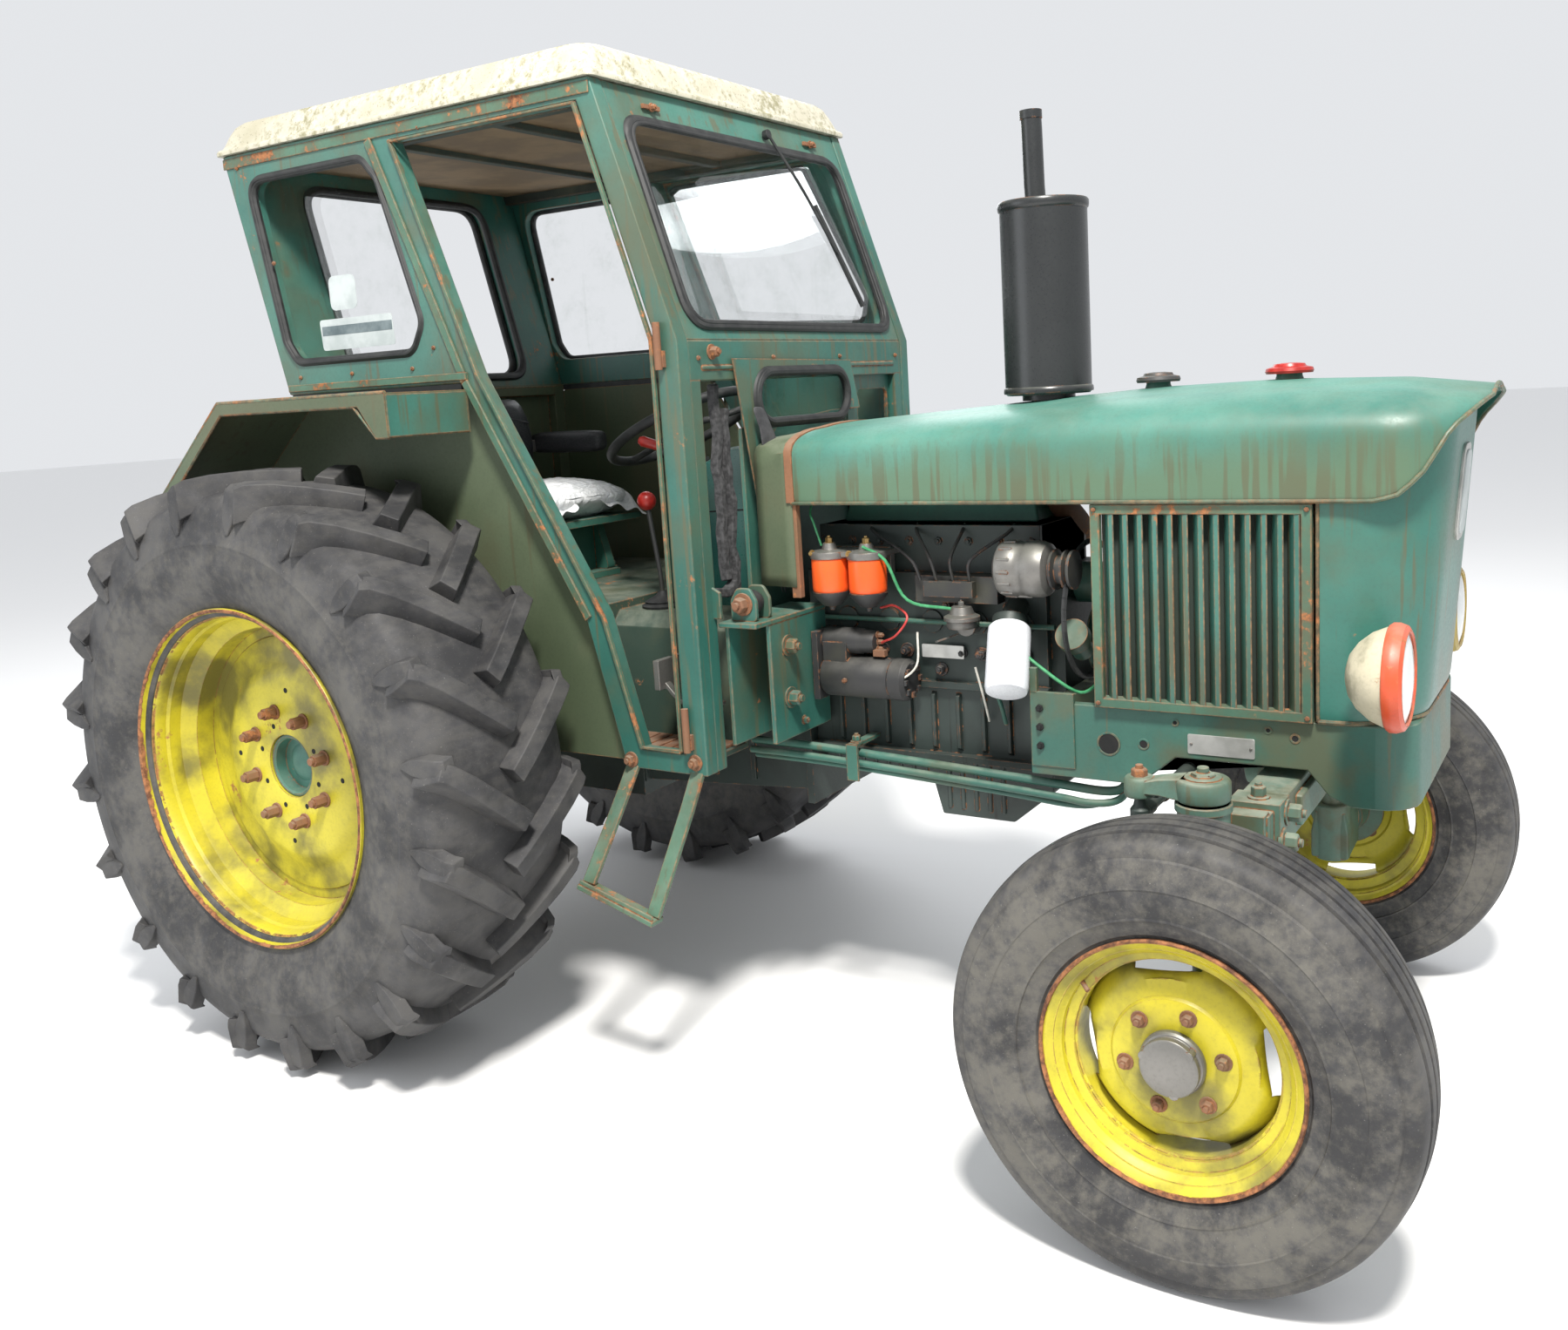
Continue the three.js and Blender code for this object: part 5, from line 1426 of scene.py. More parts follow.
    def build_caps(self) -> None:
        """The dark fuel cap and the red radiator cap on their necks."""
        for name, x, finish, size in (("fuel_cap", 1.903, Finishes.PART_BLACK, 0.044),
                                      ("radiator_cap", 2.172, Finishes.RED, 0.045)):
            z = self.top + lerp_table(self.crown, x) - 0.006
            neck = Forge().lathe([(0.0, z), (0.026, z), (0.028, z + 0.004), (0.025, z + 0.012), (0.025, z + 0.024),
                                  (0.0, z + 0.024)],
                                 (x, 0, 0), Axis.Z, 28)
            cap = Forge().lathe([(0.0, z + 0.016), (size, z + 0.016), (size + 0.002, z + 0.021), (size, z + 0.027),
                                 (size * 0.72, z + 0.030), (size * 0.66, z + 0.035), (size * 0.3, z + 0.037),
                                 (0.0, z + 0.037)],
                                (x, 0, 0), Axis.Z, 32)
            self.publish(neck, f"{name}_neck", "chassis", Finishes.DEEP)
            self.publish(cap, name, "chassis", finish)

    def build(self) -> None:
        """Builds the bonnet and what stands on it."""
        self.build_shell()
        self.build_rear_band()
        self.build_silencer()
        self.build_caps()


@dataclass
class Nose(SubAssembly):
    """The wrapped nose sheet with its badge, headlamps and side grilles."""

    rear: float = 2.283
    front: float = 2.458
    lean: float = 0.048
    base: float = 0.888
    top: float = 1.490
    half: float = 0.279
    corner: float = 0.15
    bonnet: Bonnet = field(default_factory=Bonnet)

    def plan(self, reach: float) -> list[tuple[float, float]]:
        """The sheet's line seen from above, right to left."""
        front = self.front + reach
        right = [(self.rear + (front - self.corner - self.rear) * i / 6, -self.half) for i in range(6)]
        for i in range(13):
            t = i / 12 * math.pi / 2
            right.append((front - self.corner + self.corner * math.sin(t),
                          -self.half + self.corner * (1 - math.cos(t))))
        middle = [(front, -0.129 + 0.129 * i / 4) for i in range(1, 5)]
        half = right + middle
        return half + [(x, -y) for x, y in reversed(half[:-1])]

    def build_sheet(self) -> None:
        """The sheet itself, with a rolled lower edge."""
        rows = []
        levels = [0.0, 0.008, 0.03, *[i / 16 for i in range(1, 17)]]
        for level in levels:
            row = []
            for x, y in self.plan(0):
                section = self.bonnet.section(min(x, 2.4))
                ceiling = 1.500
                for (y0, z0), (y1, z1) in zip(section[1:], section[2:]):
                    if y1 <= abs(y) <= y0:
                        ceiling = z0 + (z1 - z0) * (y0 - abs(y)) / max(y0 - y1, 1e-6)
                z = self.base + (min(ceiling, 1.482) - 0.014 - self.base) * level
                share = max(0.0, min(1.0, (x - self.rear) / 0.15))
                lean = self.lean * (z - self.base) / (self.top - self.base) * share
                tuck = 0.006 * max(0.0, 1 - level / 0.03)
                row.append((x + lean - tuck * share, y * (1 - tuck * 2), z))
            rows.append(row)
        sheet = Forge().sheet(rows)
        self.publish(sheet, "nose_sheet", "chassis", Finishes.NOSE, 0.0, ["nose_panel"], subdivide=1, thickness=0.004)
        edge = Forge().tube([Vector(p) for p in rows[0]], 0.005, 8)
        edge.tube([Vector(r[0]) for r in rows[::2]], 0.0035, 8)
        edge.tube([Vector(r[-1]) for r in rows[::2]], 0.0035, 8)
        self.publish(edge, "nose_edge_bead", "chassis", Finishes.STEP)
        badge = rounded([(-0.046, 1.20), (0.046, 1.20), (0.052, 1.30), (0.046, 1.385), (-0.046, 1.385),
                         (-0.052, 1.30)], 0.03)
        inner = [(y * 0.8, 1.2925 + (z - 1.2925) * 0.86) for y, z in badge]
        lean = Matrix.Translation((2.4575, 0, 0.888)) @ Matrix.Rotation(math.atan(0.048 / 0.602), 4,
                "Y") @ Matrix.Translation((0, 0, -0.888))
        self.publish(Forge().prism(badge, Axis.X, -0.002, 0.006).turn(lean), "badge_rim", "chassis", Finishes.PLATE,
                     0.002)
        self.publish(Forge().prism(inner, Axis.X, 0.002, 0.009).turn(lean), "badge_blank", "chassis",
                     Finishes.STICKER, 0.002)

    def build_lamp(self, side: Side) -> None:
        """One headlamp: bowl, rim, lens and bracket."""
        centre = (0.0, 0.362, 1.0)
        bowl = [(0.0, 2.349), (0.020, 2.350), (0.040, 2.356), (0.060, 2.370), (0.078, 2.392), (0.088, 2.415),
                (0.0905, 2.432),
                (0.086, 2.432), (0.082, 2.415), (0.0, 2.40)]
        rim = [(0.087, 2.421), (0.0925, 2.420), (0.0965, 2.426), (0.0965, 2.436), (0.092, 2.448), (0.083, 2.4535),
               (0.079, 2.450), (0.080, 2.444), (0.086, 2.436)]
        lens = [(0.0, 2.436), (0.082, 2.436), (0.080, 2.447), (0.06, 2.4525), (0.03, 2.4555), (0.0, 2.4565)]
        shell = Forge().lathe(bowl, centre, Axis.X, 56)
        shell.tube([(2.374, 0.30, 1.0), (2.374, 0.345, 1.0)], 0.014, 14).bolt((2.374, 0.284, 1.0), (0, 1, 0), 0.032)
        shell.strap([(2.374, 0.282, 0.985), (2.374, 0.312, 0.99)], 0.03, 0.03, (1, 0, 0))
        word = side.word
        self.publish(shell.onto(side), f"headlamp_bowl_{word}", "chassis", Finishes.LAMP_SHELL, 0.0,
                     [f"headlamp_{word}"])
        # The far lamp's rim takes the lighter copy of the rim paint, which is painted light.
        shade = Finishes.LAMP_RIM if side is Side.RIGHT else Finishes.LAMP_RIM_LIT
        self.publish(Forge().lathe(rim, centre, Axis.X, 56).onto(side), f"headlamp_rim_{word}", "chassis", shade)
        self.publish(Forge().lathe(lens, centre, Axis.X, 56).onto(side), f"headlamp_lens_{word}", "chassis",
                     Finishes.LENS)

    def build_grille(self, side: Side) -> None:
        """One louvred side panel with its frame, and behind it a dark sheet of painted shade."""
        x0, x1, z0, z1, outer = 1.850, 2.275, 0.885, 1.296, 0.287
        border = 0.020
        frame_piece = Forge().prism([(x0, z0), (x1, z0), (x1, z1), (x0, z1)], Axis.Y, outer - 0.016, outer,
                                    [[(x0 + border, z0 + border), (x1 - border, z0 + border),
                                      (x1 - border, z1 - border),
                                      (x0 + border, z1 - border)]])
        frame_piece.box((x0 + 0.01, outer - 0.03, z0 + 0.005), (x1 - 0.01, outer - 0.014, z0 + border))
        slats = Forge()
        count = 13
        pitch = (x1 - x0 - 2 * border) / count
        for i in range(count):
            x = x0 + border + pitch * (i + 0.5)
            plan = [(x - 0.013, outer - 0.0255), (x - 0.0105, outer - 0.027), (x + 0.0045, outer - 0.0075),
                    (x + 0.0135, outer - 0.0055),
                    (x + 0.0135, outer - 0.001), (x + 0.0025, outer - 0.003)]
            slats.prism(plan, Axis.Z, z0 + border - 0.004, z1 - border + 0.004)
        # A near-black sheet behind the louvres: painted shade where the inside of the nose is seen.
        shade_sheet = Forge().box((x0 + 0.012, outer - 0.040, z0 + 0.01), (x1 - 0.012, outer - 0.036, z1 - 0.01))
        screws = Forge()
        for x in (x0 + 0.009, x1 - 0.009):
            for z in (z0 + 0.010, z1 - 0.010):
                screws.bolt((x, outer, z), (0, 1, 0), 0.010, washer=False, reach=0.4)
        word = side.word
        self.publish(frame_piece.onto(side), f"side_grille_frame_{word}", "chassis", Finishes.STEP, 0.002,
                     [f"side_grille_{word}"])
        self.publish(slats.onto(side), f"side_grille_slats_{word}", "chassis", Finishes.GREEN, 0.0008)
        self.publish(shade_sheet.onto(side), f"side_grille_baffle_{word}", "chassis", Finishes.DARK, 0.001)
        self.publish(screws.onto(side), f"side_grille_screws_{word}", "chassis", Finishes.RUSTED)

    def build(self) -> None:
        """Builds the nose."""
        self.build_sheet()
        for side in Side:
            self.build_lamp(side)
            self.build_grille(side)
        core = Forge().box((2.11, -0.225, 0.91), (2.18, 0.225, 1.26))
        core.box((2.105, -0.235, 1.255), (2.185, 0.235, 1.29)).box((2.105, -0.235, 0.905), (2.185, 0.235, 0.93))
        for i in range(44):
            y = -0.215 + 0.01 * i
            core.box((2.1055, y, 0.93), (2.1845, y + 0.0012, 1.255))
        self.publish(core, "radiator_core", "chassis", Finishes.PART_BLACK, 0.0, ["radiator"])


# ---------------------------------------------------------------- engine bay and front casting
@dataclass
class FrontEnd(SubAssembly):
    """The front casting, the axle with its clamped ends, the knuckles and the track rod."""

    def build_casting(self) -> None:
        """The U-shaped casting with its bolts, holes and blank plate."""
        self.refine("front_frame", "chassis", Finishes.FRAME, 0.006)
        plate, bolts, holes = Forge(), Forge(), Forge()
        face = 0.2735
        plate.box((1.703, 0.262, 0.745), (1.800, face, 0.905)).box((1.703, 0.262, 0.90), (1.72, face, 0.955))
        for x, z in ((1.725, 0.87), (1.725, 0.83), (1.725, 0.79)):
            holes.bolt((x, face, z), (0, 1, 0), 0.017, washer=False, reach=0.35)
        for x, z, r in ((1.872, 0.806, 0.021), (1.945, 0.812, 0.008), (2.24, 0.85, 0.006), (2.01, 0.862, 0.004),
                        (2.19, 0.862, 0.004)):
            holes.tube([(x, 0.2695, z), (x, 0.2705, z)], r, 24)
            bolts.lathe([(r, 0.268), (r + 0.004, 0.268), (r + 0.004, 0.2715), (r, 0.2715)], (x, 0, z), Axis.Y, 24)
        data = Forge().prism(rounded([(2.035, 0.802), (2.165, 0.802), (2.165, 0.842), (2.035, 0.842)], 0.004), Axis.Y,
                             0.269, 0.2722)
        rivets = Forge()
        for x in (2.042, 2.158):
            rivets.bolt((x, 0.2720, 0.822), (0, 1, 0), 0.006, washer=False, sides=10, reach=0.3)
        for forge, name, finish, bevel in ((plate, "frame_side_plate", Finishes.FRAME, 0.002),
                                           (bolts, "frame_hole_rims", Finishes.FRAME, 0.0008),
                                           (holes, "frame_holes", Finishes.HOLE, 0.0),
                                           (data, "frame_blank_plate", Finishes.PLATE, 0.0006),
                                           (rivets, "frame_plate_rivets", Finishes.STEEL, 0.0)):
            if name in ("frame_blank_plate", "frame_plate_rivets"):
                forge.mirror()
            else:
                forge.both()
            self.publish(forge, name, "chassis", finish, bevel)

    def build_axle(self) -> None:
        """Beam, telescoping ends, clamp bolts and king-pin sleeves."""
        beam = Forge()
        beam.box((2.163, -0.36, 0.672), (2.247, 0.36, 0.768)).box((2.150, -0.30, 0.690), (2.260, 0.30, 0.750))
        beam.tube([(2.085, 0, 0.722), (2.285, 0, 0.722)], 0.05, 32)
        half = Forge()
        half.box((2.170, 0.34, 0.680), (2.240, 0.478, 0.760)).box((2.158, 0.37, 0.668), (2.252, 0.44, 0.772))
        half.box((2.116, 0.455, 0.676), (2.236, 0.492, 0.764)).box((2.112, 0.480, 0.675), (2.178, 0.545, 0.765))
        half.tube([(2.145, 0.545, 0.620), (2.145, 0.545, 0.798)], 0.046,
                  32).tube([(2.145, 0.545, 0.784), (2.145, 0.545, 0.798)], 0.05, 32)
        half.tube([(2.145, 0.545, 0.620), (2.145, 0.545, 0.634)], 0.05, 32)
        for y, z in ((0.390, 0.745), (0.420, 0.700)):
            half.bolt((2.252, y, z), (1, 0, 0), 0.034)
            half.tube([(2.15, y, z), (2.166, y, z)], 0.013, 6)
        half.bolt((2.205, 0.405, 0.772), (0, 0, 1), 0.028).both()
        self.publish(half, "front_axle_ends", "chassis", Finishes.AXLE, 0.004)
        self.publish(beam, "front_axle_beam", "chassis", Finishes.AXLE, 0.005, ["front_axle"])

    def build_knuckle(self, side: Side) -> None:
        """Stub axle, king pin and the cranked steering arm with its castle nut."""
        arm = Forge()
        arm.loft([[(2.03, 0.521, 0.806), (2.03, 0.569, 0.806), (2.03, 0.569, 0.826), (2.03, 0.521, 0.826)],
                  [(2.07, 0.522, 0.806), (2.07, 0.568, 0.806), (2.07, 0.565, 0.836), (2.07, 0.525, 0.836)],
                  [(2.11, 0.513, 0.804), (2.11, 0.577, 0.804), (2.11, 0.570, 0.842), (2.11, 0.520, 0.842)],
                  [(2.145, 0.505, 0.804), (2.145, 0.585, 0.804), (2.145, 0.578, 0.842), (2.145, 0.512, 0.842)]])
        arm.lathe([(0.0, 0.802), (0.046, 0.802), (0.048, 0.808), (0.048, 0.836), (0.044, 0.842), (0.0, 0.842)],
                  (2.145, 0.545, 0), Axis.Z, 32)
        arm.bolt((2.145, 0.545, 0.840), (0, 0, 1), 0.046, sides=6, reach=0.16)
        arm.lathe([(0.0, 0.796), (0.026, 0.796), (0.028, 0.802), (0.028, 0.828), (0.024, 0.834), (0.0, 0.834)],
                  (2.03, 0.545, 0), Axis.Z, 24)
        arm.tube([(2.145, 0.545, 0.332), (2.145, 0.545, 0.84)], 0.024, 24)
        foot = Forge().loft([[(2.101, 0.512, 0.335), (2.189, 0.512, 0.335), (2.189, 0.650, 0.345),
                              (2.101, 0.650, 0.345)],
                             [(2.101, 0.512, 0.40), (2.189, 0.512, 0.40), (2.189, 0.650, 0.42), (2.101, 0.650, 0.42)],
                             [(2.110, 0.515, 0.452), (2.180, 0.515, 0.452), (2.185, 0.650, 0.452),
                              (2.105, 0.650, 0.452)]])
        foot.tube([(2.145, 0.545, 0.33), (2.145, 0.545, 0.47)], 0.042, 32)
        foot.tube([(2.145, 0.642, 0.405), (2.145, 0.652, 0.405)], 0.047,
                  32).tube([(2.145, 0.650, 0.405), (2.145, 0.734, 0.405)], 0.02, 20)
        word = side.word
        self.publish(arm.onto(side), f"steering_arm_{word}", f"stub_axle_{word}", Finishes.AXLE, 0.003)
        self.publish(foot.onto(side), f"stub_axle_casting_{word}", f"stub_axle_{word}", Finishes.AXLE, 0.005,
                     [f"steering_knuckle_{word}"])
        nut = Forge().bolt((2.03, 0.545, 0.833), (0, 0, 1), 0.03, washer=False, reach=0.5)
        self.publish(nut.onto(side), f"steering_arm_nut_{word}", f"stub_axle_{word}", Finishes.RUSTED, 0.001)

    def build(self) -> None:
        """Builds the front end."""
        self.build_casting()
        self.build_axle()
        for side in Side:
            self.build_knuckle(side)
        rod = Forge().tube([(2.03, -0.50, 0.762), (2.03, 0.50, 0.762)], 0.012,
                           20).tube([(2.03, -0.42, 0.762), (2.03, 0.42, 0.762)], 0.0155, 20)
        ends = Forge().lathe([(0.0, 0.742), (0.014, 0.742), (0.018, 0.750), (0.018, 0.772), (0.012, 0.780),
                              (0.009, 0.794), (0.0, 0.794)], (2.03, 0.545, 0), Axis.Z, 24)
        ends.tube([(2.03, 0.49, 0.762), (2.03, 0.535, 0.762)], 0.0145, 20).bolt((2.03, 0.47, 0.777), (0, 0, 1),
                0.014).both()
        self.publish(rod, "track_rod_tube", "track_rod_bar", Finishes.CAST, 0.001, ["track_rod"])
        self.publish(ends, "track_rod_ends", "track_rod_bar", Finishes.CAST, 0.001)


@dataclass
class EngineBay(SubAssembly):
    """The engine with what is bolted to it, its pipes and wiring."""

    def build_block(self) -> None:
        """Block with ribs and core plugs, head, rocker cover, manifold and sump."""
        block = Forge().box((1.092, -0.150, 0.700), (1.696, 0.150, 1.130)).box((1.694, -0.130, 0.76),
                (1.728, 0.130, 1.10))
        block.box((1.122, -0.125, 1.128), (1.680, 0.135, 1.236))
        for i in range(9):
            x = 1.16 + 0.062 * i
            block.loft([[(x, 0.146, 0.72), (x + 0.014, 0.146, 0.72), (x + 0.011, 0.160, 0.73),
                         (x + 0.003, 0.160, 0.73)],
                        [(x, 0.146, 0.86), (x + 0.014, 0.146, 0.86), (x + 0.011, 0.160, 0.85),
                         (x + 0.003, 0.160, 0.85)]])
        for i in range(5):
            block.tube([(1.20 + i * 0.11, 0.146, 1.02), (1.20 + i * 0.11, 0.156, 1.02)], 0.026, 24)
        for i in range(8):
            block.bolt((1.135 + i * 0.075, 0.128, 1.20), (0, 1, 0), 0.02, reach=0.5)
        block.box((1.092, 0.146, 0.868), (1.70, 0.166, 0.884)).box((1.092, 0.146, 0.700), (1.70, 0.172, 0.716)).both()
        self.publish(block, "engine_block", "chassis", Finishes.CAST, 0.004, ["engine"])
        sump = Forge().prism([(1.092, 0.702), (1.102, 0.642), (1.39, 0.632), (1.41, 0.558), (1.59, 0.558),
                              (1.69, 0.642), (1.69, 0.702)],
                             Axis.Y, -0.125, 0.125)
        for i in range(8):
            x = 1.13 + i * 0.034
            sump.box((x, 0.12, 0.645), (x + 0.010, 0.1295, 0.70))
        for i in range(5):
            x = 1.425 + i * 0.034
            sump.box((x, 0.12, 0.575), (x + 0.012, 0.1295, 0.70))
        self.publish(sump.both(), "engine_sump", "chassis", Finishes.CAST, 0.005)
        cover = Forge().slab((1.152, -0.07, 1.236), (1.65, 0.07, 1.286), 0.012)
        manifold = Forge().tube([(1.18, 0.19, 1.16), (1.62, 0.19, 1.16)], 0.036, 24)
        for i in range(4):
            manifold.tube(smooth_path([(1.20 + i * 0.135, 0.13, 1.18), (1.20 + i * 0.135, 0.165, 1.175),
                                       (1.20 + i * 0.135, 0.19, 1.16)]), 0.026, 16)
        manifold.tube(smooth_path([(1.62, 0.19, 1.16), (1.655, 0.15, 1.20), (1.655, 0.04, 1.27),
                                   (1.655, 0.0, 1.335)]), 0.034, 20)
        self.publish(cover, "rocker_cover", "chassis", Finishes.DEEP, 0.006)
        self.publish(manifold, "exhaust_manifold", "chassis", Finishes.RUSTED, 0.0)

    def build_starter(self) -> None:
        """Starter body with end cap, solenoid, terminals and their wires."""
        y, z = -0.203, 0.892
        body = Forge().lathe([(0.0, 1.155), (0.03, 1.155), (0.034, 1.163), (0.046, 1.170), (0.048, 1.176),
                              (0.048, 1.330), (0.0465, 1.333),
                              (0.0465, 1.345), (0.048, 1.347), (0.048, 1.378), (0.040, 1.388), (0.0, 1.391)],
                              (0, y, z), Axis.X, 48)
        body.lathe([(0.0, 1.160), (0.024, 1.160), (0.029, 1.168), (0.030, 1.178), (0.030, 1.262), (0.027, 1.268),
                    (0.027, 1.285), (0.0225, 1.300),
                    (0.0, 1.306)], (0, -0.200, 0.975), Axis.X, 40)
        body.box((1.172, -0.232, 0.905), (1.235, -0.172, 0.975)).box((1.150, -0.245, 0.84), (1.166, -0.152, 1.0))
        for i in range(8):
            angle = TURN * i / 8
            body.box((1.372, y + 0.033 * math.cos(angle) - 0.006, z + 0.033 * math.sin(angle) - 0.006),
                     (1.394, y + 0.033 * math.cos(angle) + 0.006, z + 0.033 * math.sin(angle) + 0.006))
        self.publish(body, "starter_body", "chassis", Finishes.PART_BLACK, 0.002, ["starter_motor"])
        lugs = Forge()
        for dz in (-0.016, 0.0, 0.016):
            lugs.bolt((1.303, -0.200, 0.975 + dz), (1, 0, 0), 0.013, reach=0.9)
        lugs.box((1.300, -0.222, 0.945), (1.330, -0.206, 0.960)).bolt((1.33, -0.205, 0.93), (0, -1, 0), 0.014)
        lugs.bolt((1.24, -0.251, 0.892), (0, -1, 0), 0.012, washer=False)
        self.publish(lugs, "starter_terminals", "chassis", Finishes.RUSTED, 0.0008)

    def build_filters(self) -> None:
        """Two orange fuel cans with dark bowls under grey heads on a bracket."""
        cans, bowls, heads, brass = Forge(), Forge(), Forge(), Forge()
        for x in (1.208, 1.305):
            cans.lathe([(0.0, 1.096), (0.0405, 1.096), (0.0425, 1.100), (0.043, 1.106), (0.043, 1.168),
                        (0.041, 1.174), (0.0, 1.174)],
                       (x, -0.235, 0), Axis.Z, 40)
            bowls.lathe([(0.0, 1.052), (0.006, 1.052), (0.008, 1.060), (0.020, 1.063), (0.034, 1.078), (0.042, 1.088),
                         (0.0435, 1.096), (0.0, 1.097)],
                        (x, -0.235, 0), Axis.Z, 36)
            heads.lathe([(0.0, 1.172), (0.045, 1.172), (0.046, 1.180), (0.044, 1.188), (0.018, 1.192), (0.014, 1.206),
                         (0.0, 1.208)],
                        (x, -0.235, 0), Axis.Z, 36)
            brass.bolt((x, -0.235, 1.205), (0, 0, 1), 0.017)
            brass.bolt((x - 0.028, -0.265, 1.185), (0, -1, 0), 0.011)
        heads.box((1.168, -0.256, 1.176), (1.346, -0.152, 1.188)).box((1.18, -0.17, 1.13), (1.33, -0.152, 1.19))
        self.publish(cans, "fuel_filter_cans", "chassis", Finishes.ORANGE, 0.0, ["fuel_filters"])
        self.publish(bowls, "fuel_filter_bowls", "chassis", Finishes.PART_BLACK)
        self.publish(heads, "fuel_filter_heads", "chassis", Finishes.STEEL, 0.001)
        self.publish(brass, "fuel_filter_fittings", "chassis", Finishes.BRASS)

    def build_generator(self) -> None:
        """Alternator with its vents, fan and pulley, the belt, and the pump pulley."""
        y, z = -0.222, 1.155
        case = Forge().lathe([(0.0, 1.624), (0.044, 1.624), (0.056, 1.632), (0.0595, 1.642), (0.0595, 1.668),
                              (0.057, 1.672), (0.057, 1.690),
                              (0.0595, 1.694), (0.0595, 1.722), (0.054, 1.736), (0.040, 1.744), (0.0, 1.745)],
                              (0, y, z), Axis.X, 48)
        for i in range(14):
            angle = TURN * i / 14
            c, s = math.cos(angle), math.sin(angle)
            case.tube([(1.640, y + 0.058 * c, z + 0.058 * s), (1.668, y + 0.059 * c, z + 0.059 * s)], 0.0035, 8)
        case.box((1.66, -0.235, 1.095), (1.70, -0.155, 1.125))
        fan = Forge().lathe([(0.0, 1.746), (0.042, 1.746), (0.043, 1.752), (0.030, 1.756), (0.030, 1.768),
                             (0.041, 1.772), (0.041, 1.776), (0.030, 1.780),
                             (0.041, 1.786), (0.041, 1.792), (0.0, 1.795)], (0, y, z), Axis.X, 40)
        belt = Forge()
        ring = []
        for i in range(40):
            t = TURN * i / 40
            up, out = math.sin(t), math.cos(t)
            ring.append(Vector((1.780, y + 0.11 + 0.15 * out * (1.0 if out < 0 else 1.2), z - 0.10 + 0.145 * up)))
        for a, b in zip(ring, ring[1:] + ring[:1]):
            belt.tube([a, b], 0.006, 6)
        wheel = Forge().lathe([(0.0, 1.765), (0.075, 1.765), (0.079, 1.770), (0.066, 1.778), (0.079, 1.788),
                               (0.075, 1.793), (0.0, 1.793)],
                              (0, -0.03, 0.98), Axis.X, 40)
        for blade in range(6):
            angle = TURN * blade / 6
            tip = Vector((0, math.cos(angle), math.sin(angle)))
            wheel.strap([Vector((1.83, -0.03, 1.10)) + tip * 0.04, Vector((1.85, -0.03, 1.10)) + tip * 0.17], 0.062,
                        0.003,
                        Vector((0.5, 0, 0)) + tip.cross(Vector((1, 0, 0))))
        wheel.tube([(1.72, -0.03, 1.10), (1.86, -0.03, 1.10)], 0.045, 28)
        self.publish(case, "alternator_case", "chassis", Finishes.STEEL, 0.001, ["alternator"])
        self.publish(fan, "alternator_fan", "chassis", Finishes.PART_BLACK)
        self.publish(belt, "fan_belt", "chassis", Finishes.SEAL)
        self.publish(wheel, "cooling_fan", "chassis", Finishes.DEEP, 0.001)

    def build_small_parts(self) -> None:
        """Oil filter, fuel pump, filler cap, pipes, wires and the blank plate."""
        low, high = Vector((1.668, -0.312, 0.905)), Vector((1.642, -0.225, 1.030))
        way = (low - high).normalized()
        can = Forge().tube([high, high + way * 0.006, high + way * 0.02, low - way * 0.014, low - way * 0.004, low],
                           0.046, 40,
                           radii=[0.040, 0.045, 0.046, 0.046, 0.043, 0.034])
        self.publish(can, "oil_filter_can", "chassis", Finishes.WHITE, 0.0, ["oil_filter"])
        neck = Forge().tube([high - way * 0.02, high + way * 0.004], 0.038,
                            32).tube([(1.63, -0.15, 1.06), high - way * 0.015], 0.026, 20)
        self.publish(neck, "oil_filter_head", "chassis", Finishes.CAST, 0.001)
        pump = Forge().lathe([(0.0, 1.018), (0.030, 1.018), (0.034, 1.024), (0.034, 1.034), (0.040, 1.036),
                              (0.040, 1.044), (0.028, 1.050), (0.022, 1.066),
                              (0.0, 1.068)], (1.520, -0.205, 0), Axis.Z, 32)
        pump.tube([(1.520, -0.150, 1.02), (1.520, -0.19, 1.02)], 0.024, 20).bolt((1.520, -0.205, 1.066), (0, 0, 1),
                0.014)
        pump.strap([(1.50, -0.19, 1.0), (1.47, -0.235, 0.99)], 0.012, 0.004)
        self.publish(pump, "fuel_lift_pump", "chassis", Finishes.STEEL, 0.0008)
        filler = Forge().tube([(1.775, -0.145, 0.97), (1.775, -0.20, 1.01)], 0.024,
                              24).tube([(1.775, -0.190, 1.003), (1.775, -0.212, 1.018)], 0.036, 28)
        self.publish(filler, "oil_filler_cap", "chassis", Finishes.GREEN, 0.001)
        plate = Forge().prism(rounded([(1.395, 0.938), (1.50, 0.938), (1.50, 0.968), (1.395, 0.968)], 0.003), Axis.Y,
                              -0.163, -0.1585)
        self.publish(plate, "engine_blank_plate", "chassis", Finishes.PLATE, 0.0004)
        pipes = Forge()
        runs = [[(0.96, -0.235, 0.725), (1.2, -0.235, 0.722), (1.7, -0.235, 0.70), (1.86, -0.235, 0.695),
                 (1.90, -0.225, 0.72)],
                [(0.96, -0.245, 0.703), (1.2, -0.245, 0.700), (1.7, -0.245, 0.676), (1.82, -0.245, 0.668),
                 (1.88, -0.235, 0.68), (1.90, -0.22, 0.72)],
                [(0.96, -0.225, 0.685), (1.2, -0.225, 0.682), (1.6, -0.225, 0.662), (1.78, -0.225, 0.652),
                 (1.85, -0.215, 0.665)]]
        for k, run in enumerate(runs):
            pipes.tube(smooth_path(run), (0.0095, 0.008, 0.0065)[k], 14)
        pipes.strap([(1.255, -0.262, 0.66), (1.255, -0.262, 0.745)], 0.03, 0.006, (1, 0, 0))
        pipes.box((1.243, -0.262, 0.738), (1.267, -0.15, 0.746)).bolt((1.255, -0.24, 0.746), (0, 0, 1), 0.02)
        pipes.tube(smooth_path([(1.60, -0.17, 0.80), (1.60, -0.20, 0.86), (1.585, -0.215, 0.92),
                                (1.60, -0.19, 0.97)]), 0.005, 10)
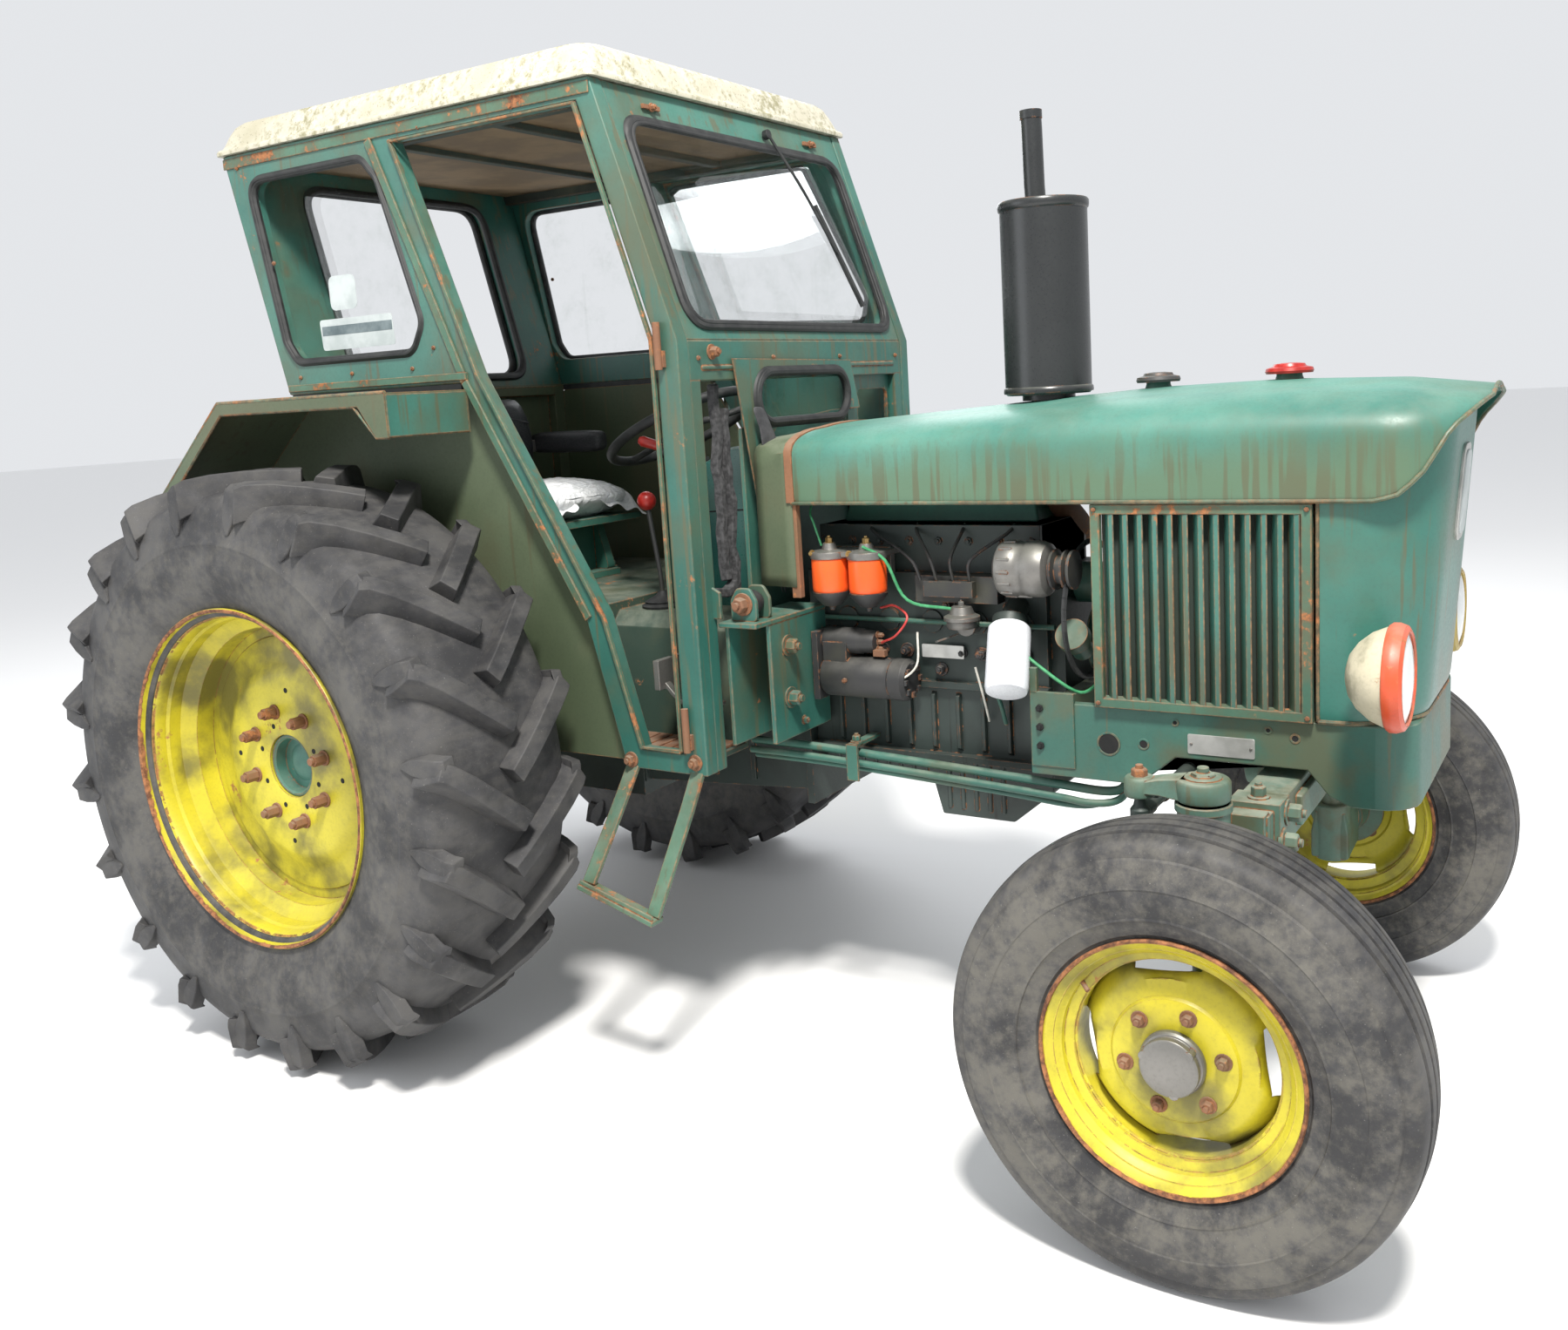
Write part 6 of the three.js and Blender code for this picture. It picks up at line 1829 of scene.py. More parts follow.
        pipes.tube([(1.10, -0.16, 1.02), (1.72, -0.165, 1.02)], 0.006, 10)
        self.publish(pipes, "oil_pipes", "chassis", Finishes.DEEP, 0.0)
        wires = {"wire_red": (Finishes.WIRE_RED,
                              [(1.315, -0.205, 0.975), (1.37, -0.235, 1.0), (1.395, -0.225, 1.04),
                               (1.35, -0.20, 1.06), (1.30, -0.175, 1.05)]),
                 "wire_green": (Finishes.WIRE_GREEN,
                                [(1.19, -0.24, 1.20), (1.18, -0.25, 1.25), (1.165, -0.24, 1.275),
                                 (1.15, -0.2, 1.30)]),
                 "fuel_pipe_green": (Finishes.WIRE_GREEN,
                                     [(1.305, -0.252, 1.20), (1.36, -0.25, 1.17), (1.40, -0.23, 1.08),
                                      (1.50, -0.21, 1.06)]),
                 "wire_white": (Finishes.WIRE_WHITE,
                                [(1.33, -0.21, 0.93), (1.37, -0.24, 0.90), (1.41, -0.22, 0.93), (1.40, -0.19, 1.0)]),
                 "wire_long": (Finishes.WIRE_GREEN,
                               [(1.60, -0.18, 1.05), (1.66, -0.245, 1.0), (1.73, -0.26, 0.95), (1.80, -0.235, 0.90),
                                (1.83, -0.18, 0.92)]),
                 "dipstick": (Finishes.WIRE_WHITE,
                              [(1.555, -0.16, 0.80), (1.555, -0.185, 0.86), (1.545, -0.20, 0.93)])}
        for name, (finish, run) in wires.items():
            self.publish(Forge().tube(smooth_path(run), 0.0036 if "pipe" in name or "long" in name else 0.0026, 8),
                         name, "chassis", finish)
        clutter = Forge()
        rng = random.Random(5)
        for _ in range(16):
            x, z = rng.uniform(1.14, 1.66), rng.choice((0.91, 0.95, 1.06, 1.10))
            clutter.bolt((x, -0.152, z), (0, -1, 0), rng.uniform(0.014, 0.024))
        clutter.box((1.40, -0.19, 1.07), (1.60, -0.152, 1.13)).box((1.43, -0.21, 1.085), (1.55, -0.185, 1.12))
        for i in range(4):
            clutter.tube(smooth_path([(1.42 + i * 0.04, -0.20, 1.12), (1.40 + i * 0.05, -0.21, 1.17),
                                      (1.28 + i * 0.11, -0.15, 1.22), (1.25 + i * 0.12, -0.11, 1.235)]), 0.004, 8)
        self.publish(clutter, "injection_gear", "chassis", Finishes.PART_BLACK, 0.0008)

    def build(self) -> None:
        """Builds the engine bay."""
        self.build_block()
        self.build_starter()
        self.build_filters()
        self.build_generator()
        self.build_small_parts()


# ---------------------------------------------------------------- cab
@dataclass
class Cab(SubAssembly):
    """The welded cab: sides, front, back, roof, windows, door, floor, brackets and mudguards."""

    half: float = 0.513
    skin: float = 0.040
    roof_base: float = 2.236
    rear_top: float = -0.417
    rear_belt: float = -0.254
    front_top: float = 0.846
    front: float = 1.032
    belt: float = 1.612
    scuttle: float = 1.670
    sill: float = 0.715

    def rear_at(self, z: float) -> float:
        """Where the slanting back is at a height."""
        return self.rear_top + (self.roof_base - z) * (self.rear_belt - self.rear_top) / (self.roof_base - self.belt)

    def front_at(self, z: float) -> float:
        """Where the slanting windscreen is at a height."""
        return self.front_top + (self.roof_base - z) * (self.front - self.front_top) / (self.roof_base - self.scuttle)

    @property
    def doorway(self) -> list[tuple[float, float]]:
        """The doorway's outline as (x, z)."""
        return [(0.222, 2.190), (0.806, 2.190), (0.972, self.scuttle + 0.008), (0.972, 0.762), (0.846, 0.762),
                (0.762, 1.068), (0.432, 1.628)]

    @property
    def quarter(self) -> list[tuple[float, float]]:
        """The quarter window's outline as (x, z)."""
        return [(-0.325, 2.165), (0.110, 2.165), (0.160, 2.110), (0.270, 1.762), (0.228, 1.692), (-0.205, 1.692),
                (-0.243, 1.745)]

    def build_side(self, side: Side) -> None:
        """Pillars, rails and panels of one side, with the frame's raised edges, seals and step."""
        body = [(self.rear_at(self.roof_base) + 0.001, self.roof_base),
                (self.front_at(self.roof_base) - 0.001, self.roof_base),
                (self.front - 0.001, self.scuttle), (self.front - 0.001, self.sill), (0.800, self.sill),
                (0.710, 1.060),
                (0.382, self.belt), (self.rear_at(self.belt), self.belt)]
        window = rounded(self.quarter, 0.055)
        shell = Forge().prism(body, Axis.Y, self.half - self.skin, self.half, [self.doorway, window])
        word = side.word
        self.publish(shell.onto(side), f"cab_side_frame_{word}", "chassis", Finishes.GREEN, 0.004,
                     [f"cab_side_{word}"])
        trim = Forge()
        top = self.half + 0.004
        trim.strap([(-0.412, top - 0.002, 2.214), (0.846, top - 0.002, 2.214)], 0.004, 0.026)
        trim.strap([(0.222, top, 2.186), (0.806, top, 2.186)], 0.010, 0.006)
        trim.strap([(0.222, top, 2.190), (0.440, top, 1.628), (0.768, top, 1.064), (0.852, top, 0.768),
                    (0.965, top, 0.768)], 0.010, 0.009)
        trim.strap([(0.802, top, 2.186), (0.966, top, 1.674), (0.966, top, 0.768)], 0.010, 0.009)
        trim.strap([(-0.245, top, 1.628), (0.405, top, 1.628)], 0.010, 0.018)
        trim.strap([(0.145, top - 0.001, 2.200), (0.395, top - 0.001, 1.616)], 0.007, 0.022)
        trim.strap([(0.395, top - 0.001, 1.616), (0.722, top - 0.001, 1.060)], 0.007, 0.020)
        self.publish(trim.onto(side), f"cab_side_trim_{word}", "chassis", Finishes.STEP, 0.002)
        seal, mid = Forge(), self.half - 0.006
        loop = [Vector((x, mid, z)) for x, z in rounded(self.quarter, 0.05, 8)]
        for offset, radius in ((0.0, 0.0115), (0.008, 0.006)):
            ring = [p + Vector((0, offset, 0)) for p in loop]
            seal.tube([*ring, ring[0], ring[1]], radius, 10)
        self.publish(seal.onto(side), f"quarter_window_seal_{word}", "chassis", Finishes.SEAL)
        pane = Forge().prism(rounded(self.quarter, 0.05, 8), Axis.Y, self.half - 0.0165, self.half - 0.0135)
        self.publish(pane.onto(side), f"quarter_pane_{word}", "chassis", Finishes.GLASS, 0.0,
                     [f"quarter_glass_{word}"])
        if side is Side.RIGHT:
            sticker = Forge().prism(rounded([(-0.115, 1.718), (0.155, 1.718), (0.150, 1.795), (-0.120, 1.795)], 0.01),
                                    Axis.Y, self.half - 0.0135, self.half - 0.0128)
            band = Forge().prism([(-0.112, 1.755), (0.148, 1.755), (0.148, 1.778), (-0.112, 1.778)], Axis.Y,
                                 self.half - 0.0128, self.half - 0.0122)
            small = Forge().prism(rounded([(-0.07, 1.815), (0.03, 1.815), (0.03, 1.90), (-0.07, 1.90)], 0.02), Axis.Y,
                                  self.half - 0.0135, self.half - 0.0129)
            self.publish(sticker.mirror(), "window_sticker_blank", "chassis", Finishes.STICKER)
            self.publish(band.mirror(), "window_sticker_band", "chassis", Finishes.STICKER_DARK)
            self.publish(small.mirror(), "window_sticker_small", "chassis", Finishes.STICKER)
        screws = Forge()
        for x, z in ((-0.20, 1.655), (0.0, 1.655), (0.22, 1.655), (-0.36, 2.20), (0.32, 2.205), (0.62, 2.205),
                     (0.30, 1.70), (-0.255, 1.95)):
            screws.bolt((x, self.half, z), (0, 1, 0), 0.011, washer=False, sides=10, reach=0.35)
        for z in (1.655, 0.815):
            screws.tube([(0.988, self.half + 0.012, z - 0.045), (0.988, self.half + 0.012, z + 0.055)], 0.0085, 14)
            screws.box((0.975, self.half - 0.002, z - 0.04), (0.999, self.half + 0.010, z - 0.005))
        self.publish(screws.onto(side), f"cab_side_screws_{word}", "chassis", Finishes.RUSTED, 0.0008)
        strip = Forge().box((-0.250, 0.474, 1.5965), (0.375, 0.508, 1.613))
        self.publish(strip.onto(side), f"mudguard_joint_strip_{word}", "chassis", Finishes.SEAL, 0.002)
        self.build_step(side)

    def build_step(self, side: Side) -> None:
        """The hanging stirrup with a worn tread."""
        step, foot = Forge(), 0.655
        step.strap([(0.815, 0.497, 0.735), (0.815, 0.507, 0.722), (0.808, 0.545, 0.66), (0.784, foot, 0.482)], 0.036,
                   0.011, (1, 0, 0))
        step.strap([(1.000, 0.497, 0.735), (1.000, 0.507, 0.722), (0.992, 0.545, 0.645), (0.964, foot, 0.432)], 0.036,
                   0.011, (1, 0, 0))
        step.strap([(0.768, foot + 0.004, 0.481), (0.978, foot + 0.004, 0.424)], 0.042, 0.013)
        step.strap([(0.772, foot + 0.018, 0.486), (0.976, foot + 0.018, 0.431)], 0.006, 0.022)
        self.publish(step.onto(side), f"stirrup_step_{side.word}", "chassis", Finishes.STEP, 0.003)
        bolts = Forge().bolt((0.815, 0.514, 0.735), (0, 1, 0), 0.026, reach=0.5).bolt((1.0, 0.514, 0.745), (0, 1, 0),
                0.026, reach=0.5)
        self.publish(bolts.onto(side), f"step_bolts_{side.word}", "chassis", Finishes.RUSTED, 0.001)

    def screen_outline(self, grow: float) -> list[tuple[float, float]]:
        """The windscreen opening as (y, z), larger by grow."""
        y, low, high = 0.448 + grow, 1.700 - grow, 2.162 + grow
        return rounded([(-y, low), (y, low), (y - 0.004, high), (-y + 0.004, high)], 0.062, 8)

    def build_front(self) -> None:
        """Windscreen frame, rubber, pane, corner posts, bulkhead and left lower panel."""
        inner, rail = self.half - self.skin - 0.0004, 1.582
        slope = Matrix(((1, 0, -(self.front - self.front_top) / (self.roof_base - self.scuttle), 0), (0, 1, 0, 0),
                        (0, 0, 1, 0), (0, 0, 0, 1)))
        settle = Matrix.Translation((self.front, 0, self.scuttle)) @ slope @ Matrix.Translation((0, 0, -self.scuttle))
        frame_face = [(-inner, self.scuttle), (inner, self.scuttle), (inner, self.roof_base - 0.001),
                      (-inner, self.roof_base - 0.001)]
        upper = Forge().prism(frame_face, Axis.X, -0.044, -0.004, [self.screen_outline(0)]).turn(settle)
        lower = Forge().box((self.front - 0.043, -inner, rail), (self.front - 0.003, inner, self.scuttle + 0.001))
        lower.box((self.front - 0.048, -0.43, rail + 0.024), (self.front + 0.001, 0.43, rail + 0.034))
        for y in (-1, 1):
            a, b = sorted((y * inner, y * (inner - 0.038)))
            lower.box((self.front - 0.043, a, self.sill), (self.front - 0.003, b, rail + 0.005))
        self.publish(upper, "windscreen_frame", "chassis", Finishes.GREEN, 0.004, ["cab_front"])
        self.publish(lower, "cab_front_posts", "chassis", Finishes.GREEN, 0.004)
        dark = Forge().box((self.front - 0.043, -0.255, 1.015), (self.front - 0.031, 0.255, 1.472))
        for y in (-0.240, 0.205):
            dark.box((self.front - 0.043, y, 1.462), (self.front - 0.020, y + 0.035, rail + 0.005))
        self.publish(dark, "cab_bulkhead", "chassis", Finishes.DEEP, 0.002)
        left = Forge().prism([(0.200, 1.030), (inner, 1.030), (inner, rail + 0.004), (0.200, rail + 0.004)], Axis.X,
                             self.front - 0.031,
                             self.front - 0.023, [rounded([(0.262, 1.330), (0.420, 1.330), (0.420, 1.545),
                                                           (0.262, 1.545)], 0.02)])
        self.publish(left, "cab_front_left_panel", "chassis", Finishes.GREEN, 0.002)
        pane = Forge().prism(rounded([(0.255, 1.323), (0.427, 1.323), (0.427, 1.552), (0.255, 1.552)], 0.02), Axis.X,
                             self.front - 0.022, self.front - 0.019)
        self.publish(pane, "lower_left_perspex", "chassis", Finishes.GLASS)
        seal = Forge()
        for grow, lift, radius in ((-0.004, -0.005, 0.0125), (-0.010, 0.003, 0.006)):
            ring = [Vector((lift, y, z)) for y, z in self.screen_outline(grow)]
            seal.tube([*ring, ring[0], ring[1]], radius, 10)
        self.publish(seal.turn(settle), "windscreen_rubber", "chassis", Finishes.SEAL)
        glass = Forge().prism(self.screen_outline(-0.001), Axis.X, -0.022, -0.018).turn(settle)
        self.publish(glass, "windscreen_pane", "chassis", Finishes.GLASS, 0.0, ["windscreen"])
        wiper = Forge().tube([(self.front_at(2.19) + 0.002, 0.12, 2.19), (self.front_at(2.19) + 0.016, 0.12, 2.192)],
                             0.012, 16)
        wiper.tube(smooth_path([(self.front_at(2.19) + 0.014, 0.12, 2.19), (self.front_at(2.05) + 0.02, 0.19, 2.05),
                                (self.front_at(1.9) + 0.016, 0.26, 1.90)]), 0.004, 8)
        wiper.strap([(self.front_at(2.0) + 0.008, 0.23, 2.02), (self.front_at(1.75) + 0.008, 0.31, 1.76)], 0.012,
                    0.010)
        self.publish(wiper, "wiper", "chassis", Finishes.SEAL, 0.001)
        latches = Forge()
        for y in (-0.33, 0.33):
            latches.box((self.front_at(2.195), y - 0.03, 2.188), (self.front_at(2.195) + 0.007, y + 0.03, 2.198))
            latches.bolt((self.front_at(2.193) + 0.006, y, 2.193), (1, 0, 0), 0.014)
        for y in (-0.44, -0.15, 0.15, 0.44):
            latches.bolt((self.front - 0.003, y, 1.632), (1, 0, 0), 0.012, washer=False, reach=0.35)
        latches.bolt((self.front - 0.003, -0.39, 1.645), (1, 0, 0), 0.024)
        self.publish(latches, "windscreen_fixings", "chassis", Finishes.RUSTED, 0.0008)

    def build_loose_panel(self) -> None:
        """The loose lower panel with its oval window, torn rubber and foam strips."""
        corners = [(-0.325, 1.630), (0.190, 1.622), (0.225, 1.500), (0.090, 1.500), (-0.150, 1.480), (-0.222, 1.420),
                   (-0.190, 1.120), (-0.222, 1.112)]
        oval = [(-0.180 + 0.058 * math.cos(t),
                 1.540 + 0.058 * math.sin(t)) for t in (math.pi / 2 + math.pi * i / 14 for i in range(15))]
        oval += [(0.105 + 0.058 * math.cos(t),
                  1.540 + 0.058 * math.sin(t)) for t in (-math.pi / 2 + math.pi * i / 14 for i in range(15))]
        sheet = Forge().prism(corners, Axis.X, self.front + 0.002, self.front + 0.006, [oval])
        self.publish(sheet, "loose_panel_sheet", "chassis", Finishes.GREEN, 0.001, ["loose_front_panel"])
        seal = Forge()
        for grow, x, radius in ((0.0, 0.007, 0.011), (0.006, 0.004, 0.010)):
            ring = [Vector((self.front + x, y + math.copysign(grow, y + 0.04),
                            1.54 + (z - 1.54) * (1 + grow * 10))) for y, z in oval]
            seal.tube([*ring, ring[0], ring[1]], radius, 10)
        self.publish(seal, "oval_window_rubber", "chassis", Finishes.SEAL)
        pane = Forge().prism(oval, Axis.X, self.front + 0.0045, self.front + 0.0075)
        self.publish(pane, "oval_window_pane", "chassis", Finishes.MISTED)
        rng = random.Random(11)
        torn = Forge()
        rows = []
        for i in range(26):
            t = i / 25
            z = 1.520 - 0.415 * t
            y = -0.262 + 0.075 * t + 0.01 * math.sin(t * 9)
            width = 0.038 + 0.03 * math.sin(t * math.pi) + rng.uniform(-0.004, 0.006)
            x = self.front + 0.020 + 0.012 * math.sin(t * 5) + rng.uniform(-0.001, 0.002)
            rows.append([(x, y - width * 0.5, z + rng.uniform(-0.003, 0.003)), (x + 0.005, y, z),
                         (x + 0.001, y + width * 0.6, z + rng.uniform(-0.003, 0.003))])
        torn.sheet(rows)
        for i in range(5):
            y = -0.215 + i * 0.013
            torn.sheet([[(self.front + 0.022, y, 1.11), (self.front + 0.022, y + 0.009, 1.11)],
                        [(self.front + 0.026, y + 0.003, 1.09 - rng.uniform(0, 0.025)),
                         (self.front + 0.026, y + 0.008, 1.085)]])
        self.publish(torn, "torn_rubber_strip", "chassis", Finishes.STRIP, 0.0, subdivide=1, thickness=0.003)
        foam = Forge()
        for y, x, top, low in ((-0.345, 0.992, 1.575, 1.13), (-0.322, 1.002, 1.52, 1.10)):
            path = [(x + rng.uniform(-0.004, 0.004), y + rng.uniform(-0.004, 0.004),
                     top - (top - low) * i / 12) for i in range(13)]
            foam.strap(path, 0.018, 0.022)
        foam.strap(smooth_path([(0.994, -0.455, 1.098), (1.0, -0.41, 1.112), (1.0, -0.355, 1.105),
                                (1.004, -0.32, 1.13)]), 0.026, 0.02, (1, 0, 0))
        self.publish(foam.fine(1), "foam_strips", "chassis", Finishes.FOAM, 0.004)

    def build_bracket(self, side: Side) -> None:
        """The bracket with its clevis, rubber bush and bolts under the cab's front corner."""
        made = Forge()
        made.box((1.044, 0.166, 1.042), (1.146, 0.455, 1.054)).box((1.050, 0.166, 0.770), (1.060, 0.440, 1.046))
        made.box((1.132, 0.166, 0.770), (1.144, 0.400, 1.046))
        made.prism([(1.058, 0.770), (1.134, 0.770), (1.134, 0.80), (1.058, 1.04)], Axis.Y, 0.166, 0.176)
        for y in (0.372, 0.424):
            made.prism(rounded([(1.062, 1.052), (1.132, 1.052), (1.132, 1.10), (1.115, 1.128), (1.080, 1.128),
                                (1.062, 1.10)], 0.016), Axis.Y, y - 0.005, y + 0.005)
        made.prism([(0.99, 1.06), (1.05, 1.06), (1.05, 1.12), (0.99, 1.15)], Axis.Y, 0.440, 0.450)
        word = side.word
        self.publish(made.onto(side), f"cab_mount_{word}", "chassis", Finishes.GREEN, 0.003, [f"cab_bracket_{word}"])
        bush = Forge().lathe([(0.008, 0.377), (0.022, 0.379), (0.028, 0.392), (0.028, 0.404), (0.022, 0.417),
                              (0.008, 0.419)], (1.097, 0, 1.092), Axis.Y, 28)
        self.publish(bush.onto(side), f"cab_mount_bush_{word}", "chassis", Finishes.SEAL)
        bolts = Forge().tube([(1.097, 0.355, 1.092), (1.097, 0.440, 1.092)], 0.009, 14).bolt((1.097, 0.429, 1.092),
                (0, 1, 0), 0.036, reach=0.6)
        bolts.bolt((1.097, 0.367, 1.092), (0, -1, 0), 0.034, reach=0.5)
        self.publish(bolts.onto(side), f"cab_mount_bolt_{word}", "chassis", Finishes.RUSTED, 0.0015)
        heads = Forge()
        for z in (0.985, 0.865):
            heads.bolt((1.144, 0.335, z), (1, 0, 0), 0.034)
        heads.bolt((1.144, 0.285, 0.80), (1, 0, 0), 0.016)
        self.publish(heads.onto(side), f"cab_mount_heads_{word}", "chassis", Finishes.GREEN, 0.0015)

    def build_rear(self) -> None:
        """Back frame round the open window, with its rubber, and the lower back panel with its stiffeners."""
        inner = self.half - self.skin - 0.0004
        slope = (self.rear_belt - self.rear_top) / (self.roof_base - self.belt)
        lean = Matrix(((1, 0, -slope, 0), (0, 1, 0, 0), (0, 0, 1, 0), (0, 0, 0, 1)))
        settle = Matrix.Translation((self.rear_belt, 0, self.belt)) @ lean @ Matrix.Translation((0, 0, -self.belt))
        hole = rounded([(-0.330, 1.640), (0.330, 1.640), (0.330, 2.172), (-0.330, 2.172)], 0.07, 8)
        upper = Forge().prism([(-inner, self.belt), (inner, self.belt), (inner, self.roof_base - 0.001),
                               (-inner, self.roof_base - 0.001)],
                              Axis.X, 0.0, 0.042, [hole]).turn(settle)
        self.publish(upper, "cab_back_frame", "chassis", Finishes.GREEN, 0.004, ["cab_rear"])
        rubber = Forge()
        ring = [Vector((0.0, y * 0.985, 1.906 + (z - 1.906) * 0.985)) for y, z in hole]
        rubber.tube([*ring, ring[0], ring[1]], 0.012, 10)
        ring = [p + Vector((0.042, 0, 0)) for p in ring]
        rubber.tube([*ring, ring[0], ring[1]], 0.012, 10)
        self.publish(rubber.turn(settle), "rear_window_rubber", "chassis", Finishes.SEAL)
        lower = Forge().box((self.rear_belt, -inner, 1.060), (self.rear_belt + 0.012, inner, self.belt + 0.001))
        lower.box((self.rear_belt, -inner, 1.060),
                  (self.rear_belt + 0.042, -inner + 0.04, self.belt)).box((self.rear_belt, inner - 0.04, 1.060),
                          (self.rear_belt + 0.042, inner, self.belt))
        for y in (-0.22, 0.0, 0.22):
            lower.box((self.rear_belt - 0.006, y - 0.012, 1.10), (self.rear_belt + 0.03, y + 0.012, self.belt - 0.02))
        lower.box((self.rear_belt - 0.004, -inner, self.belt - 0.03), (self.rear_belt + 0.042, inner, self.belt))
        self.publish(lower, "cab_back_panel", "chassis", Finishes.OLIVE, 0.003)

    def build_roof(self) -> None:
        """Moulded roof with a flanged lip, and the brown lining under it."""
        lip = 0.014
        x0, x1, half = self.rear_top - lip, self.front_top + lip, self.half + lip
        rings = []
        for z, inset, corner in ((self.roof_base + 0.001, 0.012, 0.02), (self.roof_base, 0.001, 0.02),
                                 (self.roof_base + 0.008, 0.0, 0.022),
                                 (self.roof_base + 0.013, 0.003, 0.024), (self.roof_base + 0.016, 0.010, 0.026),
                                 (self.roof_base + 0.022, 0.0125, 0.03),
                                 (self.roof_base + 0.050, 0.022, 0.04), (self.roof_base + 0.070, 0.031, 0.05),
                                 (self.roof_base + 0.080, 0.042, 0.06),
                                 (self.roof_base + 0.0855, 0.060, 0.07), (self.roof_base + 0.088, 0.10, 0.08),
                                 (self.roof_base + 0.0895, 0.25, 0.1)):
            ring = rounded([(x0 + inset, -half + inset), (x1 - inset, -half + inset), (x1 - inset, half - inset),
                            (x0 + inset, half - inset)], corner, 6)
            rings.append([(x, y, z) for x, y in ring])
        self.publish(Forge().loft(rings), "roof_moulding", "chassis", Finishes.ROOF, 0.0, ["cab_roof"], angle=50)
        lining = Forge().box((-0.36, -0.465, 2.214), (0.80, 0.465, 2.222)).fine(6)
        lining.warp(lambda p: p + Vector((0, 0,
                                          -0.010 * max(0, math.sin((p.x + 0.36) * 5.2)) * (1 - (p.y / 0.5) ** 2))))
        self.publish(lining, "roof_lining", "chassis", Finishes.BOARD, 0.0)
        # The rails under the roof are finished near-black as painted shade.
        rails = Forge()
        for x in (0.10, 0.46):
            rails.box((x, -0.47, 2.196), (x + 0.03, 0.47, 2.214))
        rails.box((-0.39, -0.472, 2.188), (0.83, -0.444, 2.235)).box((-0.39, 0.444, 2.188), (0.83, 0.472, 2.235))
        self.publish(rails, "roof_rails", "chassis", Finishes.DARK, 0.003)

    def build_door(self) -> None:
        """The left door with its window, rubber, handle and hinges."""
        outline = self.doorway
        centre = Vector((sum(x for x, _ in outline) / 7, sum(z for _, z in outline) / 7))
        leaf = [(x + math.copysign(0.012, x - centre.x), z + math.copysign(0.012, z - centre.y)) for x, z in outline]
        hole = rounded([(0.224, 2.152), (0.268, 2.178), (0.716, 2.178), (0.906, 1.800), (0.890, 1.728),
                        (0.330, 1.762)], 0.03)
        low, high = self.half + 0.003, self.half + 0.027
        door = Forge().prism(leaf, Axis.Y, low + 0.004, low + 0.010, [hole])
        self.publish(door, "door_skin", "door", Finishes.GREEN, 0.0015, ["door_left"])
        rim = Forge()
        ring = [Vector((x * 0.985 + 0.009, low + 0.011, 1.45 + (z - 1.45) * 0.985)) for x, z in leaf]
        rim.strap([*ring, ring[0]], 0.022, 0.024)
        rim.strap([(0.44, low + 0.011, 1.68), (0.955, low + 0.011, 1.68)], 0.022, 0.03)
        self.publish(rim, "door_frame", "door", Finishes.GREEN, 0.003)
        seal = Forge()
        line = [Vector((x, low + 0.012, z)) for x, z in hole]
        seal.tube([*line, line[0], line[1]], 0.0105, 10)
        self.publish(seal, "door_window_rubber", "door", Finishes.SEAL)
        pane = Forge().prism(hole, Axis.Y, self.half + 0.0125, self.half + 0.0165)
        self.publish(pane, "door_pane", "door", Finishes.GLASS, 0.0, ["door_glass_left"])
        handle = Forge().tube(smooth_path([(0.50, high - 0.01, 1.56), (0.50, high + 0.008, 1.555),
                                           (0.55, high + 0.012, 1.535), (0.60, high + 0.008, 1.515),
                                           (0.60, high - 0.01, 1.51)]), 0.007, 12)
        handle.bolt((0.49, low + 0.010, 1.60), (0, 1, 0), 0.026, sides=12, reach=0.5)
        self.publish(handle, "door_handle", "door", Finishes.STEEL, 0.001)
        hinge = Forge()
        for z in (1.60, 0.88):
            hinge.box((0.900, low + 0.008, z - 0.02), (0.978, low + 0.016, z + 0.02))
        self.publish(hinge, "door_hinge_leaves", "door", Finishes.RUSTED, 0.0015)

    def build_floor(self) -> None:
        """Platform plates, gearbox cover with boot, riser and seat deck."""
        self.refine("cab_floor", "chassis", Finishes.FLOOR, 0.003)
        mats = Forge()
        for y in (-1, 1):
            a, b = sorted((y * 0.315, y * 0.465))
            mats.box((0.615, a, 0.7352), (0.975, b, 0.742))
            for i in range(9):
                mats.box((0.63 + i * 0.037, a + 0.01, 0.741), (0.638 + i * 0.037, b - 0.01, 0.745))
        self.publish(mats, "floor_plates_rusty", "chassis", Finishes.RUSTED, 0.001)
        pedals = Forge()
        for y in (0.34, -0.35, -0.42):
            pedals.box((0.845, y - 0.03, 0.885),
                       (0.862, y + 0.03, 0.955)).strap(smooth_path([(0.855, y, 0.90), (0.90, y, 0.86),
                               (0.965, y, 0.84)]), 0.02, 0.01)
        self.publish(pedals, "pedals", "chassis", Finishes.STEEL, 0.002)

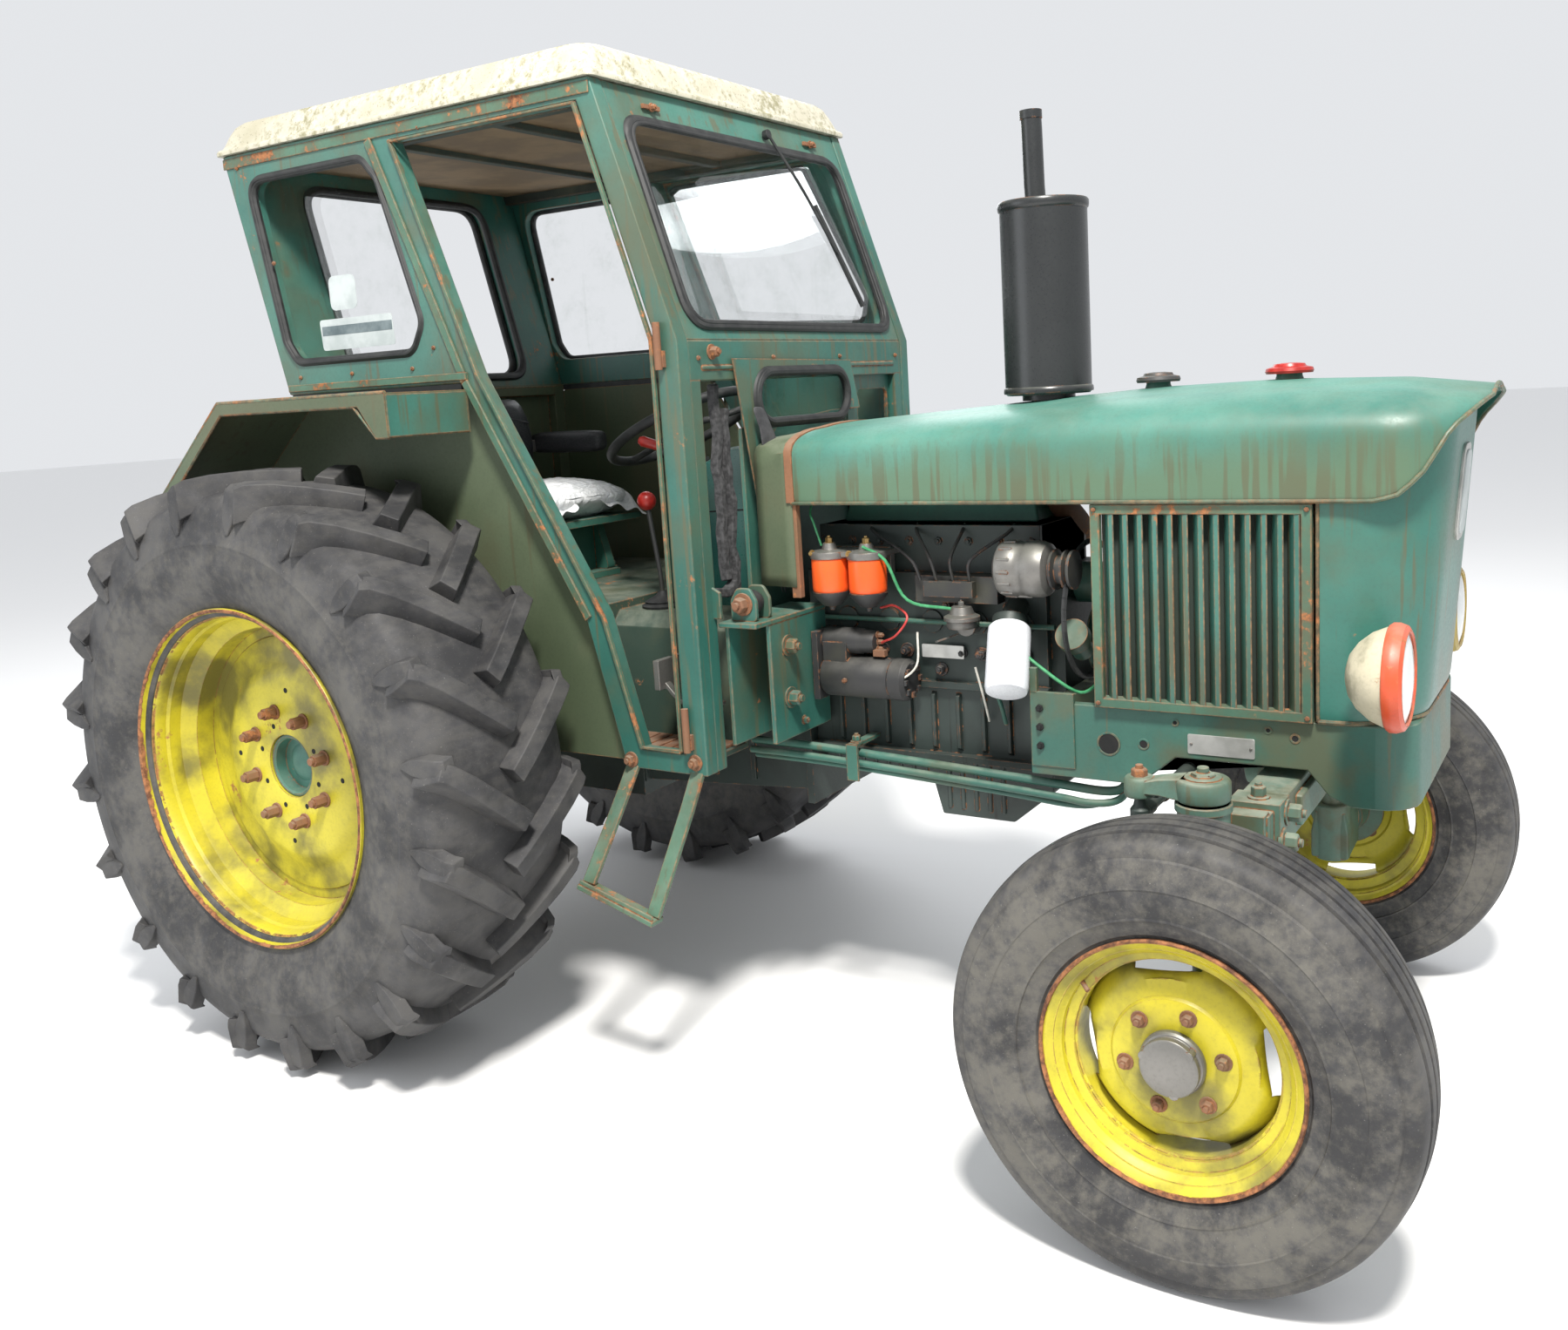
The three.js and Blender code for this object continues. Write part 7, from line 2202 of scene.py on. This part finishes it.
    def build_mudguard(self, side: Side) -> None:
        """A folded mudguard with its front face painted a brighter green as painted light, rolled edges and rear
        lamp.
        """
        word = side.word
        outer, top, front, rear = 0.760, 1.597, 0.400, -0.205
        self.refine(f"mudguard_{word}", "chassis", Finishes.OLIVE, 0.002)
        # A thin green strip over the front end of the olive mudguard: painted light on the face the light falls on.
        face = Forge().box((front - 0.002, 0.520, top - 0.098), (front + 0.0015, outer - 0.003, top - 0.004))
        self.publish(face.onto(side), f"mudguard_face_{word}", "chassis", Finishes.GREEN, 0.001)
        edge = Forge()
        edge.tube([(-0.610, outer - 0.004, 1.265), (rear, outer - 0.004, top), (front - 0.002, outer - 0.004, top)],
                  0.005, 10)
        edge.tube([(-0.596, outer - 0.004, 1.237), (rear + 0.008, outer - 0.004, top - 0.028),
                   (front - 0.11, outer - 0.004, top - 0.028)], 0.0035, 10)
        edge.tube([(front - 0.110, outer - 0.004, top - 0.028), (front - 0.042, outer - 0.004, top - 0.100),
                   (front - 0.002, outer - 0.004, top - 0.100)], 0.0035, 10)
        self.publish(edge.onto(side), f"mudguard_edge_{word}", "chassis", Finishes.STEP)
        lamp = Forge().box((-0.560, 0.60, 1.20), (-0.535, 0.70, 1.26)).bolt((-0.50, 0.56, 1.33), (-0.6, 0, 0.8),
                0.016)
        lens = Forge().prism(rounded([(0.605, 1.205), (0.695, 1.205), (0.695, 1.255), (0.605, 1.255)], 0.008), Axis.X,
                             -0.568, -0.558)
        self.publish(lamp.onto(side), f"rear_lamp_body_{word}", "chassis", Finishes.PART_BLACK, 0.003)
        self.publish(lens.onto(side), f"rear_lamp_lens_{word}", "chassis", Finishes.RED, 0.002)

    def build(self) -> None:
        """Builds the cab."""
        for side in Side:
            self.build_side(side)
            self.build_bracket(side)
            self.build_mudguard(side)
        self.build_front()
        self.build_loose_panel()
        self.build_rear()
        self.build_roof()
        self.build_door()
        self.build_floor()


# ---------------------------------------------------------------- driver's place
@dataclass
class DriversPlace(SubAssembly):
    """Dash cowl, steering wheel, levers and seat."""

    wheel_centre: Point = (0.632, 0.0, 1.474)
    wheel_tilt: float = 0.44

    def build_cowl(self) -> None:
        """The rounded cowl with its seam, column and small instruments."""
        side = [(0.672, 1.0345), (0.984, 1.0345), (0.984, 1.430), (0.880, 1.426), (0.790, 1.388), (0.664, 1.348)]
        rings = []
        for y, shrink in ((-0.150, 0.030), (-0.146, 0.012), (-0.128, 0.002), (0.0, 0.0), (0.128, 0.002),
                          (0.146, 0.012), (0.150, 0.030)):
            outline = rounded(side, 0.035, 6)
            rings.append([(0.84 + (x - 0.84) * (1 - shrink * 1.6), y,
                           1.0345 + (z - 1.0345) * (1 - shrink * 1.6)) for x, z in outline])
        self.publish(Forge().loft(rings), "dash_cowl_shell", "chassis", Finishes.COWL, 0.0, ["dash_cowl"], angle=40)
        seam = Forge()
        for y in (-0.1503, 0.1503):
            seam.tube([(0.69, y, 1.262), (0.965, y, 1.275)], 0.0018, 6)
        self.publish(seam, "dash_cowl_seam", "chassis", Finishes.HOLE)
        axis = Vector((-math.sin(self.wheel_tilt), 0, math.cos(self.wheel_tilt)))
        centre = Vector(self.wheel_centre)
        column = Forge().tube([centre - axis * 0.172, centre - axis * 0.016], 0.021,
                              24).tube([centre - axis * 0.172, centre - axis * 0.10], 0.030, 24)
        self.publish(column, "steering_column", "chassis", Finishes.PART_BLACK)
        face = Forge()
        for y in (-0.08, 0.0, 0.08):
            normal = Vector((-0.30, 0, 0.95)).normalized()
            spot = Vector((0.722, y, 1.3685))
            face.tube([spot, spot + normal * 0.008], 0.030 if y == 0 else 0.024, 28)
        self.publish(face, "dash_gauges", "chassis", Finishes.PART_BLACK, 0.001)

    def build_wheel(self) -> None:
        """Steering wheel: grooved rim, three spokes and boss."""
        axis = Vector((-math.sin(self.wheel_tilt), 0, math.cos(self.wheel_tilt)))
        turn = Matrix.Translation(self.wheel_centre) @ Vector((0, 0,
                1)).rotation_difference(axis).to_matrix().to_4x4()
        rim = Forge().lathe([(0.2 + 0.0125 * math.cos(TURN * i / 14),
                              0.0125 * math.sin(TURN * i / 14)) for i in range(14)], (0, 0, 0), Axis.Z, 96,
                            wobble=lambda step, r, a: (r - (0.0012 if step % 4 == 0 and r < 0.2 else 0), a))
        for i in range(3):
            angle = TURN * (i + 0.25) / 3
            way = Vector((math.sin(angle), math.cos(angle), 0))
            rim.tube([way * 0.02 + Vector((0, 0, 0.004)), way * 0.10 + Vector((0, 0, -0.004)), way * 0.196], 0.008,
                     12, radii=[0.010, 0.008, 0.009])
        rim.lathe([(0.0, -0.014), (0.030, -0.014), (0.036, -0.004), (0.034, 0.008), (0.020, 0.015), (0.0, 0.016)],
                  (0, 0, 0), Axis.Z, 36)
        self.publish(rim.turn(turn), "steering_wheel_moulded", "wheel_steering", Finishes.SEAL, 0.0,
                     ["steering_wheel"])

    def build_levers(self) -> None:
        """Gear lever with boot and red knob, hand throttle and linkage lever."""
        rods, knobs, boots = Forge(), Forge(), Forge()
        rods.tube(smooth_path([(0.687, -0.200, 1.03), (0.682, -0.200, 1.12), (0.664, -0.200, 1.25),
                               (0.658, -0.200, 1.29)]), 0.006, 12)
        rods.tube(smooth_path([(0.78, -0.145, 1.40), (0.74, -0.175, 1.42), (0.705, -0.198, 1.435)]), 0.0045, 10)
        rods.tube(smooth_path([(0.25, -0.30, 1.05), (0.26, -0.30, 1.15), (0.30, -0.30, 1.24)]), 0.006, 12)
        rods.box((0.225, -0.315, 1.05), (0.285, -0.285, 1.062))
        for x, y, z, r in ((0.657, -0.200, 1.300, 0.024), (0.302, -0.300, 1.252, 0.020)):
            knobs.lathe([(r * math.sin(math.pi * i / 12), r * math.cos(math.pi * i / 12)) for i in range(13)],
                        (x, y, z), Axis.Z, 24)
        knobs.tube([(0.712, -0.194, 1.432), (0.700, -0.2, 1.4375), (0.672, -0.216, 1.449), (0.664, -0.220, 1.452)],
                   0.012, 16, radii=[0.008, 0.0125, 0.0135, 0.008])
        boots.lathe([(0.0, 1.034), (0.052, 1.034), (0.054, 1.040), (0.044, 1.046), (0.046, 1.050), (0.030, 1.058),
                     (0.018, 1.064), (0.010, 1.075), (0.0, 1.075)],
                    (0.686, -0.2, 0), Axis.Z, 32)
        self.publish(rods, "lever_rods", "chassis", Finishes.PART_BLACK, 0.001)
        self.publish(knobs, "lever_knobs", "chassis", Finishes.RED)
        self.publish(boots, "gear_lever_boot", "chassis", Finishes.SEAL)

    def build_seat(self) -> None:
        """Pedestal, cushion in its crumpled bag, back with piping, and the armrest."""
        base = Forge().box((-0.120, -0.150, 1.0564), (0.250, 0.150, 1.075)).box((-0.140, -0.225, 1.212),
                (0.280, 0.225, 1.232))
        for y in (-0.145, 0.115):
            base.prism(rounded([(-0.11, 1.07), (0.24, 1.07), (0.20, 1.215), (-0.07, 1.215)], 0.02), Axis.Y, y,
                       y + 0.03, [rounded([(-0.02, 1.10), (0.16, 1.10), (0.14, 1.18), (0.0, 1.18)], 0.02)])
        base.box((-0.06, -0.12, 1.07), (0.19, 0.12, 1.212))
        for x in (-0.08, 0.21):
            for y in (-0.16, 0.16):
                base.bolt((x, y, 1.075), (0, 0, 1), 0.022)
        self.publish(base, "seat_pedestal", "chassis", Finishes.DEEP, 0.003, ["seat_base"])
        self.build_cushion()
        rings = []
        for z, x, depth, half in ((1.352, -0.125, 0.040, 0.205), (1.372, -0.128, 0.060, 0.214),
                                  (1.42, -0.130, 0.078, 0.217), (1.47, -0.135, 0.084, 0.217),
                                  (1.52, -0.142, 0.080, 0.214), (1.555, -0.146, 0.068, 0.205),
                                  (1.573, -0.147, 0.050, 0.19), (1.5795, -0.147, 0.024, 0.165)):
            ring = []
            for i in range(40):
                t = TURN * i / 40
                c, s = math.cos(t), math.sin(t)
                y = half * math.copysign(abs(c) ** 0.42, c)
                curve = -0.022 * (1 - (y / 0.217) ** 2) if s > 0 else 0.0
                ring.append((x + depth * 0.5 * math.copysign(abs(s) ** 0.5, s) + curve, y + 0.005, z))
            rings.append(ring)
        back = Forge().loft(rings)
        piece = self.publish(back, "seat_back_padded", "chassis", Finishes.VINYL, 0.0, ["seat_back"], subdivide=1)
        self.plump(piece, 0.006, 0.008)
        piping = Forge()
        line = [Vector((-0.100 - 0.02 * math.sin(i / 20 * math.pi), -0.185 + 0.37 * i / 20 + 0.005,
                        1.50 + 0.03 * math.sin(i / 20 * math.pi))) for i in range(21)]
        piping.tube(line, 0.003, 8)
        self.publish(piping, "seat_back_piping", "chassis", Finishes.VINYL)
        arm = []
        for x, grow in ((-0.150, 0.6), (-0.142, 0.9), (-0.12, 1.0), (0.10, 1.0), (0.122, 0.9), (0.130, 0.6)):
            ring = []
            for i in range(20):
                t = TURN * i / 20
                c, s = math.cos(t), math.sin(t)
                ring.append((x, 0.2585 + 0.026 * grow * math.copysign(abs(c) ** 0.6, c),
                             1.4375 + 0.031 * grow * math.copysign(abs(s) ** 0.6, s)))
            arm.append(ring)
        rest = self.publish(Forge().loft(arm), "armrest_pad", "chassis", Finishes.VINYL, 0.0, subdivide=1)
        self.plump(rest, 0.005, 0.004)
        self.publish(Forge().box((-0.150, 0.218, 1.412), (-0.122, 0.236, 1.448)), "armrest_hinge", "chassis",
                     Finishes.STEEL, 0.003)

    def build_cushion(self) -> None:
        """The cushion inside a loose bag: crowned, creased, drooping over its front corners."""
        rng = random.Random(3)
        creases = [(rng.uniform(-0.1, 0.3), rng.uniform(-0.24, 0.24), rng.uniform(0, math.pi), rng.uniform(30, 90),
                    rng.uniform(0.001, 0.0035)) for _ in range(26)]
        rings = []
        for k in range(17):
            t = k / 16
            z = 1.2335 + 0.106 * t
            bulge = math.sin(math.pi * (0.12 + 0.80 * t)) ** 0.5
            ring = []
            for i in range(72):
                a = TURN * i / 72
                c, s = math.cos(a), math.sin(a)
                x = 0.075 + 0.2235 * bulge * math.copysign(abs(c) ** 0.45, c)
                y = 0.2375 * bulge * math.copysign(abs(s) ** 0.45, s)
                ring.append((x, y, z))
            rings.append(ring)
        top = rings[-1]
        for shrink, rise in ((0.9, 0.002), (0.72, 0.004), (0.5, 0.005), (0.28, 0.0055), (0.08, 0.0055)):
            rings.append([(0.075 + (x - 0.075) * shrink, y * shrink, z + rise) for x, y, z in top])

        def crumple(p: Vector) -> Vector:
            """Adds the bag's folds."""
            depth = 0.0
            for cx, cy, angle, pitch, size in creases:
                along = (p.x - cx) * math.cos(angle) + (p.y - cy) * math.sin(angle) + p.z * 0.7
                near = math.exp(-((p.x - cx) ** 2 + (p.y - cy) ** 2) * 60)
                depth += size * abs(math.sin(along * pitch)) * near * 1.4
            if p.z > 1.30:
                return p - Vector((0, 0, depth))
            away = Vector((p.x - 0.075, p.y, 0)).normalized()
            return p - away * depth

        bag = Forge().loft(rings)
        piece = self.publish(bag, "seat_cushion_bagged", "chassis", Finishes.CUSHION, 0.0, ["seat_cushion"],
                             subdivide=1, angle=80)
        self.plump(piece, 0.006, 0.006, crumple)
        corner = Forge()
        for sign in (-1, 1):
            rows = []
            for k in range(8):
                t = k / 7
                rows.append([(0.20 + 0.098 * t + 0.006 * math.sin(j * 2.1 + k), sign * (0.05 + 0.185 * j / 9),
                              1.300 - 0.075 * t * (0.4 + 0.6 * j / 9) - 0.012 * math.sin(j * 1.7 + k * 0.9) * t)
                             for j in range(10)])
            corner.sheet(rows)
        flap = self.publish(corner, "seat_bag_corners", "chassis", Finishes.CUSHION, 0.0, subdivide=1,
                            thickness=0.0008)

    def build(self) -> None:
        """Builds the driver's place."""
        self.build_cowl()
        self.build_wheel()
        self.build_levers()
        self.build_seat()


# ---------------------------------------------------------------- gearbox, rear axle and linkage
@dataclass
class RearEnd(SubAssembly):
    """Gearbox and rear axle castings, drawbar, power take-off and the three-point linkage."""

    def build_castings(self) -> None:
        """Clutch housing, gearbox, axle trumpets, lift cover and drawbar."""
        spine = Forge().box((-0.180, -0.180, 0.522), (0.560, 0.180, 0.950)).box((-0.252, -0.150, 0.560),
                (-0.178, 0.150, 0.930))
        spine.prism([(0.558, 0.562), (1.088, 0.592), (1.088, 1.008), (0.860, 0.988), (0.558, 0.953)], Axis.Y, -0.163,
                    0.163)
        for x in (0.548, 1.070):
            spine.box((x, -0.178, 0.560), (x + 0.020, 0.178, 0.985 if x > 1 else 0.955))
        for x in (0.66, 0.78, 0.90):
            spine.box((x, -0.170, 0.60), (x + 0.014, 0.170, 0.94))
        for z in (0.60, 0.70, 0.80, 0.90):
            for y in (-0.178, 0.178):
                spine.bolt((0.552, y * 0.93, z), (-1, 0, 0), 0.022)
        spine.slab((-0.17, -0.15, 0.950), (0.40, 0.15, 0.985), 0.02)
        spine.bolt((0.12, -0.180, 0.74), (0, -1, 0), 0.05).bolt((0.30, 0.180, 0.66), (0, 1, 0), 0.04)
        self.publish(spine, "gearbox_casting", "chassis", Finishes.CAST, 0.006, ["transmission"])
        trumpet = Forge().lathe([(0.0, 0.172), (0.182, 0.172), (0.184, 0.196), (0.168, 0.202), (0.150, 0.26),
                                 (0.118, 0.44), (0.112, 0.60), (0.148, 0.612),
                                 (0.150, 0.636), (0.0, 0.638)], (0, 0, 0.72), Axis.Y, 64)
        for i in range(10):
            angle = TURN * i / 10
            trumpet.bolt((0.170 * math.cos(angle), 0.197, 0.72 + 0.170 * math.sin(angle)), (0, 1, 0), 0.022)
        self.publish(trumpet.both(), "axle_trumpets", "chassis", Finishes.CAST, 0.0)
        bar = Forge().box((-0.64, -0.038, 0.401), (-0.10, 0.038, 0.431)).box((-0.245, -0.06, 0.43),
                (-0.175, 0.06, 0.565))
        bar.box((-0.27, -0.13, 0.395), (-0.22, 0.13, 0.437)).tube([(-0.60, 0, 0.375), (-0.60, 0, 0.47)], 0.014,
                20).tube([(-0.60, 0, 0.462), (-0.60, 0, 0.478)], 0.026, 20)
        self.publish(bar, "drawbar", "chassis", Finishes.RUSTED, 0.004)
        shaft = Forge().lathe([(0.0, -0.335), (0.0155, -0.335), (0.0175, -0.330), (0.0175, -0.25), (0.045, -0.248),
                               (0.06, -0.244), (0.0, -0.244)], (0, 0, 0.66), Axis.X, 36)
        for i in range(6):
            angle = TURN * i / 6
            shaft.box((-0.333, 0.0155 * math.cos(angle) - 0.003, 0.66 + 0.0155 * math.sin(angle) - 0.003),
                      (-0.26, 0.0155 * math.cos(angle) + 0.003, 0.66 + 0.0155 * math.sin(angle) + 0.003))
        self.publish(shaft, "power_take_off", "chassis", Finishes.STEEL, 0.0006)
        link = Forge().box((-0.275, -0.05, 0.80),
                           (-0.250, 0.05, 0.90)).strap([(-0.29, -0.035, 0.86), (-0.255, -0.035, 0.86)], 0.012,
                                                       0.07).strap([(-0.29, 0.035, 0.86), (-0.255, 0.035, 0.86)],
                                                               0.012, 0.07)
        link.tube([(-0.285, -0.055, 0.86), (-0.285, 0.055, 0.86)], 0.011, 16)
        self.publish(link, "top_link_bracket", "chassis", Finishes.CAST, 0.003)

    def build_linkage(self) -> None:
        """Rocking shaft with its arms, lift rods with levelling collars, and the lower links."""
        arms = Forge().tube([(-0.215, -0.235, 0.985), (-0.215, 0.235, 0.985)], 0.032, 32)
        half = Forge()
        half.loft([[(-0.215 + 0.030 * a, 0.202, 0.985 + 0.036 * b) for a, b in ((-1, -1), (1, -1), (1, 1), (-1, 1))],
                   [(-0.215 + 0.030 * a, 0.228, 0.985 + 0.036 * b) for a, b in ((-1, -1), (1, -1), (1, 1), (-1, 1))]])
        half.strap([(-0.215, 0.215, 0.985), (-0.35, 0.215, 0.963), (-0.492, 0.215, 0.931)], 0.024, 0.048)
        half.lathe([(0.0, 0.202), (0.026, 0.202), (0.0265, 0.205), (0.0265, 0.225), (0.026, 0.228), (0.0, 0.228)],
                   (-0.500, 0, 0.930), Axis.Y, 28)
        half.lathe([(0.0, 0.19), (0.040, 0.192), (0.040, 0.236), (0.0, 0.238)], (-0.215, 0, 0.985), Axis.Y, 32)
        self.publish(half.both(), "lift_arm_forgings", "lift_arm_pair", Finishes.CAST, 0.004, ["lift_arms"])
        self.publish(arms, "rocking_shaft", "lift_arm_pair", Finishes.STEEL, 0.001)
        for side in Side:
            word = side.word
            tip = (-0.860, 0.375, 0.515)
            link = Forge().strap([(-0.300, 0.260, 0.560), (-0.38, 0.262, 0.556), (-0.78, 0.362, 0.522), tip], 0.021,
                                 0.058)
            link.lathe([(0.0, 0.241), (0.037, 0.241), (0.038, 0.245), (0.038, 0.275), (0.037, 0.279), (0.0, 0.279)],
                       (-0.300, 0, 0.560), Axis.Y, 28)
            link.lathe([(0.014, 0.352), (0.036, 0.352), (0.0415, 0.358), (0.0415, 0.392), (0.036, 0.398),
                        (0.014, 0.398)], (-0.860, 0, 0.515), Axis.Y, 32)
            self.publish(link.onto(side), f"lower_link_bar_{word}", "draft_link_pair", Finishes.CAST, 0.004,
                         [f"lower_link_{word}"])
            ball = Forge().lathe([(0.0115, 0.350), (0.020, 0.351), (0.027, 0.362), (0.029, 0.375), (0.027, 0.388),
                                  (0.020, 0.399), (0.0115, 0.400)], (-0.860, 0, 0.515), Axis.Y, 28)
            self.publish(ball.onto(side), f"lower_link_ball_{word}", "draft_link_pair", Finishes.STEEL)
            top, foot = Vector((-0.500, 0.249, 0.930)), Vector((-0.585, 0.249, 0.640))
            rod = Forge().tube([foot, top], 0.0135, 20).tube([foot.lerp(top, 0.25), foot.lerp(top, 0.62)], 0.0185, 24)
            for place, reach in ((top, 0.021), (foot, 0.0195)):
                rod.lathe([(0.0, -0.014), (reach, -0.014), (reach + 0.001, -0.011), (reach + 0.001, 0.011),
                           (reach, 0.014), (0.0, 0.014)], place, Axis.Y, 24)
            rod.bolt(foot.lerp(top, 0.65), top - foot, 0.034, washer=False, reach=0.5)
            self.publish(rod.onto(side), f"lift_rod_bar_{word}", "lift_rod_pair", Finishes.CAST, 0.0015,
                         [f"lift_rod_{word}"])

    def build(self) -> None:
        """Builds the rear end."""
        self.build_castings()
        self.build_linkage()


# ---------------------------------------------------------------- assembly
def main() -> None:
    """Builds the tractor."""
    logging.basicConfig(level=logging.INFO, format="%(name)s: %(message)s", stream=sys.stdout)
    studio = Studio()
    studio.build_camera()
    studio.build()
    for side in Side:
        RearWheel(side).build()
        FrontWheel(side).build()
    Bonnet().build()
    Nose().build()
    FrontEnd().build()
    EngineBay().build()
    Cab().build()
    DriversPlace().build()
    RearEnd().build()
    for node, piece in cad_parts.items():
        if not piece.hide_render:
            LOG.warning("left plain: %s", node)


if __name__ == "__main__":
    main()
